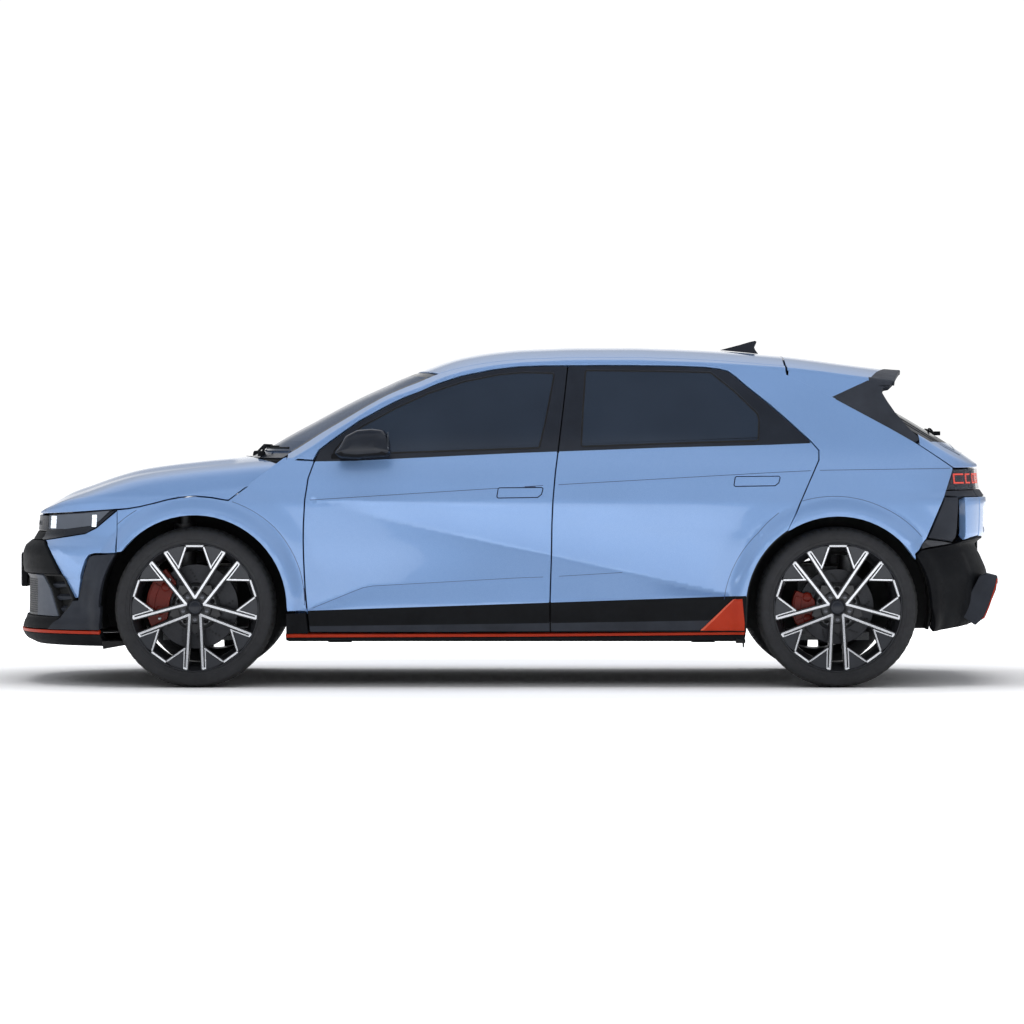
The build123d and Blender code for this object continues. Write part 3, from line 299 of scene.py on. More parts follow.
def emit(name, V, F, N, body, mats, MI=None, both=False, hides=(), seg=None):
    """A mesh from points in mm, faces, point normals and material numbers; both adds its mirror image."""
    V, N = np.asarray(V, float), np.asarray(N, float)
    F = [tuple(f) for f in F]
    MI = list(MI) if MI is not None else [0] * len(F)
    RAW[name] = (V, F, N, MI, mats)
    if both:
        k = len(V)
        V = np.vstack([V, V * [1, -1, 1]])
        N = np.vstack([N, N * [1, -1, 1]])
        F = F + [tuple(k + i for i in f[::-1]) for f in F]
        MI = MI + MI
    me = bpy.data.meshes.new(name)
    me.from_pydata((V * 0.001).tolist(), [], F)
    me.polygons.foreach_set("use_smooth", [True] * len(F))
    for m in mats:
        me.materials.append(m)
    me.polygons.foreach_set("material_index", MI)
    me.validate(clean_customdata=False)
    me.update()
    if len(me.vertices) == len(N):
        me.normals_split_custom_set_from_vertices(N.tolist())
    ob = bpy.data.objects.new(name, me)
    bpy.context.scene.collection.objects.link(ob)
    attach(ob, body)
    for h in hides:
        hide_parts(h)
    return ob


def twin(name, new, body, mats=None, hides=()):
    """The mirror image of a piece made by emit."""
    V, F, N, MI, m0 = RAW[name]
    return emit(new, V * [1, -1, 1], [f[::-1] for f in F], N * [1, -1, 1], body, mats or m0, MI, hides=hides)


def frame_at(fn, u, v, face=1.0):
    """Point, outward normal and the two directions of fn at (u, v)."""
    h = 1.2
    a, b, c, d = (Vector(fn(u + h, v)), Vector(fn(u - h, v)), Vector(fn(u, v + h)), Vector(fn(u, v - h)))
    du, dv = (a - b) / (2 * h), (c - d) / (2 * h)
    p = Vector(fn(u, v))
    n = du.cross(dv)
    n = n.normalized() if n.length > 1e-9 else Vector((0, 0, 1))
    ref = Vector((p.x - min(max(p.x, -1500), 1650), p.y, p.z - 620))
    if n.dot(ref) < 0:
        n = -n
    return p, n * face, du, dv


def patch(fn, outline, holes=(), zones=(), lines=(), step=14.0, gap=0.0, edge=3.0, depth=14.0, face=1.0, skip=None, rows=3, sub=None):
    """Points, faces, normals and zone numbers of a panel on the surface fn, cut to an outline with holes, its edges rolled over and turned in by depth.
    zones are (polygon, number) areas, lines are creases that the mesh follows."""
    def seg_step(p):
        return dense(p, step * 0.9)
    loops = []
    o = ccw(outline)
    o0 = seg_step(grow(o, -gap))
    o1 = grow(o0, -edge) if edge else o0
    loops.append((o0, o1, 1))
    for hole in holes:
        h = ccw(hole)
        h0 = seg_step(grow(h, gap))
        loops.append((h0, grow(h0, edge) if edge else h0, -1))
    pts, edges, segA, segB = [], [], [], []

    def add_loop(p, closed=True):
        k = len(pts)
        pts.extend(p)
        m = len(p)
        for i in range(m if closed else m - 1):
            j = (i + 1) % m
            edges.append((k + i, k + j))
            segA.append(p[i])
            segB.append(p[j])
    for _, p, _ in loops:
        add_loop(p)
    for poly, _ in zones:
        add_loop(dense(ccw(poly), step * 0.9))
    for l in lines:
        add_loop(dense(l, step * 0.9, False), False)
    lo, hi = np.min(loops[0][1], axis=0), np.max(loops[0][1], axis=0)
    sx, sy = step, step * 0.93
    gx, gy = np.arange(lo[0] + sx / 2, hi[0], sx), np.arange(lo[1] + sy / 2, hi[1], sy)
    G = np.array([(x + (sx / 2 if j % 2 else 0), y) for j, y in enumerate(gy) for x in gx])
    if len(G):
        ok = inside(G, loops[0][1])
        for _, p, s in loops[1:]:
            ok &= ~inside(G, p)
        G = G[ok]
        if len(G):
            G = G[seg_dist(G, segA, segB) > step * 0.5]
    all_pts = [Vector(p) for p in pts] + [Vector(g) for g in G.tolist()]
    vs, _, fs = delaunay_2d_cdt(all_pts, edges, [], 0, 1e-3)[:3]
    P = np.array([(v[0], v[1]) for v in vs])
    T = np.array([f for f in fs if len(f) == 3])
    C = P[T].mean(axis=1)
    A = P[T]
    ar = np.abs(np.cross(A[:, 1] - A[:, 0], A[:, 2] - A[:, 0]))
    keep = inside(C, loops[0][1]) & (ar > 1e-2)
    for _, p, s in loops[1:]:
        keep &= ~inside(C, p)
    T, C = T[keep], C[keep]
    used = np.unique(T)
    remap = -np.ones(len(P), int)
    remap[used] = np.arange(len(used))
    P = P[used]
    T = remap[T]
    zone = np.zeros(len(T), int)
    for poly, k in zones:
        zone[inside(C, ccw(poly))] = k
    V, N = [], []
    for u, v in P:
        p, n, _, _ = frame_at(fn, u, v, face)
        V.append(p)
        N.append(n)
    F, MI = [], []
    for t, k in zip(T.tolist(), zone.tolist()):
        a, b, c = (V[i] for i in t)
        if (b - a).cross(c - a).dot(N[t[0]] + N[t[1]] + N[t[2]]) < 0:
            t = t[::-1]
        F.append(tuple(t))
        MI.append(k)
    for p0, p1, s in loops:
        if depth <= 0 and edge <= 0:
            continue
        dirs = outward(p0)
        rings = []
        for (u0, v0), (u1, v1), w in zip(p0, p1, dirs):
            p, n, du, dv = frame_at(fn, u1, v1, face)
            w = w.normalized() * s
            o = du * w.x + dv * w.y
            o = (o - n * o.dot(n))
            o = o.normalized() if o.length > 1e-9 else Vector((0, 0, 1))
            col = []
            for k in range(rows + 1 if edge else 1):
                th = pi / 2 * k / rows if edge else 0
                if edge:
                    uu, vv = u1 + (u0 - u1) * sin(th), v1 + (v0 - v1) * sin(th)
                    q = Vector(fn(uu, vv)) - n * edge * (1 - cos(th))
                    col.append((q, (n * cos(th) + o * sin(th)).normalized()))
                else:
                    col.append((p, n))
            if depth > 0:
                q = col[-1][0]
                col.append((q, o))
                col.append((q - n * depth, o))
            rings.append(col)
        m = len(rings)
        k0 = len(V)
        zr = np.zeros(m, int)
        mid = np.array([((p1[i][0] + p1[(i + 1) % m][0]) / 2 - dirs[i].x * 0.5 * s, (p1[i][1] + p1[(i + 1) % m][1]) / 2 - dirs[i].y * 0.5 * s) for i in range(m)])
        for poly, k in zones:
            zr[inside(mid, ccw(poly))] = k
        R = len(rings[0])
        for col in rings:
            for q, n in col:
                V.append(q)
                N.append(n)
        for i in range(m):
            j = (i + 1) % m
            if skip and skip(p0[i], p0[j]):
                continue
            for r in range(R - 1):
                if edge and depth > 0 and r == rows:
                    continue
                a, b, c, d = k0 + i * R + r, k0 + j * R + r, k0 + j * R + r + 1, k0 + i * R + r + 1
                pa, pb, pc = V[a], V[b], V[c]
                f = (a, b, c, d)
                if (pb - pa).cross(pc - pa).dot(N[a] + N[b] + N[c] + N[d]) < 0:
                    f = f[::-1]
                F.append(f)
                MI.append(int(zr[i]))
    return V, F, N, MI


def strip(cols, closed=False, mat=0):
    """Points and faces of a grid of (point, normal) columns."""
    V, N, F = [], [], []
    R = len(cols[0])
    for col in cols:
        for p, n in col:
            V.append(Vector(p))
            N.append(Vector(n))
    for i in range(len(cols) if closed else len(cols) - 1):
        j = (i + 1) % len(cols)
        for r in range(R - 1):
            a, b, c, d = i * R + r, j * R + r, j * R + r + 1, i * R + r + 1
            f = (a, b, c, d)
            g = (V[b] - V[a]).cross(V[c] - V[a]) + (V[c] - V[a]).cross(V[d] - V[a])
            if g.length < 1e-9:
                continue
            if g.dot(N[a] + N[b] + N[c] + N[d]) < 0:
                f = f[::-1]
            F.append(f)
    return V, F, N, [mat] * len(F)


def merge(*parts):
    V, F, N, MI = [], [], [], []
    for v, f, n, m in parts:
        k = len(V)
        V += [Vector(p) for p in v]
        N += [Vector(p) for p in n]
        F += [tuple(i + k for i in g) for g in f]
        MI += list(m)
    return V, F, N, MI


def piece(name, data, body, mats, both=False, hides=()):
    V, F, N, MI = data
    return emit(name, [tuple(v) for v in V], F, [tuple(n) for n in N], body, mats, MI, both=both, hides=hides)


def pair(name, data, bodies, mats, hides=((), ())):
    """A left-hand piece and its mirror image, each on its own body. NAME holds LR for the side."""
    a = piece(name.replace("LR", "left"), data, bodies[0], mats, hides=hides[0])
    b = twin(name.replace("LR", "left"), name.replace("LR", "right"), bodies[1], hides=hides[1])
    return a, b


def solid(name, bm, body, mats, bevel=0.0, segments=2, angle=35, hides=(), smooth_all=True):
    """An object in metres from a bmesh, with its edges bevelled."""
    me = bpy.data.meshes.new(name)
    bmesh.ops.recalc_face_normals(bm, faces=bm.faces)
    bm.to_mesh(me)
    bm.free()
    for m in mats:
        me.materials.append(m)
    me.polygons.foreach_set("use_smooth", [smooth_all] * len(me.polygons))
    me.set_sharp_from_angle(angle=radians(angle))
    ob = bpy.data.objects.new(name, me)
    bpy.context.scene.collection.objects.link(ob)
    if bevel:
        b = ob.modifiers.new("edge", "BEVEL")
        b.width, b.segments, b.limit_method, b.angle_limit = bevel * 0.001, segments, "ANGLE", radians(angle)
        b.harden_normals = True
    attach(ob, body)
    for h in hides:
        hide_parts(h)
    return ob


def prism(bm, pts, place, d0, d1, mat=0):
    """Adds to bm a polygon, in mm, swept between two depths; place turns (u, v, depth) into a point in mm."""
    lo = [bm.verts.new(Vector(place(u, v, d0)) * 0.001) for u, v in pts]
    hi = [bm.verts.new(Vector(place(u, v, d1)) * 0.001) for u, v in pts]
    n = len(pts)
    fs = [bm.faces.new(lo[::-1]), bm.faces.new(hi)]
    for i in range(n):
        fs.append(bm.faces.new((lo[i], lo[(i + 1) % n], hi[(i + 1) % n], hi[i])))
    for f in fs:
        f.material_index = mat
    return fs


def turned(bm, profile, place, n=96, mat=0, a0=0.0, a1=360.0):
    """Adds to bm a profile of (radius, depth) turned about an axis; place turns (radius cos, radius sin, depth) into a point in mm."""
    full = abs(a1 - a0) >= 359.9
    cols = []
    for i in range(n if full else n + 1):
        a = radians(a0 + (a1 - a0) * i / n)
        cols.append([bm.verts.new(Vector(place(r * cos(a), r * sin(a), d)) * 0.001) for r, d in profile])
    fs = []
    for i in range(n):
        j = (i + 1) % len(cols)
        for k in range(len(profile) - 1):
            quad = (cols[i][k], cols[j][k], cols[j][k + 1], cols[i][k + 1])
            if len({tuple(round(c, 7) for c in v.co) for v in quad}) < 3:
                continue
            f = bm.faces.new(quad)
            f.material_index = mat
            fs.append(f)
    return fs


def block(bm, x0, x1, y0, y1, z0, z1, mat=0):
    return prism(bm, [(x0, z0), (x1, z0), (x1, z1), (x0, z1)], lambda u, v, d: (u, d, v), y0, y1, mat)


def tube(bm, path, r, n=12, mat=0):
    """Adds to bm a round bar along a path in mm."""
    path = [Vector(p) for p in path]
    rings = []
    for i, p in enumerate(path):
        t = (path[min(i + 1, len(path) - 1)] - path[max(i - 1, 0)]).normalized()
        a = t.cross(Vector((0, 0, 1)) if abs(t.z) < 0.9 else Vector((0, 1, 0))).normalized()
        b = t.cross(a)
        rings.append([bm.verts.new((p + (a * cos(2 * pi * k / n) + b * sin(2 * pi * k / n)) * r) * 0.001) for k in range(n)])
    for a, b in zip(rings, rings[1:]):
        for k in range(n):
            bm.faces.new((a[k], a[(k + 1) % n], b[(k + 1) % n], b[k])).material_index = mat
    for ring in (rings[0][::-1], rings[-1]):
        bm.faces.new(ring).material_index = mat

# ================================================================ materials


def lin(r, g, b):
    f = lambda c: c / 12.92 if c <= 0.04045 else ((c + 0.055) / 1.055) ** 2.4
    return (f(r / 255), f(g / 255), f(b / 255), 1.0)


def shader(name, **sockets):
    m = bpy.data.materials.new(name)
    m.use_nodes = True
    b = m.node_tree.nodes["Principled BSDF"]
    for k, v in sockets.items():
        b.inputs[k.replace("_", " ")].default_value = v
    return m, m.node_tree, b


def coords(nt, scale=(1, 1, 1)):
    c = nt.nodes.new("ShaderNodeTexCoord")
    mp = nt.nodes.new("ShaderNodeMapping")
    mp.inputs["Scale"].default_value = scale
    nt.links.new(c.outputs["Object"], mp.inputs["Vector"])
    return mp.outputs["Vector"]


def noise(nt, scale, detail=3.0, rough=0.5, vec=None):
    n = nt.nodes.new("ShaderNodeTexNoise")
    n.inputs["Scale"].default_value, n.inputs["Detail"].default_value, n.inputs["Roughness"].default_value = scale, detail, rough
    nt.links.new(vec or coords(nt), n.inputs["Vector"])
    return n.outputs["Fac"]


def cells(nt, scale, vec=None, feature="F1", out="Distance"):
    n = nt.nodes.new("ShaderNodeTexVoronoi")
    n.feature = feature
    n.inputs["Scale"].default_value = scale
    nt.links.new(vec or coords(nt), n.inputs["Vector"])
    return n.outputs[out]


def ramp(nt, fac, stops, kind="LINEAR"):
    r = nt.nodes.new("ShaderNodeValToRGB")
    r.color_ramp.interpolation = kind
    while len(r.color_ramp.elements) < len(stops):
        r.color_ramp.elements.new(0.5)
    for e, (p, c) in zip(r.color_ramp.elements, stops):
        e.position, e.color = p, c if len(c) == 4 else (*c, 1)
    nt.links.new(fac, r.inputs["Fac"])
    return r.outputs["Color"]


def span(nt, value, a, b, c, d):
    r = nt.nodes.new("ShaderNodeMapRange")
    for k, v in zip(("From Min", "From Max", "To Min", "To Max"), (a, b, c, d)):
        r.inputs[k].default_value = v
    nt.links.new(value, r.inputs["Value"])
    return r.outputs["Result"]


def bump(nt, bsdf, height, strength, distance):
    b = nt.nodes.new("ShaderNodeBump")
    b.inputs["Strength"].default_value, b.inputs["Distance"].default_value = strength, distance
    nt.links.new(height, b.inputs["Height"])
    nt.links.new(b.outputs["Normal"], bsdf.inputs["Normal"])


def grained(name, dark, light, r0, r1, scale=900.0, mottle=6.0, strength=0.12, distance=0.0004, **sockets):
    """A moulded or sprayed finish: fine grain, slow mottling of colour and roughness."""
    m, nt, b = shader(name, **sockets)
    slow = noise(nt, mottle, 4.0, 0.6)
    fine = noise(nt, scale, 2.0, 0.7)
    nt.links.new(ramp(nt, slow, [(0.3, dark), (0.7, light)]), b.inputs["Base Color"])
    nt.links.new(span(nt, noise(nt, mottle * 5, 5.0, 0.6), 0.25, 0.75, r0, r1), b.inputs["Roughness"])
    bump(nt, b, fine, strength, distance)
    return m


def paint(name, low, high, metal=0.25):
    m, nt, b = shader(name, Metallic=metal, Coat_Weight=1.0, Coat_Roughness=0.04, Coat_IOR=1.5)
    flake = cells(nt, 1400.0, out="Color")
    sep = nt.nodes.new("ShaderNodeSeparateColor")
    nt.links.new(flake, sep.inputs["Color"])
    nt.links.new(ramp(nt, sep.outputs[0], [(0.0, low), (0.55, tuple(0.5 * (p + q) for p, q in zip(low, high))), (1.0, high)]), b.inputs["Base Color"])
    nt.links.new(span(nt, noise(nt, 3.0, 3.0), 0.3, 0.7, 0.36, 0.44), b.inputs["Roughness"])
    bump(nt, b, noise(nt, 260.0, 1.0), 0.010, 0.0004)
    return m


def glassy(name, colour, alpha, rough=0.03, tint=None, coat=0.0, **sockets):
    m, nt, b = shader(name, Alpha=alpha, Coat_Weight=coat, **{"IOR": 1.5, **sockets})
    nt.links.new(ramp(nt, noise(nt, 2.2, 2.0), [(0.3, colour), (0.7, tint or colour)]), b.inputs["Base Color"])
    nt.links.new(span(nt, noise(nt, 9.0, 4.0), 0.3, 0.7, rough * 0.7, rough * 1.4), b.inputs["Roughness"])
    m.surface_render_method = "BLENDED"
    return m


def metal(name, dark, light, r0, r1, scale=(60, 60, 60), strength=0.05, metallic=1.0, **sockets):
    m, nt, b = shader(name, Metallic=metallic, **sockets)
    v = coords(nt, scale)
    nt.links.new(ramp(nt, noise(nt, 9.0, 5.0, 0.6, v), [(0.25, dark), (0.75, light)]), b.inputs["Base Color"])
    nt.links.new(span(nt, noise(nt, 14.0, 4.0), 0.3, 0.7, r0, r1), b.inputs["Roughness"])
    bump(nt, b, noise(nt, 20.0, 4.0, 0.7, v), strength, 0.0005)
    return m


def woven(name, dark, light, pitch, **sockets):
    """A cloth or suede: crossing threads over a soft nap."""
    m, nt, b = shader(name, Sheen_Weight=0.25, Sheen_Roughness=0.5, **sockets)
    v = coords(nt)
    w = nt.nodes.new("ShaderNodeTexWave")
    w.inputs["Scale"].default_value, w.inputs["Distortion"].default_value = pitch, 1.5
    nt.links.new(v, w.inputs["Vector"])
    mix = nt.nodes.new("ShaderNodeMath")
    mix.operation = "MULTIPLY"
    nt.links.new(w.outputs["Fac"], mix.inputs[0])
    nt.links.new(noise(nt, pitch * 1.6, 3.0, 0.7), mix.inputs[1])
    nt.links.new(ramp(nt, noise(nt, 30.0, 4.0), [(0.3, dark), (0.7, light)]), b.inputs["Base Color"])
    nt.links.new(span(nt, mix.outputs[0], 0.0, 1.0, 0.82, 0.95), b.inputs["Roughness"])
    bump(nt, b, mix.outputs[0], 0.35, 0.0008)
    return m


def glow(name, colour, strength, base):
    m, nt, b = shader(name, Emission_Color=colour, Emission_Strength=strength, Roughness=0.3)
    nt.links.new(ramp(nt, noise(nt, 60.0, 2.0), [(0.3, base), (0.7, tuple(min(1, 1.1 * c) for c in base))]), b.inputs["Base Color"])
    return m


PAINT = paint("performance_blue_paint", lin(116, 155, 208), lin(141, 175, 222), 0.5)
# painted shade: a dark blue line laid along the shoulder, low-line and wheel-arch creases, standing in for the shade of
# a sharp crease
CREASE_SHADE_PAINT = grained("crease_shadow_paint", lin(31, 48, 82), lin(38, 57, 94), 0.3, 0.4, 400, 5, 0.02, Coat_Weight=0.15)
PAINT_IN = grained("painted_inner_metal", lin(96, 130, 182), lin(108, 142, 194), 0.45, 0.6, 700, 5, 0.05)
CLAD = grained("grained_cladding", lin(15, 16, 19), lin(21, 23, 26), 0.50, 0.64, 1100, 7, 0.16, IOR=1.2)
CLAD_GREY = grained("dark_grey_cladding", lin(40, 43, 50), lin(50, 54, 62), 0.44, 0.58, 900, 6, 0.10, IOR=1.26)
GRILLE_GREY = grained("satin_grey_grille", lin(74, 80, 90), lin(86, 92, 103), 0.42, 0.56, 700, 8, 0.12, Specular_IOR_Level=0.3)
GLOSS = grained("gloss_black_trim", lin(26, 30, 38), lin(33, 38, 47), 0.14, 0.24, 300, 4, 0.012, Specular_IOR_Level=0.32)
SEAL = grained("rubber_seal", lin(12, 12, 13), lin(20, 20, 21), 0.55, 0.7, 1300, 9, 0.12)
GLASS = glassy("tinted_side_glass", lin(34, 43, 56), 0.965, 0.03, lin(40, 50, 64), Specular_IOR_Level=0.34)
REAR_GLASS = glassy("tinted_rear_glass", lin(22, 26, 33), 0.965, 0.12, lin(28, 33, 41), IOR=1.12)
SCREEN = glassy("windscreen_glass", lin(50, 65, 88), 0.86, 0.08, lin(58, 75, 100), IOR=1.08)
LENS = glassy("clear_lamp_lens", lin(70, 78, 90), 0.30, 0.03, lin(84, 92, 104), 0.5)
HEAD_LENS = glassy("smoked_headlamp_lens", lin(98, 104, 114), 0.80, 0.08, lin(104, 110, 120), 0.0, Specular_IOR_Level=0.2)
RED_LENS = glassy("red_lamp_lens", lin(96, 14, 16), 0.62, 0.05, lin(120, 18, 20), 0.5)
LAMP_IN = metal("lamp_reflector", lin(96, 102, 112), lin(140, 147, 158), 0.16, 0.30, (20, 20, 200), 0.03)
DRL = glow("daytime_lamp", (0.86, 0.93, 1.0, 1), 0.85, lin(226, 234, 244))
RED_GLOW = glow("red_lamp_pixel", (1.0, 0.09, 0.03, 1), 0.9, lin(214, 46, 34))
ORANGE = grained("orange_red_accent", lin(164, 40, 10), lin(178, 48, 14), 0.40, 0.50, 500, 5, 0.03, Coat_Weight=0.1, Coat_Roughness=0.12, Specular_IOR_Level=0.2)
# painted highlight: a lighter, glossier copy of the orange accent for the facet along the orange corner's slanted edge,
# standing in for the light that facet catches; the panel there is flat
LIT_BEVEL_ORANGE_PAINT = grained("orange_painted_bevel_highlight", lin(200, 66, 30), lin(214, 80, 40), 0.34, 0.44, 500, 5, 0.03, Coat_Weight=0.4, Coat_Roughness=0.12)
RUBBER = grained("tyre_rubber_compound", lin(25, 26, 29), lin(35, 36, 40), 0.62, 0.78, 800, 10, 0.14)
TREAD = grained("tyre_tread_rubber", lin(24, 25, 26), lin(35, 36, 37), 0.72, 0.88, 600, 14, 0.2)
ALLOY_DARK = metal("dark_painted_alloy", lin(26, 27, 30), lin(37, 38, 42), 0.34, 0.44, (40, 40, 40), 0.03, 0.35, Coat_Weight=0.4)
ALLOY_MID = metal("grey_painted_alloy", lin(42, 44, 49), lin(54, 57, 63), 0.36, 0.46, (40, 40, 40), 0.03, 0.5, Coat_Weight=0.3)
ALLOY_CUT = metal("diamond_cut_alloy", lin(206, 209, 214), lin(236, 238, 242), 0.20, 0.30, (260, 30, 260), 0.02, 0.75)
# painted shade: the disc iron is darkened below the grey of bare iron, for the shade it sits in inside the wheel
BRAKE_DISC_PAINTED_SHADE = metal("brake_disc_iron_painted_shade", lin(46, 47, 50), lin(66, 67, 70), 0.30, 0.42, (30, 400, 30), 0.08)
# painted shade: the caliper's red is darkened well below its own enamel colour, for the shade it sits in inside the
# wheel
CALIPER_RED_PAINTED_SHADE = grained("caliper_enamel_painted_shade", lin(92, 18, 6), lin(110, 24, 8), 0.36, 0.46, 420, 9, 0.03, Coat_Weight=0.15, Coat_Roughness=0.1, Specular_IOR_Level=0.2)
STEEL = metal("zinc_steel", lin(150, 152, 156), lin(190, 192, 196), 0.25, 0.38, (80, 80, 80), 0.05)
CAST = metal("cast_aluminium", lin(116, 118, 121), lin(150, 152, 155), 0.48, 0.62, (18, 18, 18), 0.25)
PACK = grained("sealed_pack_steel", lin(40, 41, 44), lin(54, 55, 58), 0.45, 0.6, 260, 6, 0.2, Metallic=0.4)
UNDER = grained("underbody_coating", lin(19, 20, 21), lin(29, 30, 31), 0.78, 0.9, 420, 8, 0.4)
CABIN = grained("soft_touch_plastic", lin(27, 28, 31), lin(35, 36, 39), 0.60, 0.74, 1500, 6, 0.18)
CABIN_MID = grained("grey_cabin_trim", lin(48, 50, 54), lin(58, 60, 64), 0.55, 0.7, 1300, 6, 0.15)
SUEDE = woven("suede_seat_cloth", lin(37, 38, 42), lin(50, 51, 56), 420.0)
LEATHER = grained("seat_leather", lin(30, 31, 34), lin(39, 40, 44), 0.44, 0.56, 380, 8, 0.35, 0.0006)
THREAD = grained("seat_stitching", lin(120, 160, 214), lin(140, 178, 226), 0.6, 0.7, 900, 40, 0.3)
CARPET = woven("floor_carpet", lin(22, 23, 25), lin(34, 35, 37), 300.0)
DISPLAY = grained("display_glass", lin(10, 12, 16), lin(14, 16, 21), 0.06, 0.12, 200, 2, 0.0, Coat_Weight=1.0)
PLATE = grained("blank_plate", lin(206, 208, 210), lin(222, 223, 225), 0.30, 0.42, 500, 4, 0.04)
MESH = grained("grille_mesh", lin(38, 40, 44), lin(62, 65, 71), 0.40, 0.55, 260, 30, 0.5, 0.002)

# ================================================================ body sides
B_CUT = [(184, 256), (182, 400), (186, 520), (189, 600), (191, 760), (196, 876), (207, 1000), (221, 1109), (240, 1260), (269, 1507)]
DOOR_FRONT_EDGE = [(-918, 1056), (-946, 979), (-962, 876), (-968, 760), (-969, 690), (-967, 600), (-964, 526), (-959, 440), (-953, 372), (-945, 300), (-940, 256)]
RAIL_FRONT = [(160, 1506), (43, 1502), (-70, 1490), (-237, 1457), (-404, 1400), (-558, 1330), (-712, 1245), (-842, 1151), (-897, 1109)]
RAIL_REAR = [(410, 1508), (552, 1508), (774, 1505), (900, 1500), (975, 1493), (1024, 1481), (1062, 1452), (1107, 1412), (1217, 1323), (1312, 1237), (1403, 1151)]
FRONT_DOOR = DOOR_FRONT_EDGE + B_CUT + RAIL_FRONT
REAR_DOOR = (B_CUT[::-1] + [(1093, 256), (1096, 300)] + arc(AXLE_R, ARCH_R + 1.5, 180, 123, 15)
             + [(1330, 818), (1390, 953), (1439, 1063), (1440, 1108)] + RAIL_REAR[::-1])
FRONT_WINDOW = [(-838, 1084), (-700, 1090), (-300, 1104), (132, 1119), (160, 1232), (206, 1470), (60, 1474), (-60, 1463), (-222, 1430), (-388, 1375), (-540, 1305), (-700, 1217), (-790, 1148)]
REAR_WINDOW = [(328, 1125), (700, 1138), (1158, 1153), (1164, 1250), (1157, 1279), (1050, 1386), (951, 1466), (940, 1474), (700, 1480), (351, 1484), (338, 1300)]
HOOD_CUT = [(-2420, 797), (-2274, 801), (-2060, 815), (-1845, 831), (-1790, 835), (-1731, 845), (-1660, 862), (-1600, 878), (-1540, 889), (-1475, 894), (-1400, 888),
            (-1350, 879), (-1319, 874), (-1250, 925.5), (-1190, 970), (-1125, 1018.5), (-1057, 1069)]
BEZEL_LOW = [(-2420, 688), (-2239, 687), (-2200, 686), (-2091, 704), (-1995, 719), (-1937, 748), (-1843, 829)]
FENDER = ([(-1844, 629), (-1844, 829)] + HOOD_CUT[4:] + [(-1040, 1066), (-925, 1060)] + DOOR_FRONT_EDGE[:-2]
          + [(-951, 357), (-1045, 354)] + arc(AXLE_F, ARCH_R + 1, 0, 143, 27))
QUARTER = ([(1440, 1108), (1439, 1063), (1390, 953), (1330, 818)] + arc(AXLE_R, ARCH_R + 1, 123, 32, 18)
           + [(1882, 625), (1902, 644), (1939, 698), (2028, 896), (2071, 1014), (2071, 1024), (1897, 1139), (1887, 1145), (1779, 1208),
              (1640, 1285), (1505, 1359), (1400, 1412), (1309, 1458)])
SURROUND = [(-924, 1055), (-897, 1109), (-842, 1151), (-712, 1245), (-558, 1330), (-404, 1400.5), (-237, 1457), (-70, 1490.6), (43, 1502), (160, 1506), (274, 1508),
            (552, 1508), (774, 1505), (900, 1500), (975, 1493), (1024, 1483), (1062, 1453), (1107, 1412.5), (1217, 1323.6), (1312, 1237), (1403, 1151.3), (1402, 1140.5), (1212, 1132.6),
            (700, 1119), (43, 1095), (-300, 1079), (-733, 1058)]
DOOR_CLAD = [(-1100, 352), (-954, 354), (-939, 359.6), (43, 392.7), (997, 425.8), (1150, 431), (1150, 150), (-1100, 150)]
GREY_INSERT = [(-944, 286), (43, 299), (936, 313.5), (882, 266.4), (-1004, 257.5)]
GREY_INSERT = [(-938, 286), (43, 299), (936, 313.5), (884, 267), (43, 263), (-944, 260)]
ORANGE_TRI = [(1035, 415.3), (1082, 417.4), (1089, 264), (882, 264)]

z_shoulder = line([-1100, -884, 43, 1208, 1437, 2069], [866, 879, 937, 1003, 1014, 1023])
z_low_line = line([-1100, -938, -696, -652, 43, 194, 524, 1100], [300, 366, 465, 474, 513, 518, 537, 560])
z_black = line([-1054, -939, 43, 997, 1091], [354, 360, 393, 426, 431])


def sculpt_raw(x, z):
    """The door's shoulder, hollow and flared lower panel, outwards."""
    zs = z_shoulder(x)
    zd = 855 - 0.2282 * (x + 857)
    zl, zb = min(z_low_line(x), zd - 2), z_black(x)
    D = 31.0 * smooth((x + 880) / 1000) * (1 - smooth((x - 760) / 360))
    fade = smooth((x + 1000) / 60) * (1 - smooth((x - 980) / 200))
    low = 15.0 * fade
    at_low = -D * (1 - min(1.0, (zd - zl) / 110.0))
    if z >= zs:
        return 0.0
    if zd < zs and z > zd:
        e = (zs - z) / (zs - zd)
        return 3.0 * fade * sin(pi * min(1, 2.2 * e)) * (1 if e < 0.4545 else 0) - D * e ** 2
    if zd >= zs:
        zd = zs
    if z > zl:
        return -D + (D + at_low) * (zd - z) / max(1.0, zd - zl)
    if z > zb:
        return at_low + (low - at_low) * (zl - z) / max(1.0, zl - zb)
    return low


def sculpt(x, z):
    return (sculpt_raw(x, z - 9) + 2 * sculpt_raw(x, z - 4) + 2 * sculpt_raw(x, z) + 2 * sculpt_raw(x, z + 4) + sculpt_raw(x, z + 9)) / 8


def gill(x, z):
    """The slot let into the flare ahead of the rear wheel."""
    a, b = Vector((1176, 724)), Vector((1040, 470))
    p, d = Vector((x, z)), b - a
    t = (p - a).dot(d) / d.length_squared
    if not 0 < t < 1:
        return 0.0
    n = Vector((-d.y, d.x)).normalized()
    s = (p - a).dot(n)
    w = 15 * sin(pi * min(1, max(0, t))) ** 0.5
    return -9.0 * smooth(1 - abs(s) / max(4.0, w)) * smooth(min(t, 1 - t) / 0.1)


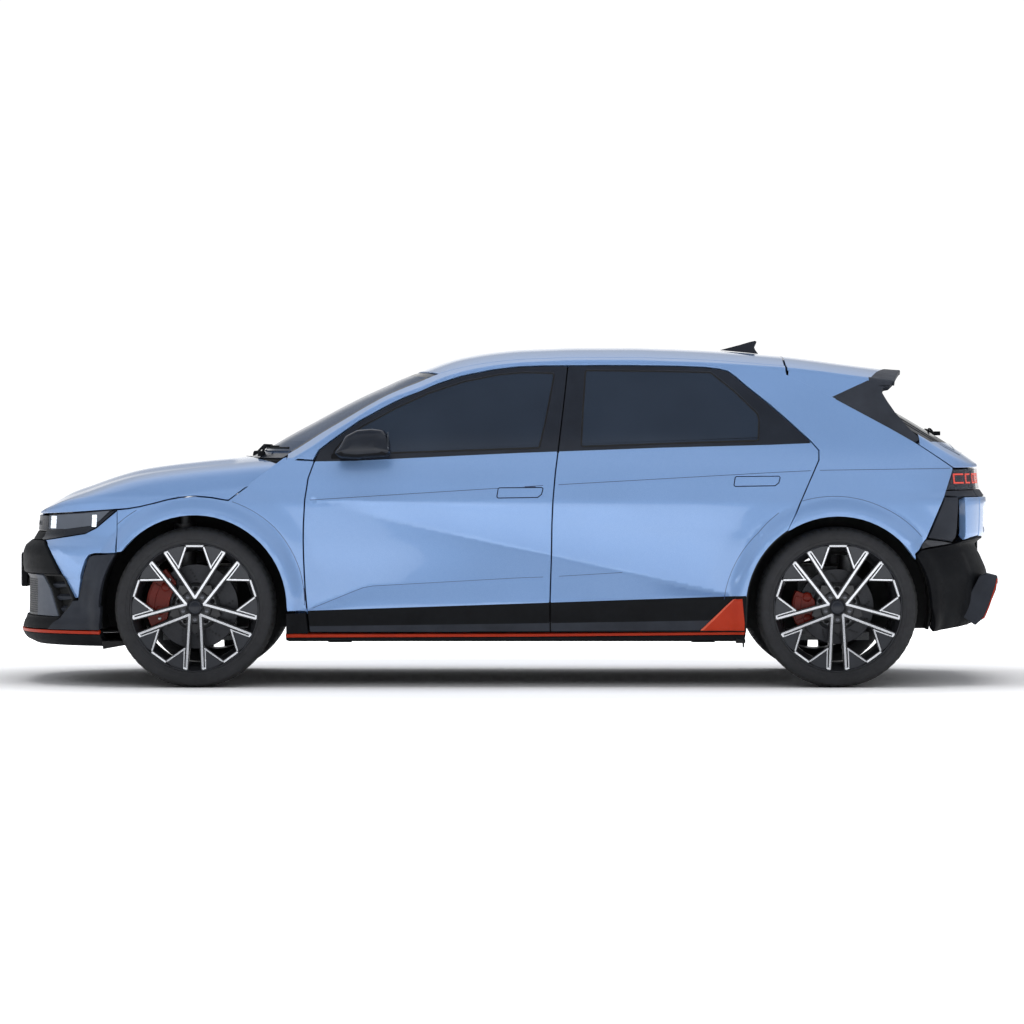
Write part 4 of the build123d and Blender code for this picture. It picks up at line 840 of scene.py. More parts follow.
def side_fn(off=0.0, shaped=True):
    return lambda x, z: (x, -(side(x, z) + (sculpt(x, z) + (gill(x, z) if 1000 < x < 1220 and 430 < z < 760 else 0.0) if shaped else 0.0) + off), z)


SIDE = side_fn()
BODY_MATS = [PAINT, GLOSS, CLAD, CLAD_GREY, ORANGE, LIT_BEVEL_ORANGE_PAINT, CREASE_SHADE_PAINT]


def ribbon(path, w):
    """A narrow area along a path."""
    out, back_ = [], []
    for i, q in enumerate(path):
        a, b = Vector(path[max(0, i - 1)]), Vector(path[min(len(path) - 1, i + 1)])
        d = (b - a).normalized()
        out.append((q[0] - d.y * w / 2, q[1] + d.x * w / 2))
        back_.append((q[0] + d.y * w / 2, q[1] - d.x * w / 2))
    return out + back_[::-1]


def ring_run(cx, pts, n=7):
    """A run of points about a wheel centre through (angle, radius) pairs."""
    out = []
    for (a0, r0), (a1, r1) in zip(pts, pts[1:]):
        out += [(cx + (r0 + (r1 - r0) * k / n) * cos(radians(a0 + (a1 - a0) * k / n)), HUB_Z + (r0 + (r1 - r0) * k / n) * sin(radians(a0 + (a1 - a0) * k / n))) for k in range(n)]
    a, r = pts[-1]
    return out + [(cx + r * cos(radians(a)), HUB_Z + r * sin(radians(a)))]


FRONT_RING = ring_run(AXLE_F, [(70.5, 523), (45, 527), (20, 520), (1, 511)])
FRONT_RING_2 = ring_run(AXLE_F, [(153, 531), (135, 531), (121, 529)])
REAR_RING_D = ring_run(AXLE_R, [(176, 532), (150, 517), (137, 509), (122, 520)], 5)
REAR_RING_Q = ring_run(AXLE_R, [(118, 526), (92, 518), (64, 511), (40, 513)])
HANDLE_F = [(-54, 932), (144, 933.5), (149, 929), (142, 903), (125, 889), (-60, 886), (-65, 891), (-59, 928)]
HANDLE_R = [(1052, 985), (1251, 986.5), (1256, 982), (1249, 956), (1232, 943), (1046, 940), (1041, 945), (1047, 981)]

DOORS = {}
for which, outline, window, handle in (("front", FRONT_DOOR, FRONT_WINDOW, HANDLE_F), ("rear", REAR_DOOR, REAR_WINDOW, HANDLE_R)):
    bodies = (which + "_left_door_body", which + "_right_door_body")
    win = rounded(window, 14)
    hole = rounded(handle, 7)
    creases = [[(x, 855 - 0.2282 * (x + 857)) for x in steps(-840, 990, 40) if (x < 170) == (which == "front") and abs(x - 188) > 20],
               [(x, z_shoulder(x)) for x in (steps(-940, 170, 30) if which == "front" else steps(215, 1380, 30))],
               [(x, z_low_line(x)) for x in (steps(-930, 168, 30) if which == "front" else steps(205, 520, 12))]]
    # zone 6: ribbons of painted crease shade along the shoulder and low line, and on the rear door along the arch
    # crease
    zones = [(SURROUND, 1), (DOOR_CLAD, 2), (GREY_INSERT, 3), (ribbon([(x, z_shoulder(x)) for x in (steps(-938, 150, 24) if which == "front" else steps(222, 1400, 28))], 2.6), 6),
             (ribbon([(x, z_low_line(x)) for x in (steps(-925, 150, 24) if which == "front" else steps(225, 520, 10))], 2.0), 6)]
    if which == "rear":
        zones.append((ribbon(REAR_RING_D, 2.4), 6))
    skin = patch(SIDE, rounded(outline, 10), holes=[win, hole], zones=zones, lines=creases, step=15, gap=2.6, edge=3.2, depth=9)
    pair(which + "_LR_door_skin", skin, bodies, BODY_MATS, hides=([which + "_left_door"], [which + "_right_door"]))
    pane = patch(side_fn(-5.0), win, step=26, gap=0.4, edge=0.6, depth=3.6)
    pair(which + "_LR_door_pane", pane, bodies, [GLASS], hides=([which + "_left_door_glass"], [which + "_right_door_glass"]))
    grip = merge(patch(side_fn(-0.6), hole, step=12, gap=1.4, edge=1.6, depth=7),)
    pair(which + "_LR_door_handle", grip, bodies, [PAINT])
    well = patch(side_fn(-8.5), grow(ccw(hole), 3), step=20, gap=0, edge=0, depth=0)
    pair(which + "_LR_handle_well", well, bodies, [GLOSS])
    seal = patch(side_fn(-4.0, False), grow(ccw(win), 5), holes=[grow(ccw(win), -4)], step=18, gap=0, edge=1.0, depth=9)
    pair(which + "_LR_window_seal", seal, bodies, [SEAL])

    def inner(x, z):
        k = smooth((z - 1030) / 55)
        arm = 26 * smooth((90 - abs(z - 760)) / 55) if which else 0
        return (x, -(side(x, z, False) - (100 + arm * 0.0) * (1 - k) - 46 * k), z)
    card_zones = [([(-1500, 250), (1500, 250), (1500, 470), (-1500, 470)], 1), ([(-1500, 700), (1500, 735), (1500, 850), (-1500, 810)], 2)]
    card_out = rounded([p for p in (grow(ccw(outline), -30))], 16)
    card = patch(inner, card_out, holes=[grow(ccw(win), 3)], zones=card_zones, step=24, gap=0, edge=8, depth=30, face=-1.0)
    pair(which + "_LR_door_card", card, bodies, [CABIN, CABIN_MID, SUEDE])
    x0, x1 = (-760, 60) if which == "front" else (340, 1020)
    rest = patch(lambda x, z: (x, -(side(x, z, False) - 112 - 40 * smooth((z - 640) / 60) * smooth((790 - z) / 30)), z),
                 rounded([(x0, 640), (x1, 660), (x1 - 20, 790), (x0 + 90, 780)], 22), step=18, edge=8, depth=40, face=-1.0)
    pair(which + "_LR_armrest", rest, bodies, [LEATHER])

# ---------------------------------------------------------------- front wings
# zone 6: ribbons of painted crease shade along the front arch crease
wing = patch(SIDE, rounded(FENDER, 5, sharpest=40.0), zones=[(ribbon(FRONT_RING, 2.6), 6), (ribbon(FRONT_RING_2, 2.6), 6)], step=15, gap=2.6, edge=3.2, depth=22, skip=lambda p, q: p[0] < -1838 and q[0] < -1838)
piece("front_fender_skins", wing, "body", BODY_MATS, both=True, hides=["front_fenders"])


# ---------------------------------------------------------------- upper body edge
def soft_min(a, b, k):
    h = max(k - abs(a - b), 0.0) / k
    return min(a, b) - h * h * k * 0.25


def top(x, y):
    """The roof, windscreen and rear glass as one surface."""
    return soft_min(roof(x, y), screen(x, y), 14.0)


def meet(fn, pt, lo, hi):
    """The height at which pt(z) reaches the top surface fn."""
    for _ in range(34):
        m = (lo + hi) / 2
        x, y, z = pt(m)
        if fn(x, y) > z:
            lo = m
        else:
            hi = m
    return (lo + hi) / 2


def top_normal(fn, x, y):
    h = 2.0
    return Vector((-(fn(x + h, y) - fn(x - h, y)) / (2 * h), -(fn(x, y + h) - fn(x, y - h)) / (2 * h), 1)).normalized()


def side_normal(x, z):
    return frame_at(SIDE, x, z)[1]


def over_edge(x, r, y_in, inward=5):
    """A column from the body side over its top edge and in to y_in: points and normals."""
    ze = meet(top, lambda z: (x, -side(x, z), z), 1000, 1640)
    za = ze - r
    a, na = Vector((x, -side(x, za), za)), side_normal(x, za)
    c = Vector((x, -side(x, ze), ze))
    yb = min(c.y + r * 1.3, -y_in - 4)
    b, nb = Vector((x, yb, top(x, yb))), top_normal(top, x, yb)
    col = []
    for k in range(6):
        t = k / 5
        p = a * (1 - t) ** 2 + c * 2 * t * (1 - t) + b * t * t
        col.append((p, (na * (1 - t) + nb * t).normalized()))
    for k in range(1, inward + 1):
        y = yb + (-y_in - yb) * k / inward
        col.append((Vector((x, y, top(x, y))), top_normal(top, x, y)))
    return col, za


def lip_end(col, depth=18):
    """Turns the end of a column down into the car."""
    p, n = col[-1]
    q = col[-2][0]
    o = (p - q).normalized()
    return col + [(p + o * 1.6 - n * 1.0, (n + o).normalized()), (p + o * 2.4 - n * 3.0, o), (p + o * 2.4 - n * depth, o)]


RAIL_X = steps(-1046, 1296, 118)
rail_in = line([-1075, -345, -330, 1300], [779, 600, 601, 601])
cols, upper = [], []
for x in RAIL_X:
    col, za = over_edge(x, 15.0, rail_in(x))
    upper.append((x, za))
    cols.append(lip_end(col))
rail_strip = strip(cols)
side_outline = ([(-1046, 1072), (-925, 1058), (-897, 1109)] + RAIL_FRONT[::-1][1:] + [(269, 1507)] + RAIL_REAR + [(1440, 1108)] + QUARTER[1:]
                + [(1300, 1462)] + upper[::-1])


def on_upper(p, q):
    zs = line([u[0] for u in upper], [u[1] for u in upper])
    return all(-1052 < s[0] < 1300 and s[1] > zs(s[0]) - 6 for s in (p, q))


def raw_edge(x, z):
    return SIDE(x, z)


shut_gap = {}
_o = ccw(side_outline)
for q, g in zip(_o, grow(_o, -5.4)):
    shut_gap[tuple(q)] = g
door_side = set(tuple(q) for q in [(-925, 1058), (-897, 1109), (269, 1507), (1440, 1108), (1439, 1063), (1390, 953), (1330, 818)] + RAIL_FRONT + RAIL_REAR)
side_outline = [shut_gap[tuple(q)] if tuple(q) in door_side else q for q in side_outline]
# zone 6: ribbons of painted crease shade along the shoulder and the rear arch crease
quarter = patch(SIDE, side_outline, step=15, gap=0.0, edge=0.0, depth=0.0, lines=[[(x, z_shoulder(x)) for x in steps(1455, 2040, 20)]],
                zones=[(ribbon([(x, z_shoulder(x)) for x in steps(1442, 2060, 20)], 2.6), 6), (ribbon(REAR_RING_Q, 2.4), 6)])
rim_path = [(-925, 1058), (-897, 1109)] + RAIL_FRONT[::-1][1:] + [(269, 1507)] + RAIL_REAR + [(1440, 1108)] + QUARTER[1:] + [(1300, 1462)]
rim_path = [shut_gap[tuple(q)] if tuple(q) in door_side else q for q in rim_path]


def edge_roll(path, fn, left=True, r=3.0, depth=22.0, step=14.0):
    """A rolled edge along an open path on a surface, on the path's left or right hand."""
    p = dense(path, step, False)
    cols = []
    for i, q in enumerate(p):
        a, b = p[max(0, i - 1)], p[min(len(p) - 1, i + 1)]
        d = Vector((b[0] - a[0], b[1] - a[1])).normalized()
        w = Vector((-d.y, d.x)) if left else Vector((d.y, -d.x))
        pt, n, du, dv = frame_at(fn, *q)
        o = du * w.x + dv * w.y
        o = (o - n * o.dot(n)).normalized()
        col = [(pt, n)]
        for k in range(1, 4):
            th = pi / 2 * k / 3
            col.append((pt + o * r * sin(th) - n * r * (1 - cos(th)), (n * cos(th) + o * sin(th)).normalized()))
        col.append((col[-1][0] - n * depth, o))
        cols.append(col)
    return strip(cols)


rolled = edge_roll(rim_path, SIDE, left=area2(side_outline) < 0)
piece("body_side_skins", merge(quarter, rolled, rail_strip), "body", BODY_MATS, both=True, hides=["body_sides"])

# inner door frames, sills and pillars
FRAME_OUT = [(-1008, 262), (-1008, 1040), (-925, 1092), (-842, 1172), (-712, 1264), (-558, 1348), (-404, 1416), (-237, 1472), (-70, 1504), (43, 1514), (552, 1518), (975, 1506),
             (1120, 1418), (1500, 1180), (1500, 800)] + arc(AXLE_R, 450, 92, 180, 12) + [(1066, 262)]
f_open, r_open = grow(ccw(FRONT_DOOR), -26), grow(ccw(REAR_DOOR), -26)


def frame_fn(d):
    return lambda x, z: (x, -(side(x, z, False) - d), z)


ringed = patch(frame_fn(64), FRAME_OUT, holes=[f_open, r_open], step=24, gap=-1.0, edge=4, depth=44)
lining = patch(frame_fn(110), FRAME_OUT, holes=[f_open, r_open], step=24, gap=-1.0, edge=6, depth=10, face=-1.0)
piece("door_frames", ringed, "body", [PAINT_IN], both=True)
piece("pillar_linings", lining, "body", [CABIN_MID], both=True)
behind = patch(side_fn(-40.0, False), grow(ccw(rounded(REAR_DOOR[:12] + REAR_DOOR[12:], 4)), 6), holes=[grow(ccw(REAR_DOOR), -6)], step=30, edge=0, depth=0)
behind_f = patch(side_fn(-40.0, False), grow(ccw(FRONT_DOOR), 6), holes=[grow(ccw(FRONT_DOOR), -6)], step=30, edge=0, depth=0)
piece("door_gap_seals", merge(behind, behind_f), "body", [SEAL], both=True)

# ---------------------------------------------------------------- roof, windscreen
roof_edge = [(-455, 0)] + [(-455 + 200 * (y / 800) ** 2, -y) for y in steps(60, 599, 9)] + [(1296, -599)]
roof_full = roof_edge + [(x, -y) for x, y in roof_edge[:0:-1]]
TOP = lambda x, y: (x, y, top(x, y))
panel_roof = patch(TOP, rounded(roof_full, 10), step=26, gap=2.5, edge=3.0, depth=16)
piece("roof_skin", panel_roof, "body", [PAINT], hides=["roof_panel"])
headliner = patch(lambda x, y: (x, y, top(x, y) - 34), [(-420, -590), (1296, -590), (1296, 590), (-420, 590)], step=50, edge=4, depth=12, face=-1.0)
piece("headliner", headliner, "body", [SUEDE])
screen_low = [(-1262 + 200 * (y / 800) ** 2, -y) for y in [0] + steps(60, 775, 10)]
screen_high = [(-462 + 200 * (y / 800) ** 2, -y) for y in steps(590, 0, 8)]
screen_edge = screen_low + [(-345, -592)] + screen_high
screen_full = screen_edge + [(x, -y) for x, y in screen_edge[-2:0:-1]]
SCR = lambda x, y: (x, y, soft_min(screen(x, y), roof(x, y), 14.0) - 3.0)
sf = rounded(ccw(screen_full), 20)
glass = patch(SCR, sf, zones=[(sf, 1), (grow(sf, -38), 0)], step=24, gap=1.5, edge=1.5, depth=4)
piece("windscreen", glass, "body", [SCREEN, GLOSS], hides=["windshield"])
cowl = [(-1290 + 200 * (y / 800) ** 2, -y) for y in steps(0, 800, 14)]
cowl_full = cowl + [(x + 70, y) for x, y in cowl[::-1]]
cw = patch(lambda x, y: (x, y, screen(x, y) - 12.0 - 14 * smooth((-1215 + 200 * (y / 800) ** 2 - x) / 60)), cowl_full, step=16, edge=0, depth=0)
piece("windscreen_cowl", cw, "body", [CLAD], both=True)

# ================================================================ hood
cut_z = line([p[0] for p in HOOD_CUT], [p[1] for p in HOOD_CUT])


def shell_half(end, top_fn, u_list, cut, r_max, rows_mm=16.0, lip=14.0, gap=2.6, inset=0.0):
    """Columns from a top surface over its rounded edge and down the body side to the cut line, and the plan outline where they start."""
    cols, plan = [], []
    for u in u_list:
        ze = meet(top_fn, lambda z: end(u, z), 640, 1640)
        x, y, _ = end(u, ze)
        zc = cut(x, y) + gap
        r = min(r_max, max(3.0, (ze - zc) * 0.5))
        za = ze - r
        if za < zc + 1.0:
            za = zc + 1.0
        a, na, _, _ = frame_at(end, u, za)
        c = Vector(end(u, ze))
        flat = Vector((na.x, na.y, 0)).normalized()
        b2 = c - flat * (r * 1.25)
        b2.y = min(b2.y, 0.0) if u > 0 else b2.y
        b = Vector((b2.x, b2.y, top_fn(b2.x, b2.y)))
        nb = top_normal(top_fn, b.x, b.y)
        col = []
        for k in range(6):
            t = k / 5
            p = b * (1 - t) ** 2 + c * 2 * t * (1 - t) + a * t * t
            col.append((p, (nb * (1 - t) + na * t).normalized()))
        n = max(1, int((za - zc) / rows_mm))
        n = 7
        for k in range(1, n + 1):
            z = za + (zc + 2.6 - za) * k / n
            p, nn, _, _ = frame_at(end, u, z)
            col.append((p, nn))
        p, nn = col[-1]
        dn = Vector((0, 0, -1))
        col.append((p + dn * 1.8 - nn * 0.8, (nn + dn).normalized()))
        col.append((p + dn * 2.6 - nn * 2.6, dn))
        col.append((p + dn * 2.6 - nn * lip, dn))
        cols.append(col)
        plan.append((b.x, b.y))
    return cols, plan


hood_rear_x = lambda y: -1284 + 200 * (y / 800) ** 2
u_rear = nose.u_of(-1048, 1060)
hood_u = [0.0] + [nose.end * t for t in steps(0.02, 0.99, 44)] + steps(nose.end + 4, u_rear, 34)
HOODZ = lambda x, y: hood_top(x, y)
cols, plan = shell_half(nose, HOODZ, hood_u, lambda x, y: max(cut_z(x), 797.0), 24.0)
plan = [p for p in plan if p[0] < hood_rear_x(p[1]) + 400]
rear_run = [(hood_rear_x(y), -y) for y in steps(0, 850, 22)]
rear_run = [p for p in rear_run if p[1] > plan[-1][1] + 12]
hood_plan = [(plan[0][0], 0.0)] + plan[1:] + rear_run[::-1]


def hood_shape(x, y):
    """The hood's two raised folds and its hollow middle."""
    ay = abs(y)
    w = 430 + 0.16 * (x + 1300)
    k = smooth((x + 2210) / 160) * smooth((-1290 - x) / 40)
    return k * (5.0 * smooth((ay - w + 50) / 60) * smooth((w + 240 - ay) / 200) - 4.0 * (1 - smooth((ay - 90) / 160)))


def hood_skin_z(x, y):
    far = min(1.0, min(hypot(x - p[0], y - p[1]) for p in plan[::3]) / 60.0)
    return hood_top(x, y) + hood_shape(x, y) * smooth(far)


on_edge = lambda p, q: not (p[0] > -1290 + 200 * (p[1] / 800) ** 2 - 8 and q[0] > -1290 + 200 * (q[1] / 800) ** 2 - 8)
hood_patch = patch(lambda x, y: (x, y, hood_skin_z(x, y)), hood_plan, step=22, gap=0, edge=0, depth=0)
hood_back = edge_roll([(x, y) for x, y in rear_run], lambda x, y: (x, y, hood_skin_z(x, y)), left=False, r=3, depth=20)
hood_all = merge(hood_patch, strip(cols), hood_back)
piece("hood_skin", hood_all, "hood_body", [PAINT], both=True, hides=["hood"])
under = patch(lambda x, y: (x, y, hood_top(x, y) - 24), [(p[0] * 0.985 - 28, p[1] * 0.93) for p in hood_plan], step=40, gap=6, edge=4, depth=12, face=-1.0,
              zones=[([(-2100, -720), (-1420, -720), (-1420, 0), (-2100, 0)], 1)])
piece("hood_liner", under, "hood_body", [PAINT_IN, UNDER], both=True)

# ================================================================ front end


plan_ref = curve([185, 217, 250, 294, 315, 500, 517, 550, 607, 650, 680, 705, 760, 800, 860, 1100],
                 [2285, 2345, 2360, 2350, 2338, 2335, 2345, 2356, 2357, 2346, 2312, 2286, 2278, 2275, 2272, 2265])
nose_ref = End(plan_ref, NOSE_XC, 3.3, -1)


def seen(p):
    """Where a point stands in the side view, with the distance of the eye allowed for."""
    k = 22000.0 / (22955.0 + p[1])
    return ((p[0] - 5.4) * k, (p[2] - 1155.0) * k)


def on_nose(points):
    out = []
    for x, z in points:
        goal = seen(nose_ref(nose_ref.u_of(x, z), z))
        u, zz = nose.u_of(x, z), z
        for _ in range(3):
            lo_u, hi_u = 0.0, nose.end + 500.0
            for _ in range(30):
                m = (lo_u + hi_u) / 2
                if seen(nose(m, zz))[0] < goal[0]:
                    lo_u = m
                else:
                    hi_u = m
            u = (lo_u + hi_u) / 2
            k = 22000.0 / (22955.0 + nose(u, zz)[1])
            zz = 1155.0 + goal[1] / k
        out.append((u, zz))
    return out


def nose_fn(off=0.0, shape=None):
    return lambda u, z: nose(u, z, off + (shape(u, z) if shape else 0.0))


u597 = nose.u_at_y(597, 740)
LAMP_LOW = [(-2203, 721), (-2182, 731), (-2082, 735.6), (-1957, 752.5), (-1919, 779), (-1871, 824)]
lamp_poly = [(nose.u_at_y(592, 721), 722)] + on_nose(LAMP_LOW[1:]) + on_nose([(-1862, 828), (-2000, 816), (-2100, 809)]) + [(nose.u_at_y(592, 800), 800)]
bezel_poly = [(nose.u_at_y(560, 700), 686)] + on_nose(BEZEL_LOW[2:]) + on_nose([(-1845, 829), (-1871, 822)] + LAMP_LOW[::-1][1:-1]) + [(nose.u_at_y(560, 720), 722)]
lens = patch(nose_fn(-1.0), lamp_poly, step=18, gap=1.5, edge=2.0, depth=6)
piece("headlamp_lenses", lens, "body", [HEAD_LENS], both=True, hides=["headlamps"])
bowl = patch(nose_fn(-22.0), grow(ccw(lamp_poly), -3), step=22, edge=0, depth=0)
rim_in = patch(nose_fn(-1.0), grow(ccw(lamp_poly), 1), holes=[grow(ccw(lamp_poly), -4)], step=16, edge=0.5, depth=24)
piece("headlamp_bowls", bowl, "body", [LAMP_IN], both=True)
piece("headlamp_bezels", merge(rim_in, patch(nose_fn(0.0), bezel_poly, step=18, gap=1.0, edge=2.0, depth=14)), "body", [GLOSS], both=True)


def nose_frame(name, u0, u1, z0, z1, w, off, mat, end=nose, thick=3.0, both=True, body="body"):
    """A square lamp frame on the nose or tail."""
    fn = lambda u, z: end(u, z, off)
    outer = [(u0, z0), (u1, z0), (u1, z1), (u0, z1)]
    holes = [[(u0 + w, z0 + w), (u1 - w, z0 + w), (u1 - w, z1 - w), (u0 + w, z1 - w)]] if u1 - u0 > 2.2 * w and z1 - z0 > 2.2 * w else []
    return patch(fn, outer, holes=holes, step=14, edge=0.8, depth=thick)


drl = []
for (xa, xb, za, zb) in ((-2174, -2146, 738, 798), (-1962, -1940, 748, 806)):
    ua, ub = nose.u_of(xa, 766), nose.u_of(xb, 766)
    ua, ub = min(ua, ub), max(ua, ub)
    for k in range(3):
        drl.append(nose_frame("drl", ua, ub, za + (zb - za) * k / 3 + 1, za + (zb - za) * (k + 1) / 3 - 1, 30, 0.6, DRL, thick=3))
ua = nose.u_of(-2112, 766)
ub = nose.u_of(-1944, 766)
piece("daytime_lamps", merge(*drl), "body", [DRL], both=True)
proj = []
uc0, uc1 = min(ua, ub) + 18, max(ua, ub) - 18
for k in range(2):
    a = uc0 + (uc1 - uc0) * k / 2 + 6
    b = uc0 + (uc1 - uc0) * (k + 1) / 2 - 6
    proj.append(nose_frame("p", a, b, 752, 790, 3, -14.0, LAMP_IN, thick=6))
piece("headlamp_projector_frames", merge(*proj), "body", [CLAD_GREY], both=True)

brow = patch(nose_fn(0.0), [(-nose.u_at_y(590, 740), 724), (nose.u_at_y(590, 740), 724), (nose.u_at_y(590, 740), 798), (-nose.u_at_y(590, 740), 798)], step=20, gap=1.5, edge=2.0, depth=16)
piece("nose_band", brow, "body", [GLOSS])
pix = []
for k in range(-13, 14):
    pix.append(nose_frame("x", k * 36.0 - 11, k * 36.0 + 11, 750, 772, 4, 0.6, GLOSS, thick=1.5))
piece("nose_band_tiles", merge(*pix), "body", [CLAD_GREY])

mask_edge = on_nose(dense([(-2200, 684), (-2133, 550.6), (-2117, 522)], 20, False))
mask_poly = [(-mask_edge[0][0], 684), (mask_edge[0][0], 684)] + mask_edge[1:-1] + [(mask_edge[-1][0], 522), (-mask_edge[-1][0], 522)] + [(-u, z) for u, z in mask_edge[-2:0:-1]]
mask_top = [(-nose.u_at_y(560, 700), 722), (nose.u_at_y(560, 700), 722), (nose.u_at_y(560, 700), 686), (-nose.u_at_y(560, 700), 686)]
piece("front_mask", merge(patch(nose_fn(0.0), mask_poly, step=18, gap=1.2, edge=6.0, depth=26), patch(nose_fn(0.0), mask_top, step=18, gap=0.6, edge=2.0, depth=14)), "body", [CLAD],
      hides=["front_bumper"])


def tri_shape(u, z):
    x = nose(u, z)[0]
    s = (x + 2014) * -0.606 + (z - 560) * -0.797
    return -0.17 * max(0.0, s) - 0.0 if s > 0 else 0.02 * s * 0.4


TRI = ([(-2196, 684.5)] + [(x, z - 2.5) for x, z in BEZEL_LOW[3:-1]] + [(-1838.5, 827), (-1838.5, 629), (-1951.5, 624.6), (-1975, 617), (-1989.8, 595), (-2013.7, 527), (-2040, 413), (-2058, 413), (-2133, 552)])
tri_line = [(nose.u_of(-2178, 684), 684), (nose.u_of(-2014, 560), 560)]
piece("front_corner_panels", patch(nose_fn(0.0, tri_shape), on_nose(dense(TRI, 22)), lines=[tri_line], step=13, gap=1.6, edge=3.0, depth=20), "body", [PAINT], both=True)

CORNER = [(-1847, 625), (-1949, 617), (-1971, 610), (-1983, 591), (-2006, 525), (-2033, 404), (-2064, 402), (-2090, 362), (-2118, 322), (-2150, 300), (-2180, 264), (-1914, 264), (-1906, 375)] + arc(AXLE_F, ARCH_R + 13, 180, 146, 12)


def corner_shape(u, z):
    x = nose(u, z)[0]
    ridge = -2064 + (x - x)
    d = (x + 2010 + (404 - z) * 0.35)
    return -10.0 * smooth((z - 330) / 50) * smooth((-(x + 1985) - (430 - z) * 0.1) / 40) + 7.0 * smooth((340 - z) / 60)


piece("front_corner_cladding", patch(nose_fn(0.0, corner_shape), on_nose(dense(CORNER, 22)), step=14, gap=1.0, edge=3.5, depth=26), "body", [CLAD_GREY], both=True)

# mesh grille: sheet, perforations and frame
g_edge = on_nose(dense([(-2210, 519), (-2196, 504), (-2168, 456), (-2128, 326)], 24, False))
u560 = nose.u_at_y(575, 420)
grille_poly = [(0.0, 519), (u560, 519), (u560, 326), (0.0, 326)]
gs = patch(nose_fn(-1.0), [(u560 + 2, 520)] + g_edge + [(u560 + 2, 326)], step=16, gap=0.6, edge=4.0, depth=30)
piece("grille_side_panels", gs, "body", [GRILLE_GREY], both=True)
sheet = patch(nose_fn(-10.0), grille_poly, step=18, edge=0, depth=0)
dots_v, dots_f, dots_n = [], [], []
pitch = 12.0
gp = ccw(grow(ccw(grille_poly), -5))
cand = [(i * pitch + (pitch / 2 if j % 2 else 0), 330 + j * pitch * 0.86) for j in range(18) for i in range(0, 110)]
ok = inside(cand, gp)
for (u, z), good in zip(cand, ok):
    if not good:
        continue
    p, n, du, dv = frame_at(nose_fn(-9.6), u, z)
    e1, e2 = du.normalized(), dv.normalized()
    k = len(dots_v)
    for a in range(6):
        dots_v.append(p + (e1 * cos(a * pi / 3) + e2 * sin(a * pi / 3)) * 3.6)
        dots_n.append(n)
    f = tuple(range(k, k + 6))
    if (dots_v[k + 1] - dots_v[k]).cross(dots_v[k + 2] - dots_v[k]).dot(n) < 0:
        f = f[::-1]
    dots_f.append(f)
piece("grille_mesh_sheet", sheet, "body", [MESH], both=True, hides=["front_grille"])
piece("grille_perforations", (dots_v, dots_f, dots_n, [0] * len(dots_f)), "body", [UNDER], both=True)

# air curtain: dark well with two fins
curtain = on_nose([(-2205, 521), (-2118, 521), (-2060, 412), (-2062, 402), (-2088, 362), (-2116, 322), (-2124, 322), (-2166, 456), (-2194, 504)])
well = patch(nose_fn(-46.0), curtain, step=20, edge=0, depth=0)
wall = patch(nose_fn(-8.0), grow(ccw(curtain), 3), holes=[grow(ccw(curtain), -5)], step=14, edge=1.5, depth=40)
piece("air_curtain_wells", merge(well, wall), "body", [UNDER], both=True)
fins = []
for z0, xa, xb in ((470, -2176, -2092), (412, -2156, -2066), (356, -2136, -2092)):
    ua, ub = nose.u_of(xa, z0), nose.u_of(xb, z0)
    fins.append(patch(lambda u, z, z0=z0: nose(u, z, -12.0 - 0.5 * (z0 + 20 - z)), [(min(ua, ub), z0 - 14), (max(ua, ub), z0 - 4), (max(ua, ub), z0 + 9), (min(ua, ub), z0 + 6)], step=10, edge=2.0, depth=22))
piece("air_curtain_fins", merge(*fins), "body", [CLAD_GREY], both=True)

lip_end_u = nose.u_of(-1914, 262)
lip_top = patch(nose_fn(0.0), [(-nose.u_of(-2176, 300), 264), (nose.u_of(-2176, 300), 264), (nose.u_of(-2150, 300), 302), (nose.u_of(-2120, 324), 324), (-nose.u_of(-2120, 324), 324), (-nose.u_of(-2150, 300), 302)], step=16, gap=0.5, edge=3.0, depth=26)
piece("front_lip", lip_top, "body", [CLAD])
oz = lambda u: 257.0 + 3.0 * smooth(abs(u) / lip_end_u)
orange = patch(nose_fn(2.2), [(-lip_end_u, 244), (lip_end_u, 244), (lip_end_u, 260), (-lip_end_u, 260)], step=14, gap=0.5, edge=2.0, depth=10)
piece("front_orange_line", orange, "body", [ORANGE])
split = patch(nose_fn(0.0), [(-lip_end_u, 187), (lip_end_u, 187), (lip_end_u, 243), (-lip_end_u, 243)], step=14, gap=0.5, edge=2.0, depth=24)
tray_out = [nose(u, 187)[:2] for u in steps(-lip_end_u, lip_end_u, 61)]
tray = patch(lambda x, y: (x, y, 188.5), tray_out, step=60, gap=4, edge=0, depth=0, face=-1.0)
piece("front_splitter_blade", merge(split, tray), "body", [CLAD], hides=["front_splitter"])

# dark backing behind the front openings
backing = patch(nose_fn(-58.0), [(-nose.end - 60, 200), (nose.end + 60, 200), (nose.end + 60, 700), (nose.end - 40, 780), (-nose.end + 40, 780), (-nose.end - 60, 700)], step=50, edge=0, depth=0)
V, F, N, MI = backing
keepf = [(f, m) for f, m in zip(F, MI) if all(V[i].x < -1925 or (V[i].x < -1880 and V[i].z > 640) for i in f)]
piece("nose_backing", (V, [f for f, _ in keepf], N, [m for _, m in keepf]), "body", [UNDER])

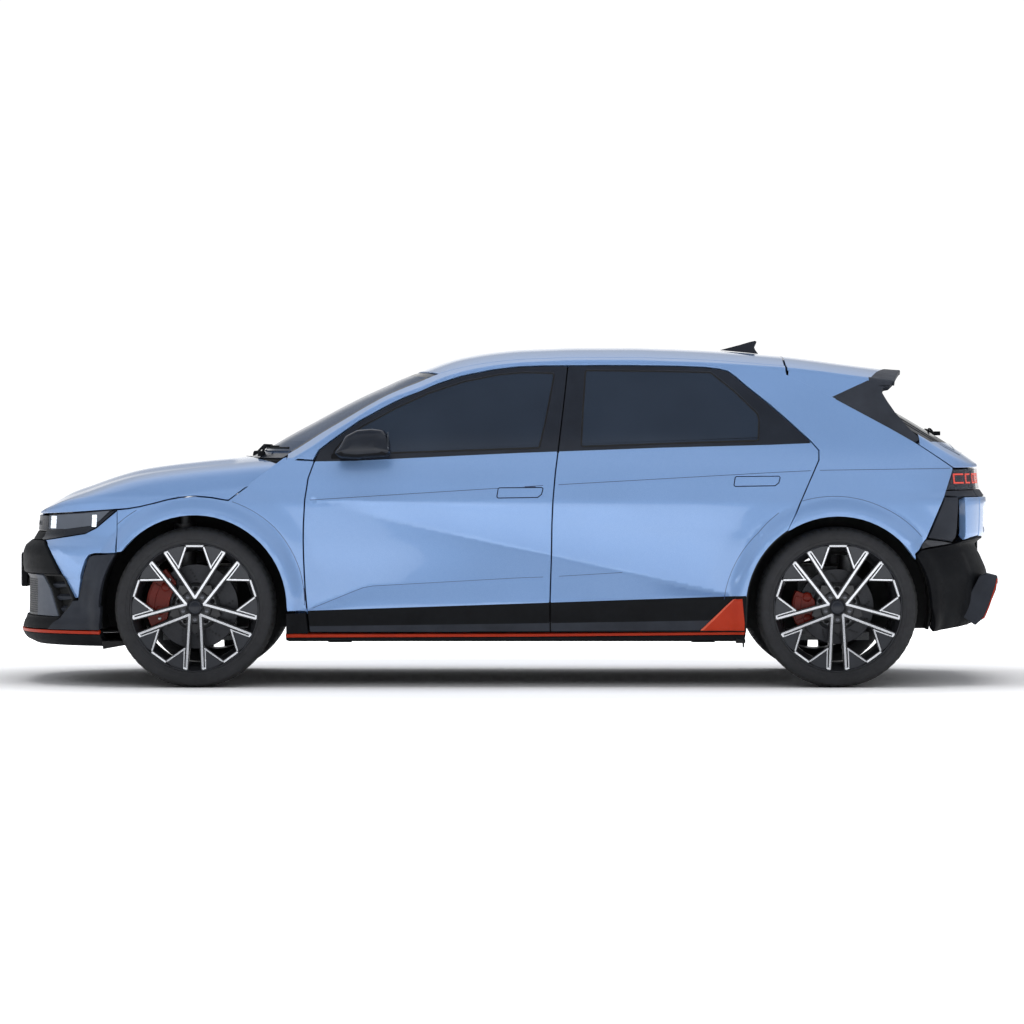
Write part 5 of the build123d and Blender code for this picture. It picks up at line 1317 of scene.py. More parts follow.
bm = bmesh.new()
prism(bm, rounded([(-152.5, 455), (152.5, 455), (152.5, 607), (-152.5, 607)], 12), lambda u, v, d: (d, u, v), -2362.2, -2365.4)
for sy in (-89, 89):
    for sz in (531 - 60.5, 531 + 60.5):
        turned(bm, [(0.001, -4.6), (5.0, -4.2), (6.6, -2.4), (6.8, 0)], lambda a, b, d, sy=sy, sz=sz: (-2365.4 + d, sy + a, sz + b), n=16, mat=1)
solid("front_number_plate", bm, "body", [PLATE, STEEL], bevel=0.8)
bm = bmesh.new()
for sgn_ in (-1, 1):
    prism(bm, [(-1912, 214), (-1906, 178), (-1800, 197), (-1806, 216)], lambda u, v, d: (u, d, v), sgn_ * 700, sgn_ * 896)
solid("front_wheel_deflectors", bm, "body", [UNDER], bevel=2.0)
bm = bmesh.new()
prism(bm, rounded([(-160, 449), (160, 449), (160, 613), (-160, 613)], 14), lambda u, v, d: (d, u, v), -2335, -2362)
solid("front_plate_bracket", bm, "body", [CLAD], bevel=2.0)

# ================================================================ tail end


def on_tail(points):
    return [(tail.u_of(x, z), z) for x, z in points]


def tail_fn(off=0.0, shape=None):
    return lambda u, z: tail(u, z, off + (shape(u, z) if shape else 0.0))


DGREY = [(2031, 889), (2098, 888.5), (2077, 686), (2072, 675), (1947, 696.5)]
WEDGE = [(1942, 689.5), (2070, 671), (1909, 648)]
u735 = tail.u_at_y(GATE_Y - 2, 800)
u2117 = tail.u_of(2110, 800)
BLOCK = [(u735 + 4, 888), (tail.u_of(2128, 888), 888), (tail.u_of(2119, 684), 684), (tail.u_of(2160, 694), 696), (tail.u_of(2206, 704), 706), (u735 + 4, 708)]
piece("rear_side_panels", patch(tail_fn(-1.0), on_tail(DGREY), step=16, gap=1.2, edge=3.0, depth=22), "body", [CLAD_GREY], both=True, hides=["rear_bumper"])
piece("rear_side_wedges", patch(tail_fn(2.0), on_tail(WEDGE), step=14, gap=1.0, edge=2.0, depth=16), "body", [ALLOY_MID], both=True)
piece("rear_corner_blocks", patch(tail_fn(4.0), BLOCK, step=14, gap=0.5, edge=4.0, depth=34), "body", [PAINT], both=True)
LOWER = ([(0.0, 506), (0.0, 690), (u735, 690)] + on_tail([(2110, 674), (2075, 668), (1907, 642), (1886, 625)] + arc(AXLE_R, ARCH_R + 3, 34, 0, 12) + [(1957, 256), (1975, 256)]) + [(tail.u_of(2170, 284), 284), (tail.u_at_y(560, 300), 300)])


def rear_shape(u, z):
    x, y, _ = tail(u, z)
    d = 0.0
    d -= 14.0 * smooth((u - tail.u_at_y(720, 500)) / 40) * smooth((520 - z) / 60) * (1 - smooth((u - tail.u_of(2060, 400)) / 80)) * 0.6
    d += 8.0 * smooth((640 - z) / 30) * smooth((u - tail.u_of(2150, 600)) / 60) * smooth((z - 420) / 120)
    return d


piece("rear_lower_bumper", patch(tail_fn(0.0, rear_shape), LOWER, step=17, gap=1.0, edge=3.5, depth=26, skip=lambda p, q: abs(p[0]) < 3 and abs(q[0]) < 3), "body", [CLAD], both=True)
shelf = patch(tail_fn(0.0), [(u735 + 3, 890)] + on_tail([(2100, 891), (2029, 897), (2039, 918)]) + [(tail.u_of(2150, 920), 920), (u735 + 3, 920)], step=14, gap=1.0, edge=2.5, depth=18)
piece("rear_lamp_shelves", shelf, "body", [CLAD_GREY], both=True)
LAMPR = [(u735 + 3, 922)] + on_tail([(2041, 922), (2062, 970), (2082, 1017)]) + [(u735 + 3, 1018)]
piece("rear_lamp_lenses", patch(tail_fn(-1.0), LAMPR, step=14, gap=1.0, edge=2.0, depth=6), "body", [LENS], both=True, hides=["tail_lamps"])
piece("rear_lamp_bowls", patch(tail_fn(-20.0), LAMPR, step=20, edge=0, depth=0), "body", [GLOSS], both=True)


def c_frames(u0, u1, z0, z1, off, w=7.0, cols=1, open_side=1):
    """A C of small lit tiles."""
    out = []
    fn = lambda u, z: tail(u, z, off)
    n = max(2, int((u1 - u0) / 13))
    for k in range(n):
        a = u0 + (u1 - u0) * k / n
        for zz in (z0, z1 - w):
            out.append(patch(fn, [(a + 1, zz), (a + (u1 - u0) / n - 1, zz), (a + (u1 - u0) / n - 1, zz + w), (a + 1, zz + w)], step=20, edge=0.5, depth=3))
    m = max(1, int((z1 - z0 - 2 * w) / 10))
    for k in range(m):
        z = z0 + w + (z1 - z0 - 2 * w) * k / m
        a = u1 - w * 1.3 if open_side > 0 else u0
        out.append(patch(fn, [(a, z + 1), (a + w * 1.3, z + 1), (a + w * 1.3, z + (z1 - z0 - 2 * w) / m - 1), (a, z + (z1 - z0 - 2 * w) / m - 1)], step=20, edge=0.5, depth=3))
    return merge(*out)


def x_u(x, z=970):
    return tail.u_of(x, z)


zt0, zt1 = 951.0, 998.0
p1 = c_frames(min(x_u(2138), x_u(2084)), max(x_u(2138), x_u(2084)), zt0, zt1, -7.0, open_side=1)
p2 = c_frames(u735 + 14, x_u(2150), zt0, zt1, -7.0, open_side=1)
p3 = c_frames(x_u(2130), x_u(2100), 928, 936, -7.0, w=4.0)
piece("rear_lamp_tiles", merge(p1, p2), "body", [RED_GLOW], both=True)

# ---------------------------------------------------------------- tailgate
GATE_CUT = [(1309, 1462), (1400, 1416), (1505, 1363), (1640, 1289), (1779, 1212), (1887, 1149), (1897, 1143), (2071, 1028), (2090, 1024), (2450, 1024)]
gate_cut = line([p[0] for p in GATE_CUT], [p[1] for p in GATE_CUT])
BACKZ = lambda x, y: back(x, y)
GATE_U = [0.0] + steps(26, tail.u_of(1915, 1140), 46)


def gate_floor(x, y):
    return 1024.0 if x > 2076 else gate_cut(x)


gcols, gplan = shell_half(tail, BACKZ, GATE_U, gate_floor, 16.0, gap=2.4)
GLASS_LOW = 2106.0
glass_side = line([1400, 1850, 2075, 2110], [540, 652, 690, 668])
gate_top_plan = [(gplan[0][0], 0.0)] + [q for q in gplan[1:] if q[0] > 1905]
last = gate_top_plan[-1]
def back_at(z, y):
    a_, b_ = 1700.0, 2200.0
    for _ in range(40):
        m = (a_ + b_) / 2
        a_, b_ = (m, b_) if back(m, y) > z else (a_, m)
    return a_


low_y = [0.0, -150.0, -300.0, -420.0, -520.0, -590.0, -640.0, gplan[-1][1] + 10]
low_z = [1139.0, 1139.0, 1140.0, 1141.0, 1143.0, 1145.0, 1146.0, 1147.0]
glass_line = [(back_at(z, y), y) for y, z in zip(low_y, low_z)]
WING_BLACK_MAT = grained("frit_band", lin(20, 22, 26), lin(28, 30, 35), 0.2, 0.3, 300, 4, 0.01, Specular_IOR_Level=0.08)
gate_upper = patch(lambda x, y: (x, y, back(x, y)), gate_top_plan + glass_line[::-1], step=18, gap=0, edge=0, depth=0)
piece("tailgate_upper_skin", merge(gate_upper, strip(gcols), edge_roll(glass_line[::-1], lambda x, y: (x, y, back(x, y)), left=False, r=2.5, depth=16)), "tailgate_body", [PAINT], both=True,
      hides=["tailgate"])
pane_out = [(1420, 0), (1420, -540), (1760, -640), (1840, -664), (1880, glass_line[-1][1])] + [(x - 3, y) for x, y in glass_line[::-1]]
pane_full = pane_out + [(x, -y) for x, y in pane_out[-2:0:-1]]
gz = rounded(ccw(pane_full), 12)
rg = patch(lambda x, y: (x, y, back(x, y) - 2.0), gz, zones=[(gz, 1), (grow(gz, -46), 0)], step=26, gap=1.0, edge=1.5, depth=4)
piece("tailgate_pane", rg, "tailgate_body", [REAR_GLASS, WING_BLACK_MAT], hides=["tailgate_glass"])

g_low = [(-u735 + 2, 700), (u735 - 2, 700), (u735 - 2, 889), (-u735 + 2, 889)]


def gate_shape(u, z):
    ay = abs(tail(u, z)[1])
    return -7.0 * smooth((560 - ay) / 30) * smooth((z - 716) / 24) * smooth((850 - z) / 30)


piece("tailgate_lower_skin", patch(tail_fn(4.0, gate_shape), g_low, step=18, gap=0.6, edge=4.0, depth=30), "tailgate_body", [PAINT])
piece("tailgate_shelf_trim", patch(tail_fn(0.0), [(-u735 + 2, 891), (u735 - 2, 891), (u735 - 2, 920), (-u735 + 2, 920)], step=18, gap=0.5, edge=2.5, depth=18), "tailgate_body", [CLAD_GREY])
gl = [(-u735 + 2, 922), (u735 - 2, 922), (u735 - 2, 1020), (-u735 + 2, 1020)]
piece("tailgate_lamp_lens", patch(tail_fn(-1.0), gl, step=20, gap=0.5, edge=2.0, depth=6), "tailgate_body", [LENS])
piece("tailgate_lamp_bowl", patch(tail_fn(-18.0), gl, step=40, edge=0, depth=0), "tailgate_body", [GLOSS])
tiles = []
for s in (-1, 1):
    for k in range(4):
        ya = 606 - k * 62
        ua, ub = tail.u_at_y(ya - 48, 970), tail.u_at_y(ya, 970)
        lo_, hi_ = (ua, ub) if s > 0 else (-ub, -ua)
        tiles.append(c_frames(lo_, hi_, zt0, zt1, -7.0, open_side=s))
piece("tailgate_lamp_tiles", merge(*tiles), "tailgate_body", [RED_GLOW])
gate_card = patch(tail_fn(-46.0), [(-u735 + 40, 712), (u735 - 40, 712), (u735 - 40, 1012), (-u735 + 40, 1012)], step=40, gap=0, edge=10, depth=24, face=-1.0)
piece("tailgate_inner_panel", gate_card, "tailgate_body", [CABIN])
gi_out = [(1330, -560), (1480, -600), (1850, -676), (2030, -676), (2110, -600), (2180, 0)]
gi_hole = [(1470, -500), (1850, -598), (2040, -632), (2088, -560), (2092, 0), (1470, 0)]
BI = lambda x, y: (x, y, min(back(x, y) - 30, roof(x, y) - 62))
gi_full = [(1330, 560)] + [(1330, -560)] + gi_out[1:] + [(x, -y) for x, y in gi_out[1:-1][::-1]]
gh_full = [(1470, -500), (1850, -598), (2040, -632), (2088, -560), (2088, 560), (2040, 632), (1850, 598), (1470, 500)]
piece("tailgate_inner_frame", patch(BI, gi_full, holes=[rounded(ccw(gh_full), 20)], step=34, edge=6, depth=20, face=-1.0), "tailgate_body", [CABIN])

# ---------------------------------------------------------------- roof spoiler and winglets
WING_BLACK = [(1505, 1355), (1730, 1457.5), (1776.5, 1486), (1800, 1520), (1990, 1520), (1990, 1120), (1880, 1140), (1779, 1205)]
E_r = lambda x: meet(roof, lambda z: (x, -side(x, z), z), 1200, 1640)
fin_top = [(x, E_r(x) - 13) for x in steps(1311, 1716, 20)]
FIN = GATE_CUT[:6] + [(1920, 1160), (1863, 1213), (1822, 1266), (1806, 1285), (1772, 1338), (1750, 1377), (1750.5, 1400), (1762, 1408), (1784, 1412), (1791, 1418), (1812, 1437)] + [(1790, E_r(1790) - 12), (1750, E_r(1750) - 13)] + fin_top[::-1]
fin = patch(SIDE, FIN, zones=[(WING_BLACK, 1)], step=14, gap=0, edge=0, depth=0)
fin_edge = edge_roll(GATE_CUT[:6] + [(1920, 1160), (1863, 1213), (1822, 1266), (1806, 1285), (1772, 1338), (1750, 1377), (1750.5, 1400), (1762, 1408), (1784, 1412), (1791, 1418), (1812, 1437)],
                     SIDE, left=area2(FIN) < 0, r=3, depth=34)
fe = list(fin_edge)
fe[3] = [1 if fin_edge[0][f[0]].x > 1520 else 0 for f in fin_edge[1]]
fcols = []
for x in steps(1306, 1806, 40):
    ze = E_r(x)
    r = 13.0
    za = ze - r
    a, na = Vector((x, -side(x, za), za)), side_normal(x, za)
    c = Vector((x, -side(x, ze), ze))
    yb = c.y + r * 1.3
    b, nb = Vector((x, yb, roof(x, yb))), top_normal(roof, x, yb)
    fcols.append([(a * (1 - t) ** 2 + c * 2 * t * (1 - t) + b * t * t, (na * (1 - t) + nb * t).normalized()) for t in steps(0, 1, 6)])
fin_round = strip(fcols)
fr = list(fin_round)
fr[3] = [1 if fin_round[0][f[0]].x > 1683 else 0 for f in fin_round[1]]
sp_rear = [(1886, 0), (1869, -200), (1838, -420), (1816, -560), (1808, -640), (1806, abs(fcols[-1][-1][0].y) * -1)]
sp_edge = [(c[-1][0].x, c[-1][0].y) for c in fcols][::-1]
sp_plan = sp_rear + sp_edge[1:] + [(1302, -560), (1302, 0)]
ROOF = lambda x, y: (x, y, roof(x, y))
black_top = [(1905, 10), (1819, 10), (1802, -150), (1777, -300), (1745, -430), (1715, -560), (1684, -690), (1680, -900), (1905, -900)]
sp_top = patch(ROOF, sp_plan, zones=[(black_top, 1)], step=22, gap=0, edge=0, depth=0)
sp_roll = edge_roll(sp_rear, ROOF, left=area2(sp_plan) < 0, r=5, depth=16)
sr = list(sp_roll)
sr[3] = [1] * len(sp_roll[1])
sp_front = edge_roll([(1302, 0), (1302, -300), (1302, -600), (1303, sp_edge[-1][1])], ROOF, left=True, r=3, depth=16)


def wing_low(x, y):
    z = roof(x, y) - 20 - 46 * smooth((1800 - x) / 300)
    return (x, y, max(z, back(x, y) + 2))


sp_under = patch(wing_low, [(1880, 0), (1850, -300), (1812, -560), (1790, -650), (1600, -640), (1420, -560), (1420, 0)], step=30, edge=0, depth=0, face=-1.0)
sp_under = (sp_under[0], sp_under[1], sp_under[2], [1] * len(sp_under[1]))
flip_n = [(-Vector(n) if Vector(n).z > 0 else Vector(n)) for n in sp_under[2]]
piece("roof_spoiler", merge(fin, tuple(fe), tuple(fr), sp_top, tuple(sr), sp_front), "tailgate_body", [PAINT, CLAD_GREY], both=True, hides=["rear_spoiler"])
piece("roof_spoiler_underside", sp_under, "tailgate_body", [CLAD, CLAD], both=True)
inner_fin = patch(lambda x, z: (x, -(side(x, z) - 34), z), grow(ccw([p for p in FIN if p[0] > 1480]), -3), step=24, edge=0, depth=0, face=-1.0)
piece("winglet_inner_faces", inner_fin, "tailgate_body", [CLAD_GREY], both=True)
stop = patch(lambda y, z: (1885.5 - 0.082 * abs(y), y, z), [(-190, roof(1884, 0) - 17), (190, roof(1884, 0) - 17), (190, roof(1884, 0) - 6), (-190, roof(1884, 0) - 6)], step=20, edge=1.5, depth=6)
piece("high_stop_lamp", stop, "tailgate_body", [RED_LENS])

# rear wiper, antenna
bm = bmesh.new()
tube(bm, [(2070, 40, back(2070, 40) + 16), (2060, -60, back(2060, -60) + 20), (2046, -300, back(2046, -300) + 15)], 6)
tube(bm, [(2044, -20, back(2044, -20) + 9), (2040, -300, back(2040, -300) + 8), (2034, -420, back(2034, -420) + 7)], 4.2)
turned(bm, [(0.001, 26), (15, 24), (20, 14), (22, -2)], lambda a, b, d: (2070 + a, 40 + b, back(2070, 40) + d), n=20)
block(bm, 2050, 2118, -28, 10, back(2085, 0) + 4, back(2085, 0) + 24)
bmesh.ops.translate(bm, verts=bm.verts, vec=(-0.034, 0, back(2036, 0) * 0.001 - back(2070, 0) * 0.001))
solid("rear_wiper", bm, "tailgate_body", [CLAD], bevel=1.5)
bm = bmesh.new()
prism(bm, [(1015, 1592), (1024, 1591), (1070, 1605), (1160, 1632), (1186, 1637.5), (1193, 1632), (1190, 1624), (1181, 1605), (1186, 1592), (1200, 1574)], lambda u, v, d: (u, d * (1 - 0.62 * smooth((v - 1588) / 46)), v), -20, 20)
solid("antenna_fin", bm, "body", [GLOSS], bevel=3.0, segments=3, hides=["antenna"])

# diffuser with its corner fins and orange edge
PROFILE = [(2108, 333), (2194, 500), (2202, 514), (2234, 528), (2278, 517), (2286, 512), (2286, 499), (2280, 450), (2224, 315), (2208, 306), (2182, 283)]
fin_x = lambda d: 2362 - 61 * (abs(d) / 640) ** 1.15 - 2286 - 1.5
bm = bmesh.new()
for s in (-1, 1):
    for k in range(6):
        d0, d1 = 598 + 20 * k, 598 + 20 * (k + 1)
        prism(bm, PROFILE, lambda u, v, d: (u + fin_x(d), d, v), s * d0, s * d1)
solid("diffuser_corner_fins", bm, "body", [CLAD_GREY], bevel=4.0, segments=3, hides=["rear_diffuser"])
bm = bmesh.new()
shell_x = lambda x, y: x - (61 * (abs(y) / 640) ** 1.15) * smooth((x - 2150) / 150)
SHELL = [(1995, 264), (2185, 288), (2224, 314), (2286, 400), (2330, 452), (2356, 474), (2359, 482), (2358, 496), (2352, 501), (2300, 503), (2262, 440), (2200, 336), (2176, 316), (1995, 290)]
dv, df = [], []
ys_ = steps(-598, 598, 61)
for y in ys_:
    dv.append([bm.verts.new(Vector((shell_x(x, y), y, z)) * 0.001) for x, z in rounded(SHELL, 5)])
for a, b in zip(dv, dv[1:]):
    for k in range(len(a)):
        m_ = (k + 1) % len(a)
        bm.faces.new((a[k], a[m_], b[m_], b[k]))
bm.faces.new(dv[0])
bm.faces.new(dv[-1][::-1])
for y in (-450, -270, -90, 90, 270, 450):
    prism(bm, [(2060, 268), (2180, 280), (2250, 320), (2318, 436), (2296, 446), (2200, 340), (2060, 292)], lambda u, v, d: (shell_x(u, d), d, v - 5), y - 5, y + 5)
bmesh.ops.recalc_face_normals(bm, faces=bm.faces)
solid("rear_diffuser_shell", bm, "body", [CLAD], bevel=2.0, segments=2)
bm = bmesh.new()
stripe = [(2287, 500), (2281, 470), (2262, 412), (2248, 370), (2226, 318), (2216, 312)]
for s in (-1, 1):
    poly = stripe + [(x - 5, z + 3) for x, z in stripe[::-1]]
    for k in range(6):
        d0, d1 = 597 + 20.6 * k, 597 + 20.6 * (k + 1)
        prism(bm, poly, lambda u, v, d: (u + fin_x(d) + 1.2, d, v), s * d0, s * d1)
bmesh.ops.recalc_face_normals(bm, faces=bm.faces)
solid("diffuser_orange_edges", bm, "body", [ORANGE])
bm = bmesh.new()
cols_ = []
for y in ys_:
    cols_.append([bm.verts.new(Vector((shell_x(x, y) + dx, y, z)) * 0.001) for x, dx, z in ((2358, 0.0, 474), (2358, 3.4, 476), (2358, 3.4, 489), (2358, 0.0, 491))])
for a, b in zip(cols_, cols_[1:]):
    for k in range(3):
        bm.faces.new((a[k], b[k], b[k + 1], a[k + 1]))
bmesh.ops.recalc_face_normals(bm, faces=bm.faces)
solid("diffuser_orange_line", bm, "body", [ORANGE])
bm = bmesh.new()
prism(bm, rounded([(-152.5, 524), (152.5, 524), (152.5, 676), (-152.5, 676)], 12), lambda u, v, d: (d, u, v), 2250.2, 2253.4)
for sy in (-89, 89):
    for sz in (600 - 60.5, 600 + 60.5):
        turned(bm, [(0.001, 4.6), (5.0, 4.2), (6.6, 2.4), (6.8, 0)], lambda a, b, d, sy=sy, sz=sz: (2253.4 + d, sy + a, sz + b), n=16, mat=1)
solid("rear_number_plate", bm, "body", [PLATE, STEEL], bevel=0.8)
bm = bmesh.new()
prism(bm, rounded([(-160, 518), (160, 518), (160, 682), (-160, 682)], 14), lambda u, v, d: (d, u, v), 2212, 2250)
solid("rear_plate_bracket", bm, "body", [CLAD], bevel=2.0)

# ================================================================ wheels
NUT = metal("wheel_nut_steel", lin(84, 86, 91), lin(112, 114, 120), 0.2, 0.3, (80, 80, 80), 0.05)


def face_d(r):
    """How far out the spokes' face stands at radius r."""
    return 98.0 + 22.0 * smooth((r - 60) / 230.0)


def polar(r, a):
    return Vector((r * cos(radians(a)), r * sin(radians(a))))


def bar(p, q, w0, w1=None):
    w1 = w0 if w1 is None else w1
    d = (q - p).normalized()
    n = Vector((-d.y, d.x))
    return [tuple(p + n * w0 / 2), tuple(q + n * w1 / 2), tuple(q - n * w1 / 2), tuple(p - n * w0 / 2)]


def split_bar(poly, n=5):
    """A four-cornered bar cut across into n, so that it can follow a curved face."""
    a, b, c, d = (Vector(p) for p in poly)
    up = [tuple(a.lerp(b, k / n)) for k in range(n + 1)]
    return up + [tuple(c.lerp(d, k / n)) for k in range(n + 1)]


def wheel(tag, cx, sgn, disc_r, wheel_body, carrier, cad, disc_hub=62.0):
    """A road wheel; sgn is -1 on the left, and d runs outwards from the wheel's middle."""
    place = lambda a, b, d: (cx + a, sgn * (WHEEL_Y + d), HUB_Z + b)
    on_face = lambda a, b, d: place(a, b, face_d(hypot(a, b)) + d)
    # tyre
    prof = [(299, -124), (303, -130), (312, -134.5), (326, -137), (342, -135.5), (356, -129), (366, -118), (371.5, -104), (374, -88), (375, -66), (370.5, -64.5), (368, -61), (368, -55), (370.5, -52), (375, -50),
            (375, -22), (370.5, -20), (368, -17), (368, -11), (370.5, -8), (375, -6), (375, 6), (370.5, 8), (368, 11), (368, 17), (370.5, 20), (375, 22), (375, 50), (370.5, 52), (368, 55), (368, 61), (370.5, 64.5), (375, 66),
            (374, 88), (371.5, 104), (366, 118), (360, 125), (356, 129), (350, 132.6), (342, 135.5), (334, 136.6), (326, 137), (321, 136.2), (319, 134.6), (316, 135.2), (312, 134.5), (306, 131.5), (303, 130), (301.5, 126), (299.5, 124)]
    n = 240
    bm = bmesh.new()
    cols = []
    for i in range(n):
        a = 2 * pi * i / n
        col = []
        for r, d in prof:
            rr, dd = r, d
            k = i % 4
            if 88 <= abs(d) <= 119 and k == 0:
                rr -= 5.0
            elif 22 <= abs(d) <= 50 and i % 8 == (0 if d > 0 else 4):
                rr -= 4.0
            elif abs(d) <= 6 and i % 8 == 2:
                rr -= 3.0
            if 340 < r < 358 and d > 120 and i % 2 == 0:
                dd -= 0.7
            col.append(bm.verts.new(Vector(place(rr * cos(a), rr * sin(a), dd)) * 0.001))
        cols.append(col)
    for i in range(n):
        j = (i + 1) % n
        for k in range(len(prof) - 1):
            f = bm.faces.new((cols[i][k], cols[j][k], cols[j][k + 1], cols[i][k + 1]))
            f.material_index = 1 if prof[k][0] > 360 and abs(prof[k][1]) < 121 else 0
    ty = solid(tag + "_tyre_visual", bm, wheel_body, [RUBBER, TREAD], angle=28, hides=[cad[0]])
    # rim barrel and lip
    bm = bmesh.new()
    turned(bm, [(294, 117), (299.5, 121), (301.5, 124.5), (300, 128), (297.5, 129), (295.6, 127), (294.6, 119), (291, 112), (284, 104), (276, 90), (268, 66), (262, 30), (259, -20), (259, -80), (264, -100), (280, -112), (290, -122), (300, -126), (301, -121), (294, -119)], place, n=144)
    turned(bm, [(295.6, 127.2), (297.4, 129.2), (299.0, 128.9)], place, n=144, mat=1)
    solid(tag + "_rim_barrel", bm, wheel_body, [ALLOY_DARK, ALLOY_MID], angle=30, hides=[cad[1]])
    # spokes
    dark, cut, fill = bmesh.new(), bmesh.new(), bmesh.new()
    for g in (90, 162, 234, 306, 18):
        for s in (-1, 1):
            apex, tip = polar(43, g), polar(292, g + 28.5 * s)
            d = (tip - apex).normalized()
            nrm = Vector((-d.y, d.x)) * (-s)
            start = apex - d * 2
            prism(dark, split_bar(bar(start, tip + d * 3, 25, 19)), on_face, -46, -2.6)
            prism(dark, split_bar(bar(start, tip + d * 2, 17, 15.4)), on_face, -2.6, -0.4)
            prism(cut, split_bar(bar(start, tip, 11.4, 9.8)), on_face, -0.6, 0.9)
            q = polar(193, g + 24.0 * s)
            inner = nrm * 13.5
            t0, t1 = polar(196, g + 24.2 * s) + inner * 0.62, tip - d * 9 + inner
            prism(cut, split_bar(bar(t0, t1, 5.6), 3), on_face, -2.0, 0.6)
            prism(cut, bar(tip - d * 6 + inner * 1.15, tip - d * 1.5 - nrm * 2, 9, 9), on_face, -1.0, 0.9)
            c = polar(288, g + 8.2 * s)
            prism(cut, split_bar(bar(q + (c - q).normalized() * 5, c - (c - q).normalized() * 4, 7.4), 3), on_face, -1.8, 0.6)
            prism(dark, split_bar(bar(q, c, 15.0), 3), on_face, -34, -2.4)
            tri = [tuple(q + nrm * 2), tuple(tip + d * 2), tuple(polar(297, g + 18 * s)), tuple(c + d * 2)]
            prism(fill, tri if s * 1 > 0 else tri[::-1], on_face, -26, -4.2)
        a, b = polar(289, g - 8.1), polar(289, g + 8.1)
        prism(cut, split_bar(bar(a, b, 8.6), 4), on_face, -1.6, 0.8)
        prism(dark, bar(polar(291, g - 9), polar(291, g + 9), 19), on_face, -34, -2.4)
    # hub
    turned(dark, [(30, 20), (74, 20), (84, 60), (80, 84), (74, 93), (64, 96.5), (46, 97.5), (41, 95), (39, 91), (36, 90)], place, n=80)
    for g in (54, 126, 198, 270, 342):
        web = [tuple(polar(52, g - 33)), tuple(polar(112, g - 10)), tuple(polar(126, g)), tuple(polar(112, g + 10)), tuple(polar(52, g + 33))]
        prism(dark, web, on_face, -44, -16)
    solid(tag + "_spokes", dark, wheel_body, [ALLOY_DARK], bevel=1.6, segments=2, angle=40)
    solid(tag + "_spoke_faces", cut, wheel_body, [ALLOY_CUT], bevel=0.7, segments=2, angle=40)
    solid(tag + "_spoke_webs", fill, wheel_body, [ALLOY_MID], bevel=1.4, segments=2, angle=40)
    bm = bmesh.new()
    turned(bm, [(0.001, 96.5), (20, 96.2), (29, 95.0), (32.6, 92.5), (33.5, 88), (33.5, 80)], place, n=64)
    turned(bm, [(24.0, 96.1), (25.2, 96.7), (26.4, 96.0)], place, n=64, mat=1)
    turned(bm, [(34.6, 94), (36.6, 95.4), (38.6, 94), (39, 88)], place, n=64, mat=2)
    solid(tag + "_centre_cap", bm, wheel_body, [GLOSS, ALLOY_MID, ALLOY_DARK])
    bm = bmesh.new()
    for g in (54, 126, 198, 270, 342):
        c = polar(58, g)
        turned(bm, [(13.5, 84), (13.2, 92), (12.6, 93)], lambda a, b, d: place(c.x + a, c.y + b, d), n=28, mat=1)
        hexa = [(c.x + 9.6 * cos(radians(60 * k + g)), c.y + 9.6 * sin(radians(60 * k + g))) for k in range(6)]
        prism(bm, hexa, place, 82, 97)
        turned(bm, [(0.001, 101), (6, 100.6), (8.6, 99)], lambda a, b, d: place(c.x + a, c.y + b, d), n=20)
    solid(tag + "_wheel_nuts", bm, wheel_body, [NUT, ALLOY_DARK], bevel=0.8, angle=30)
    # brake disc
    bm = bmesh.new()
    R = disc_r
    for d0, d1 in ((8, 0), (-10, -18)):
        turned(bm, [(112, d0), (R - 1.5, d0), (R, d0 - 1.5), (R, d1 + 1.5), (R - 1.5, d1), (112, d1), (112, d0)], place, n=96)
    for k in range(40):
        a = radians(9 * k)
        p, q = Vector((cos(a), sin(a))) * 116, Vector((cos(a + 0.12), sin(a + 0.12))) * (R - 4)
        prism(bm, bar(p, q, 5), place, -10.4, 0.4)
    for k in range(12):
        a = radians(30 * k)
        for m in range(4):
            p = Vector((cos(a + 0.05 * m), sin(a + 0.05 * m))) * (126 + m * (R - 142) / 3.6)
            turned(bm, [(0.001, 8.25), (4.2, 8.25)], lambda u, v, d, p=p: place(p.x + u, p.y + v, d), n=10, mat=1)
    turned(bm, [(112, 8), (114, 10), (112, 14), (108, 22), (100, 40), (96, 46), (60, 46), (56, 40)], place, n=72, mat=2)
    for k in range(10):
        p = polar(84, 36 * k)
        turned(bm, [(0.001, 49), (5, 49), (6.5, 47), (7, 45.6)], lambda u, v, d, p=p: place(p.x + u, p.y + v, d), n=12, mat=3)
    for k in range(5):
        p = polar(84, 72 * k + 18)
        turned(bm, [(0.001, 46.3), (11, 46.3)], lambda u, v, d, p=p: place(p.x + u, p.y + v, d), n=20, mat=1)
    solid(tag + "_brake_disc", bm, wheel_body, [BRAKE_DISC_PAINTED_SHADE, UNDER, CAST, STEEL], angle=30)
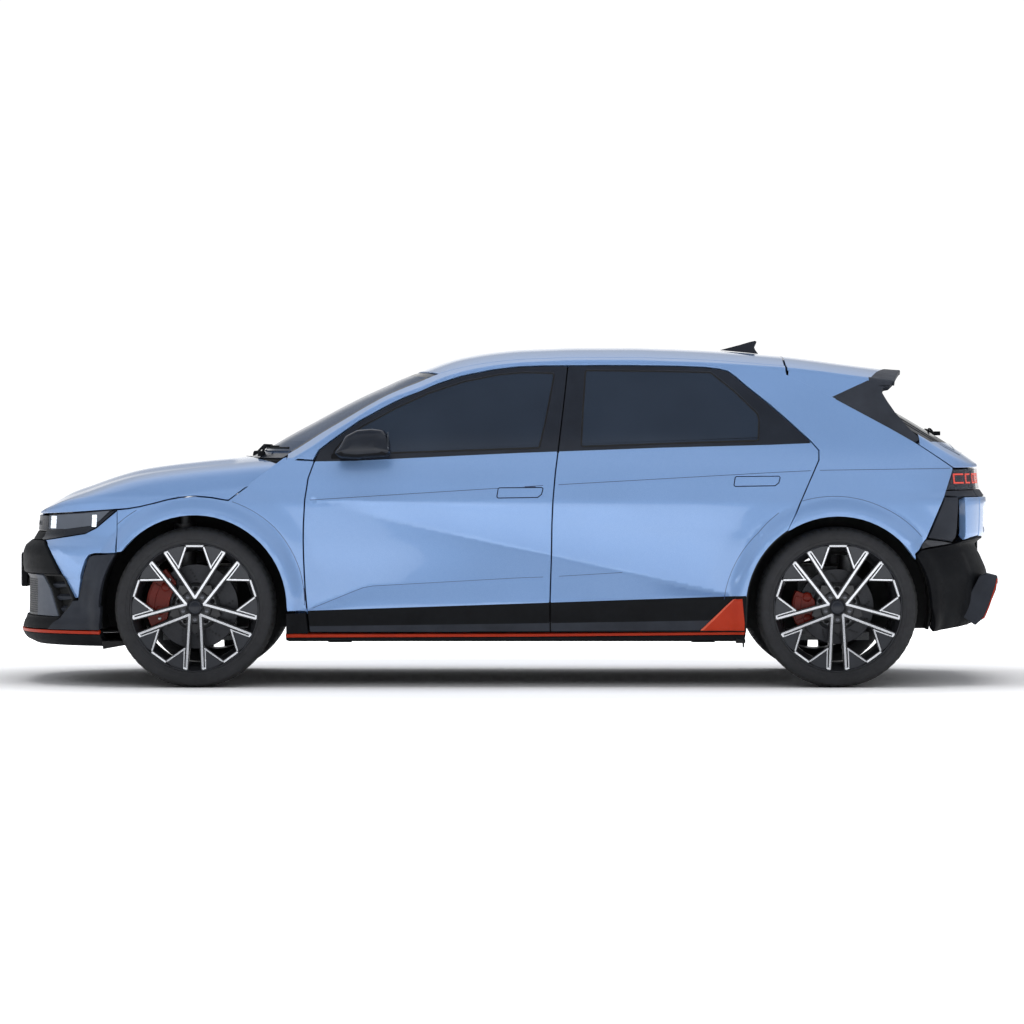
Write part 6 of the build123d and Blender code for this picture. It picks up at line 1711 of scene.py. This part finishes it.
    # caliper, on the side towards the front
    bm = bmesh.new()
    r0, r1 = R - 74, R + 34
    a0, a1 = (128, 204) if R > 190 else (158, 206)
    place_c = place if R > 190 else (lambda u, v, d: place(u, v, d - 5 if d > 20 else d))
    outer = [tuple(polar(r1 - 6 * abs(t) ** 3, (a0 + a1) / 2 + (a1 - a0) / 2 * t)) for t in steps(-1, 1, 15)]
    inner = [tuple(polar(r0 + 22 * abs(t) ** 4, (a0 + a1) / 2 + (a1 - a0) / 2 * t)) for t in steps(1, -1, 15)]
    prism(bm, outer + inner, place_c, 14, 54)
    prism(bm, outer + inner, place_c, -54, -24)
    bridge = [tuple(polar(r1 - 4, a)) for a in steps(a0 + 3, a1 - 3, 12)] + [tuple(polar(R + 6, a)) for a in steps(a1 - 3, a0 + 3, 12)]
    prism(bm, bridge, place_c, -26, 16)
    mid = (a0 + a1) / 2
    rib = [tuple(polar(r1 - 8, mid + t)) for t in steps(-17, 17, 9)] + [tuple(polar(R - 8, mid + t)) for t in steps(17, -17, 9)]
    prism(bm, rib, place_c, 53, 60)
    for t in (-20, 20):
        p = polar(R - 30, mid + t)
        turned(bm, [(0.001, 59), (15, 58.5), (21, 55), (23, 52)], lambda u, v, d, p=p: place_c(p.x + u, p.y + v, d), n=28)
    cal = solid(tag + "_caliper_visual", bm, carrier, [CALIPER_RED_PAINTED_SHADE], bevel=3.5, segments=3, angle=35)
    bm = bmesh.new()
    for t in (a0 + 6, a1 - 6):
        p = polar(R - 22, t)
        turned(bm, [(0.001, 58.5), (5.5, 58.5), (8, 57), (8.4, 52)], lambda u, v, d, p=p: place_c(p.x + u, p.y + v, d), n=14)
    pad = [tuple(polar(R - 6, a)) for a in steps(a0 + 8, a1 - 8, 9)] + [tuple(polar(R - 60, a)) for a in steps(a1 - 8, a0 + 8, 9)]
    prism(bm, pad, place_c, 9, 15, mat=1)
    prism(bm, pad, place_c, -25, -19, mat=1)
    solid(tag + "_caliper_fittings", bm, carrier, [STEEL, UNDER], bevel=0.8)
    return cal


c1 = wheel("front_left", AXLE_F, -1, 198, "front_left_road_wheel", "front_left_carrier", ("front_left_tyre", "front_left_wheel"))
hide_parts("front_left_caliper")
c2 = wheel("front_right", AXLE_F, 1, 198, "front_right_road_wheel", "front_right_carrier", ("front_right_tyre", "front_right_wheel"))
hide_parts("front_right_caliper")
c3 = wheel("rear_left", AXLE_R, -1, 176, "rear_left_road_wheel", "body", ("rear_left_tyre", "rear_left_wheel"))
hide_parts("rear_calipers")
c4 = wheel("rear_right", AXLE_R, 1, 176, "rear_right_road_wheel", "body", ("rear_right_tyre", "rear_right_wheel"))

# ================================================================ sills
z_or0, z_or1 = line([-1054, 43, 1091], [231, 235, 245]), line([-1054, 43, 1091], [247, 249.5, 258.5])
SKIRT_P = [(-1050, 216), (1091, 218), (1091, 243)] + [(x, z_or0(x) - 1) for x in steps(1000, -1000, 12)] + [(-1050, 230)]
sk = patch(side_fn(0, False), SKIRT_P, step=15, gap=0.3, edge=3, depth=30)
so = patch(side_fn(2.5, False), [(x, z_or0(x)) for x in steps(-1050, 1090, 20)] + [(x, z_or1(x)) for x in steps(1090, -1050, 20)], step=14, gap=0.4, edge=2.2, depth=16)
fr_end = patch(SIDE, [(-1050, 249), (-950, 249.6), (-947, 258), (-953, 300), (-958, 350), (-1049, 345)], step=12, gap=0.8, edge=3, depth=30)
piece("side_skirt_covers", merge(sk, fr_end), "body", [CLAD], both=True, hides=["side_skirts"])
piece("side_skirt_orange_lines", so, "body", [ORANGE], both=True)
# zone 1 is a strip of painted highlight along the slanted edge of the flat orange corner
tri_o = patch(side_fn(4.0, True), [(1035, 414.5), (1078, 416.6), (1090.5, 300), (1089.5, 264), (882, 264)], zones=[([(1035, 414.5), (1046, 415), (896, 264), (882, 264)], 1)], step=13, gap=0.6, edge=2.5, depth=8)
pair("rear_LR_orange_corner", tri_o, ("rear_left_door_body", "rear_right_door_body"), [ORANGE, LIT_BEVEL_ORANGE_PAINT])
bm = bmesh.new()
for s in (-1, 1):
    prism(bm, [(-1044, s * 800), (1084, s * 800), (1084, s * 858), (-1044, s * 858)], lambda u, v, d: (u, v, d), 213, 226)
    for x in (-800, 900):
        prism(bm, rounded([(x - 55, s * 850 - 24), (x + 55, s * 850 - 24), (x + 55, s * 850 + 24), (x - 55, s * 850 + 24)], 10), lambda u, v, d: (u, v, d), 209, 213)
for s in (-1, 1):
    prism(bm, [(1052, s * 846), (1096, s * 846), (1096, s * 900), (1052, s * 900)], lambda u, v, d: (u, v, d), 206, 226)
    prism(bm, [(1084, s * 850), (1090, s * 850), (1090, s * 900), (1084, s * 900)], lambda u, v, d: (u, v, d), 186, 210)
solid("sill_undersides", bm, "body", [UNDER], bevel=3)

# ================================================================ door mirrors
MIR = [(-822, 1092), (-792, 1128), (-768, 1174), (-712, 1203), (-640, 1209), (-592, 1203), (-556, 1168), (-536, 1096), (-566, 1080), (-716, 1068), (-796, 1074)]
MIR = rounded(ccw(MIR), 30, n=4)
mc = Vector((sum(p[0] for p in MIR) / len(MIR), sum(p[1] for p in MIR) / len(MIR)))
bm = bmesh.new()
rings = []
for y, k, dx in ((-946, 0.30, 24), (-950, 0.62, 14), (-962, 0.86, 6), (-984, 0.975, 0), (-1012, 1.0, 0), (-1042, 0.965, -3), (-1063, 0.88, -7), (-1075, 0.70, -11), (-1079, 0.42, -14)):
    rings.append([bm.verts.new(Vector((mc.x + (p[0] - mc.x) * k + dx, y, mc.y + (p[1] - mc.y) * k)) * 0.001) for p in MIR])
for a, b in zip(rings, rings[1:]):
    for k in range(len(MIR)):
        j = (k + 1) % len(MIR)
        f = bm.faces.new((a[k], a[j], b[j], b[k]))
        c = f.calc_center_median() * 1000
        f.material_index = 1 if c.z < 1098 else 0
bm.faces.new(rings[0][::-1])
bm.faces.new(rings[-1])
for v in bm.verts:
    if v.co.x > -0.580 and abs(v.co.y) > 0.955:
        v.co.x = -0.580 + (v.co.x + 0.580) * 0.6
ml = solid("left_mirror_shell", bm, "front_left_door_body", [GLOSS, CLAD], angle=60, hides=["front_left_mirror"])
bm = bmesh.new()
prism(bm, rounded([(-800, 1068), (-700, 1064), (-690, 1086), (-792, 1100)], 12), lambda u, v, d: (u + 0.15 * (d + 900), d, v + 6 * smooth((-d - 900) / 60)), -890, -985)
prism(bm, rounded([(-842, 1062), (-690, 1068), (-690, 1080), (-838, 1092)], 8), lambda u, v, d: (u, d, v), -880, -901)
ms = solid("left_mirror_stalk", bm, "front_left_door_body", [CLAD], bevel=5, segments=3)
MIRROR = metal("mirror_glass", lin(120, 126, 134), lin(132, 138, 146), 0.04, 0.07, (5, 5, 5), 0.0)
bm = bmesh.new()
prism(bm, rounded([(-1062, 1092), (-966, 1092), (-966, 1192), (-1058, 1192)], 26), lambda u, v, d: (d, u, v), -572, -568.5)
mg = solid("left_mirror_glass", bm, "front_left_door_body", [MIRROR], bevel=0.8)


def mirrored(ob, name, body, hides=()):
    """The right-hand copy of a left-hand piece."""
    me = ob.data.copy()
    me.name = name
    for v in me.vertices:
        v.co.y = -v.co.y
    me.flip_normals()
    nb = bpy.data.objects.new(name, me)
    bpy.context.scene.collection.objects.link(nb)
    for m in ob.modifiers:
        k = nb.modifiers.new(m.name, m.type)
        for attr in ("width", "segments", "limit_method", "angle_limit", "harden_normals", "levels", "render_levels", "strength", "thickness"):
            if hasattr(m, attr):
                setattr(k, attr, getattr(m, attr))
    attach(nb, body)
    for h in hides:
        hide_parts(h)
    return nb


mirrored(ml, "right_mirror_shell", "front_right_door_body", ["front_right_mirror"])
mirrored(ms, "right_mirror_stalk", "front_right_door_body")
mirrored(mg, "right_mirror_glass", "front_right_door_body")

# ================================================================ cabin


def puff(bm, poly, y0, y1, edge=24.0, crown=5.0, r=24.0, mat=0, at=lambda x, y, z: (x, y, z)):
    """A stuffed form across the car: full in its middle, pulled in to a seam at each end."""
    P = rounded(ccw(poly), r)
    h, yc = (y1 - y0) / 2, (y0 + y1) / 2
    t0 = 1 - min(0.9, edge / h)
    rings = []
    for t in (-1, -0.992, -0.97, -0.93, -0.87, -0.78, -0.6, -0.3, 0, 0.3, 0.6, 0.78, 0.87, 0.93, 0.97, 0.992, 1):
        s = max(0.0, (abs(t) - t0) / (1 - t0))
        d = edge * (1 - sqrt(max(0.0, 1 - s * s))) - crown * (1 - t * t)
        rings.append([bm.verts.new(Vector(at(x, yc + t * h, z)) * 0.001) for x, z in grow(P, -d)])
    for a, b in zip(rings, rings[1:]):
        for k in range(len(P)):
            j = (k + 1) % len(P)
            bm.faces.new((a[k], b[k], b[j], a[j])).material_index = mat
    bm.faces.new(rings[0]).material_index = mat
    bm.faces.new(rings[-1][::-1]).material_index = mat
    return P


def seam(bm, poly, y, r=24.0, mat=0, off=1.0, lo=0.0, dash=9.0, radius=1.3):
    """Stitches round a form, as short raised threads."""
    run = dense(grow(rounded(ccw(poly), r), off), dash)
    for k in range(0, len(run) - 1, 2):
        a, b = run[k], run[k + 1]
        if min(a[1], b[1]) > lo:
            tube(bm, [(a[0], y, a[1]), (b[0], y, b[1])], radius, n=6, mat=mat)


CUSHION = [(-328, 404), (-316, 520), (-286, 578), (-190, 578), (60, 546), (112, 500), (112, 424), (60, 398)]
BACKREST = [(96, 470), (92, 556), (150, 578), (294, 1066), (326, 1100), (392, 1088), (404, 1050), (300, 566), (246, 444), (160, 412)]
HEADREST = [(352, 1160), (360, 1200), (374, 1318), (396, 1334), (428, 1328), (440, 1300), (434, 1196), (422, 1158)]
seats, threads, hard = bmesh.new(), bmesh.new(), bmesh.new()
for s in (-1, 1):
    yc = 390 * s
    puff(seats, CUSHION, yc - 150, yc + 150)
    puff(seats, BACKREST, yc - 138, yc + 138)
    puff(seats, HEADREST, yc - 128, yc + 128, edge=34, r=30)
    for q in (-1, 1):
        a, b = sorted((yc + q * 152, yc + q * 246))
        puff(seats, [(x, z + (16 if z > 500 else 0)) for x, z in CUSHION], a, b, edge=30, mat=1)
        a, b = sorted((yc + q * 140, yc + q * 236))
        puff(seats, [(x - (20 if 560 < z < 1090 and x < 320 else 0), z) for x, z in BACKREST], a, b, edge=30, mat=1)
        seam(threads, CUSHION, yc + q * 151, lo=480)
        seam(threads, BACKREST, yc + q * 139, lo=560)
        tube(hard, [(372, yc + q * 58, 1080), (384, yc + q * 58, 1180)], 7)
    for x in (-210, -110, -10):
        tube(seats, [(x, yc - 138, 573 - 0.12 * (x + 190)), (x, yc, 580 - 0.12 * (x + 190)), (x, yc + 138, 573 - 0.12 * (x + 190))], 2.4, mat=1)
    prism(hard, rounded([(-318, 322), (-308, 404), (232, 412), (206, 322)], 14), lambda u, v, d: (u, d, v), yc - 238, yc + 238)
    prism(hard, rounded([(250, 470), (300, 600), (404, 1040), (396, 1074), (412, 1060), (424, 1040), (316, 560), (268, 440)], 8), lambda u, v, d: (u, d, v), yc - 214, yc + 214)
solid("front_seat_cushions", seats, "body", [SUEDE, LEATHER], angle=60, hides=["front_seats"])
solid("front_seat_shells", hard, "body", [CABIN], bevel=6, segments=3)
B_CUSH = [(642, 334), (624, 556), (654, 606), (1030, 566), (1076, 540), (1052, 372), (1006, 330)]
B_BACK = [(1044, 566), (1104, 590), (1280, 1070), (1300, 1100), (1362, 1084), (1366, 1062), (1216, 652), (1150, 632), (1100, 560)]
B_HEAD = [(1292, 1116), (1318, 1190), (1338, 1202), (1370, 1196), (1374, 1170), (1362, 1108)]
bench = bmesh.new()
for y0, y1 in ((-628, -212), (-208, 208), (212, 628)):
    puff(bench, B_CUSH, y0, y1)
    puff(bench, B_BACK, y0, y1, r=20)
    seam(threads, B_CUSH, y0 + 58, lo=500)
    seam(threads, B_CUSH, y1 - 58, lo=500)
    seam(threads, B_BACK, y0 + 58, lo=600, r=20)
    seam(threads, B_BACK, y1 - 58, lo=600, r=20)
    for f in (0.25, 0.5, 0.75):
        y = y0 + (y1 - y0) * f
        tube(bench, [(690, y, 606), (860, y, 592), (1020, y, 572)], 2.2, mat=1)
for y0, y1 in ((-530, -300), (-96, 96), (300, 530)):
    puff(bench, B_HEAD, y0, y1, edge=28, r=20, mat=1)
solid("rear_bench_cushions", bench, "body", [SUEDE, LEATHER], angle=60, hides=["rear_bench"])
solid("seat_stitches", threads, "body", [THREAD])

# dashboard with its displays and vents
DASH = [(-982, 640), (-982, 925), (-960, 972), (-900, 984), (-800, 986), (-660, 968), (-572, 930), (-556, 900), (-566, 872), (-604, 800), (-660, 700), (-706, 650)]
bm = bmesh.new()
puff(bm, DASH, -712, 712, edge=16, crown=0, r=16)
prism(bm, rounded([(-602, 812), (-566, 868), (-552, 866), (-590, 806)], 3), lambda u, v, d: (u, d, v), -700, 700, mat=1)
for y0 in (-660, -80, 90, 540):
    prism(bm, rounded([(y0, 880), (y0 + 120, 880), (y0 + 120, 916), (y0, 916)], 8), lambda u, v, d: (d + 0.5 * (916 - v) - 12, u, v), -566, -548, mat=2)
    for k in range(3):
        prism(bm, [(y0 + 6, 886 + 10 * k), (y0 + 114, 886 + 10 * k), (y0 + 114, 889 + 10 * k), (y0 + 6, 889 + 10 * k)], lambda u, v, d: (d + 0.5 * (916 - v) - 12, u, v), -550, -544, mat=1)
solid("dashboard_pad", bm, "body", [CABIN, CABIN_MID, GLOSS], bevel=1.5, hides=["dashboard"])
bm = bmesh.new()
prism(bm, rounded([(-488, 924), (148, 924), (148, 1046), (-488, 1046)], 14), lambda u, v, d: (d, u, v), -613, -588)
prism(bm, rounded([(-480, 932), (-176, 932), (-176, 1038), (-480, 1038)], 8), lambda u, v, d: (d, u, v), -588, -586.4, mat=1)
prism(bm, rounded([(-164, 932), (140, 932), (140, 1038), (-164, 1038)], 8), lambda u, v, d: (d, u, v), -588, -586.4, mat=1)
solid("twin_displays", bm, "body", [CABIN, DISPLAY], bevel=1.0)

# console
bm = bmesh.new()
prism(bm, rounded([(-648, 324), (-648, 556), (-420, 594), (-250, 618), (250, 618), (282, 556), (288, 324)], 26), lambda u, v, d: (u, d, v), -106, 106)
for x in (-370, -280):
    turned(bm, [(46, 30), (46, 33), (40, 33), (38, 6), (0.001, 6)], lambda a, b, d, x=x: (x + a, b, 574 + 0.27 * (x + 420) + d), n=40, mat=1)
solid("centre_console_body", bm, "body", [CABIN, GLOSS], bevel=8, segments=3, hides=["centre_console"])
bm = bmesh.new()
puff(bm, [(-190, 612), (-184, 636), (236, 638), (252, 620), (246, 604)], -100, 100, edge=16, crown=2, r=9)
solid("console_armrest", bm, "body", [LEATHER], angle=60)

# steering wheel, in its tilted plane
A = radians(24)
SC = Vector((-420, -390, 905))
ax, up_, rt = Vector((cos(A), 0, sin(A))), Vector((-sin(A), 0, cos(A))), Vector((0, 1, 0))
on_wheel = lambda u, v, d: tuple(SC + rt * u + up_ * v + ax * d)
bm = bmesh.new()
N1, N2 = 72, 14
rings = []
for i in range(N1):
    a = 2 * pi * i / N1
    e = Vector((186 * cos(a), 172 * max(-0.93, sin(a))))
    m = Vector((cos(a), sin(a)))
    rad = 13.5 + 2.0 * exp(-((abs(cos(a)) - 0.85) / 0.15) ** 2)
    rings.append([bm.verts.new(Vector(on_wheel(e.x + m.x * rad * cos(b), e.y + m.y * rad * cos(b), 14 + rad * sin(b))) * 0.001) for b in (2 * pi * k / N2 for k in range(N2))])
for i in range(N1):
    for k in range(N2):
        bm.faces.new((rings[i][k], rings[(i + 1) % N1][k], rings[(i + 1) % N1][(k + 1) % N2], rings[i][(k + 1) % N2]))
for pts in ([(60, 24), (182, 22), (182, -12), (60, -30)], [(-60, 24), (-60, -30), (-182, -12), (-182, 22)], [(-28, -40), (-40, -160), (-18, -166), (-12, -50)], [(28, -40), (12, -50), (18, -166), (40, -160)]):
    prism(bm, rounded(ccw(pts), 6), on_wheel, 6, 22, mat=1)
prism(bm, rounded([(-76, 44), (76, 44), (64, -40), (30, -66), (-30, -66), (-64, -40)], 22), on_wheel, -6, 34, mat=2)
turned(bm, [(0.001, 36.5), (22, 36), (27, 34.6), (28, 33)], on_wheel, n=40, mat=1)
turned(bm, [(30, -60), (34, -58), (34, -4), (44, 0)], on_wheel, n=32, mat=2)
bmesh.ops.recalc_face_normals(bm, faces=bm.faces)
solid("steering_wheel_rim", bm, "steering_wheel_body", [LEATHER, ALLOY_MID, CABIN], bevel=2.0, segments=2, angle=40, hides=["steering_wheel"])

# carpets and load floor
mats_ = patch(lambda x, y: (x, y, 320.0), [(-1000, -690), (620, -690), (620, 690), (-1000, 690)], step=120, edge=2, depth=2)
load = patch(lambda x, y: (x, y, 646.0 + 3 * smooth((abs(y) - 560) / 40)), rounded([(1392, -596), (2090, -596), (2110, -500), (2110, 500), (2090, 596), (1392, 596)], 30), step=60, edge=3, depth=4)
piece("floor_carpets", merge(mats_, load), "body", [CARPET])

# front wipers, lying along the foot of the screen
bm = bmesh.new()
for y0, y1, yp in ((-690, -60, -430), (-40, 560, 120)):
    run = [(-1196 + 200 * (y / 800) ** 2, y, screen(-1196 + 200 * (y / 800) ** 2, y) + 10) for y in steps(y0, y1, 15)]
    tube(bm, run, 5)
    tube(bm, [(x, y, z + 8) for x, y, z in run[3:12]], 3.2)
    m = run[7]
    px_ = -1246 + 200 * (yp / 800) ** 2
    tube(bm, [(px_, yp, screen(px_, yp) + 10), ((px_ + m[0]) / 2, (yp + m[1]) / 2, m[2] + 12), (m[0], m[1], m[2] + 10)], 6.5)
    turned(bm, [(0.001, 22), (14, 20), (18, 12), (20, -4)], lambda a, b, d, px_=px_, yp=yp: (px_ + a, yp + b, screen(px_, yp) + d), n=20)
solid("front_wipers", bm, "body", [CLAD], bevel=0.8)

# ================================================================ carried-over nodes
NODE_FINISH = {
    "floor_pan": UNDER, "battery_pack": PACK, "drive_motors": CAST, "front_suspension": CAST, "rear_suspension": CAST, "rear_knuckles": CAST,
    "front_left_knuckle": CAST, "front_right_knuckle": CAST, "firewall_cowl": UNDER, "wheel_arch_liners": UNDER, "frunk_tub": CARPET,
}
FALLBACK = {"body_paint": PAINT, "dark_trim": CLAD, "gloss_black": GLOSS, "window_glass": GLASS, "lamp_lens": LENS, "red_lens": RED_LENS, "pack_steel": PACK, "cast_alloy": CAST,
            "cabin_plastic": CABIN, "seat_suede": SUEDE, "caliper_paint": CALIPER_RED_PAINTED_SHADE, "tyre_rubber": RUBBER, "wheel_alloy": ALLOY_MID}
slots = {s["node"]: s["material_slot"] for s in frame["record"]["subparts"]}
for name, ob in frame["nodes"].items():
    finish = NODE_FINISH.get(name) or FALLBACK[slots[name]]
    ob.data.materials.clear()
    ob.data.materials.append(finish)
    for p in ob.data.polygons:
        p.material_index = 0
    bev = ob.modifiers.new("edge", "BEVEL")
    bev.width, bev.segments, bev.limit_method, bev.angle_limit = 0.0015, 2, "ANGLE", radians(40)

# ================================================================ floor, light and camera
bm = bmesh.new()
bmesh.ops.create_grid(bm, x_segments=8, y_segments=8, size=60)
me = bpy.data.meshes.new("studio_floor")
bm.to_mesh(me)
bm.free()
floor = bpy.data.objects.new("studio_floor", me)
bpy.context.scene.collection.objects.link(floor)
fm, fnt, fb = shader("studio_floor_paper_painted_glow", Roughness=0.95)
fnt.links.new(ramp(fnt, noise(fnt, 0.8, 2.0), [(0.3, (0.93, 0.93, 0.93)), (0.7, (0.95, 0.95, 0.95))]), fb.inputs["Base Color"])
fb.inputs["Specular IOR Level"].default_value = 0.0
fc = fnt.nodes.new("ShaderNodeTexCoord")
fmap = fnt.nodes.new("ShaderNodeMapping")
fmap.inputs["Scale"].default_value = (1 / 3.6, 1 / 2.4, 1)
fnt.links.new(fc.outputs["Object"], fmap.inputs["Vector"])
fl = fnt.nodes.new("ShaderNodeVectorMath")
fl.operation = "LENGTH"
fnt.links.new(fmap.outputs["Vector"], fl.inputs[0])
# painted light: the floor glows white though it is no lamp; the glow is nil within an ellipse round the car and rises
# to full strength further out, so only the floor near the car shows its own lighting and shadow
fb.inputs["Emission Color"].default_value = (1, 1, 1, 1)
fnt.links.new(span(fnt, fl.outputs["Value"], 0.75, 1.9, 0.0, 1.15), fb.inputs["Emission Strength"])
me.materials.append(fm)

world = bpy.data.worlds.new("studio")
bpy.context.scene.world = world
world.use_nodes = True
wn = world.node_tree
bgn = wn.nodes["Background"]
bgn.inputs["Strength"].default_value = 1.0
tc = wn.nodes.new("ShaderNodeTexCoord")
sp = wn.nodes.new("ShaderNodeSeparateXYZ")
wn.links.new(tc.outputs["Generated"], sp.inputs["Vector"])
sky = wn.nodes.new("ShaderNodeValToRGB")
els = [(0.0, (0.60, 0.60, 0.60, 1)), (0.49, (0.60, 0.60, 0.61, 1)), (0.53, (0.42, 0.43, 0.45, 1)), (0.60, (0.54, 0.55, 0.57, 1)), (0.69, (0.74, 0.75, 0.78, 1)), (0.77, (0.95, 0.97, 1.01, 1)), (0.86, (0.84, 0.86, 0.91, 1)), (0.93, (0.36, 0.37, 0.40, 1)), (1.0, (0.24, 0.25, 0.28, 1))]
while len(sky.color_ramp.elements) < len(els):
    sky.color_ramp.elements.new(0.5)
for e, (p, c) in zip(sky.color_ramp.elements, els):
    e.position, e.color = p, c
mr = wn.nodes.new("ShaderNodeMapRange")
mr.inputs["From Min"].default_value, mr.inputs["From Max"].default_value = -1.0, 1.0
wn.links.new(sp.outputs["Z"], mr.inputs["Value"])
wn.links.new(mr.outputs["Result"], sky.inputs["Fac"])
wall = wn.nodes.new("ShaderNodeMapRange")
wall.interpolation_type = "SMOOTHSTEP"
wall.inputs["From Min"].default_value, wall.inputs["From Max"].default_value = 0.965, 0.992
wn.links.new(sp.outputs["Y"], wall.inputs["Value"])
mixw = wn.nodes.new("ShaderNodeMix")
mixw.data_type = "RGBA"

wn.links.new(wall.outputs["Result"], mixw.inputs["Factor"])
wn.links.new(sky.outputs["Color"], mixw.inputs[6])
mixw.inputs[7].default_value = (1.38, 1.38, 1.38, 1)
wn.links.new(mixw.outputs[2], bgn.inputs["Color"])


def area(name, loc, aim, size, power, colour=(1, 1, 1)):
    d = bpy.data.lights.new(name, "AREA")
    d.shape, d.size, d.size_y, d.energy, d.color = "RECTANGLE", size[0], size[1], power, colour
    o = bpy.data.objects.new(name, d)
    o.location = loc
    o.rotation_euler = (Vector(aim) - Vector(loc)).to_track_quat("-Z", "Y").to_euler()
    o.visible_glossy = False
    bpy.context.scene.collection.objects.link(o)
    return o


area("overhead_softbox", (0.0, 0.0, 9.0), (0, 0, 0.6), (10.0, 7.0), 860)
area("side_fill", (0.0, -16.0, 9.0), (0, 0, 0.8), (18.0, 6.0), 400)

cam = bpy.data.cameras.new("camera")
cam.sensor_width = 36.0
cam.lens = 18.0 / (2.385 / 22.0)
cam.clip_start, cam.clip_end = 0.1, 200
co = bpy.data.objects.new("camera", cam)
co.location = (0.005, -22.955, 1.155)
co.rotation_euler = (Vector((0.005, -0.955, 0.820)) - Vector(co.location)).to_track_quat("-Z", "Y").to_euler()
bpy.context.scene.collection.objects.link(co)
bpy.context.scene.camera = co
bpy.context.scene.view_settings.view_transform = "Standard"
bpy.context.scene.view_settings.exposure = -0.38
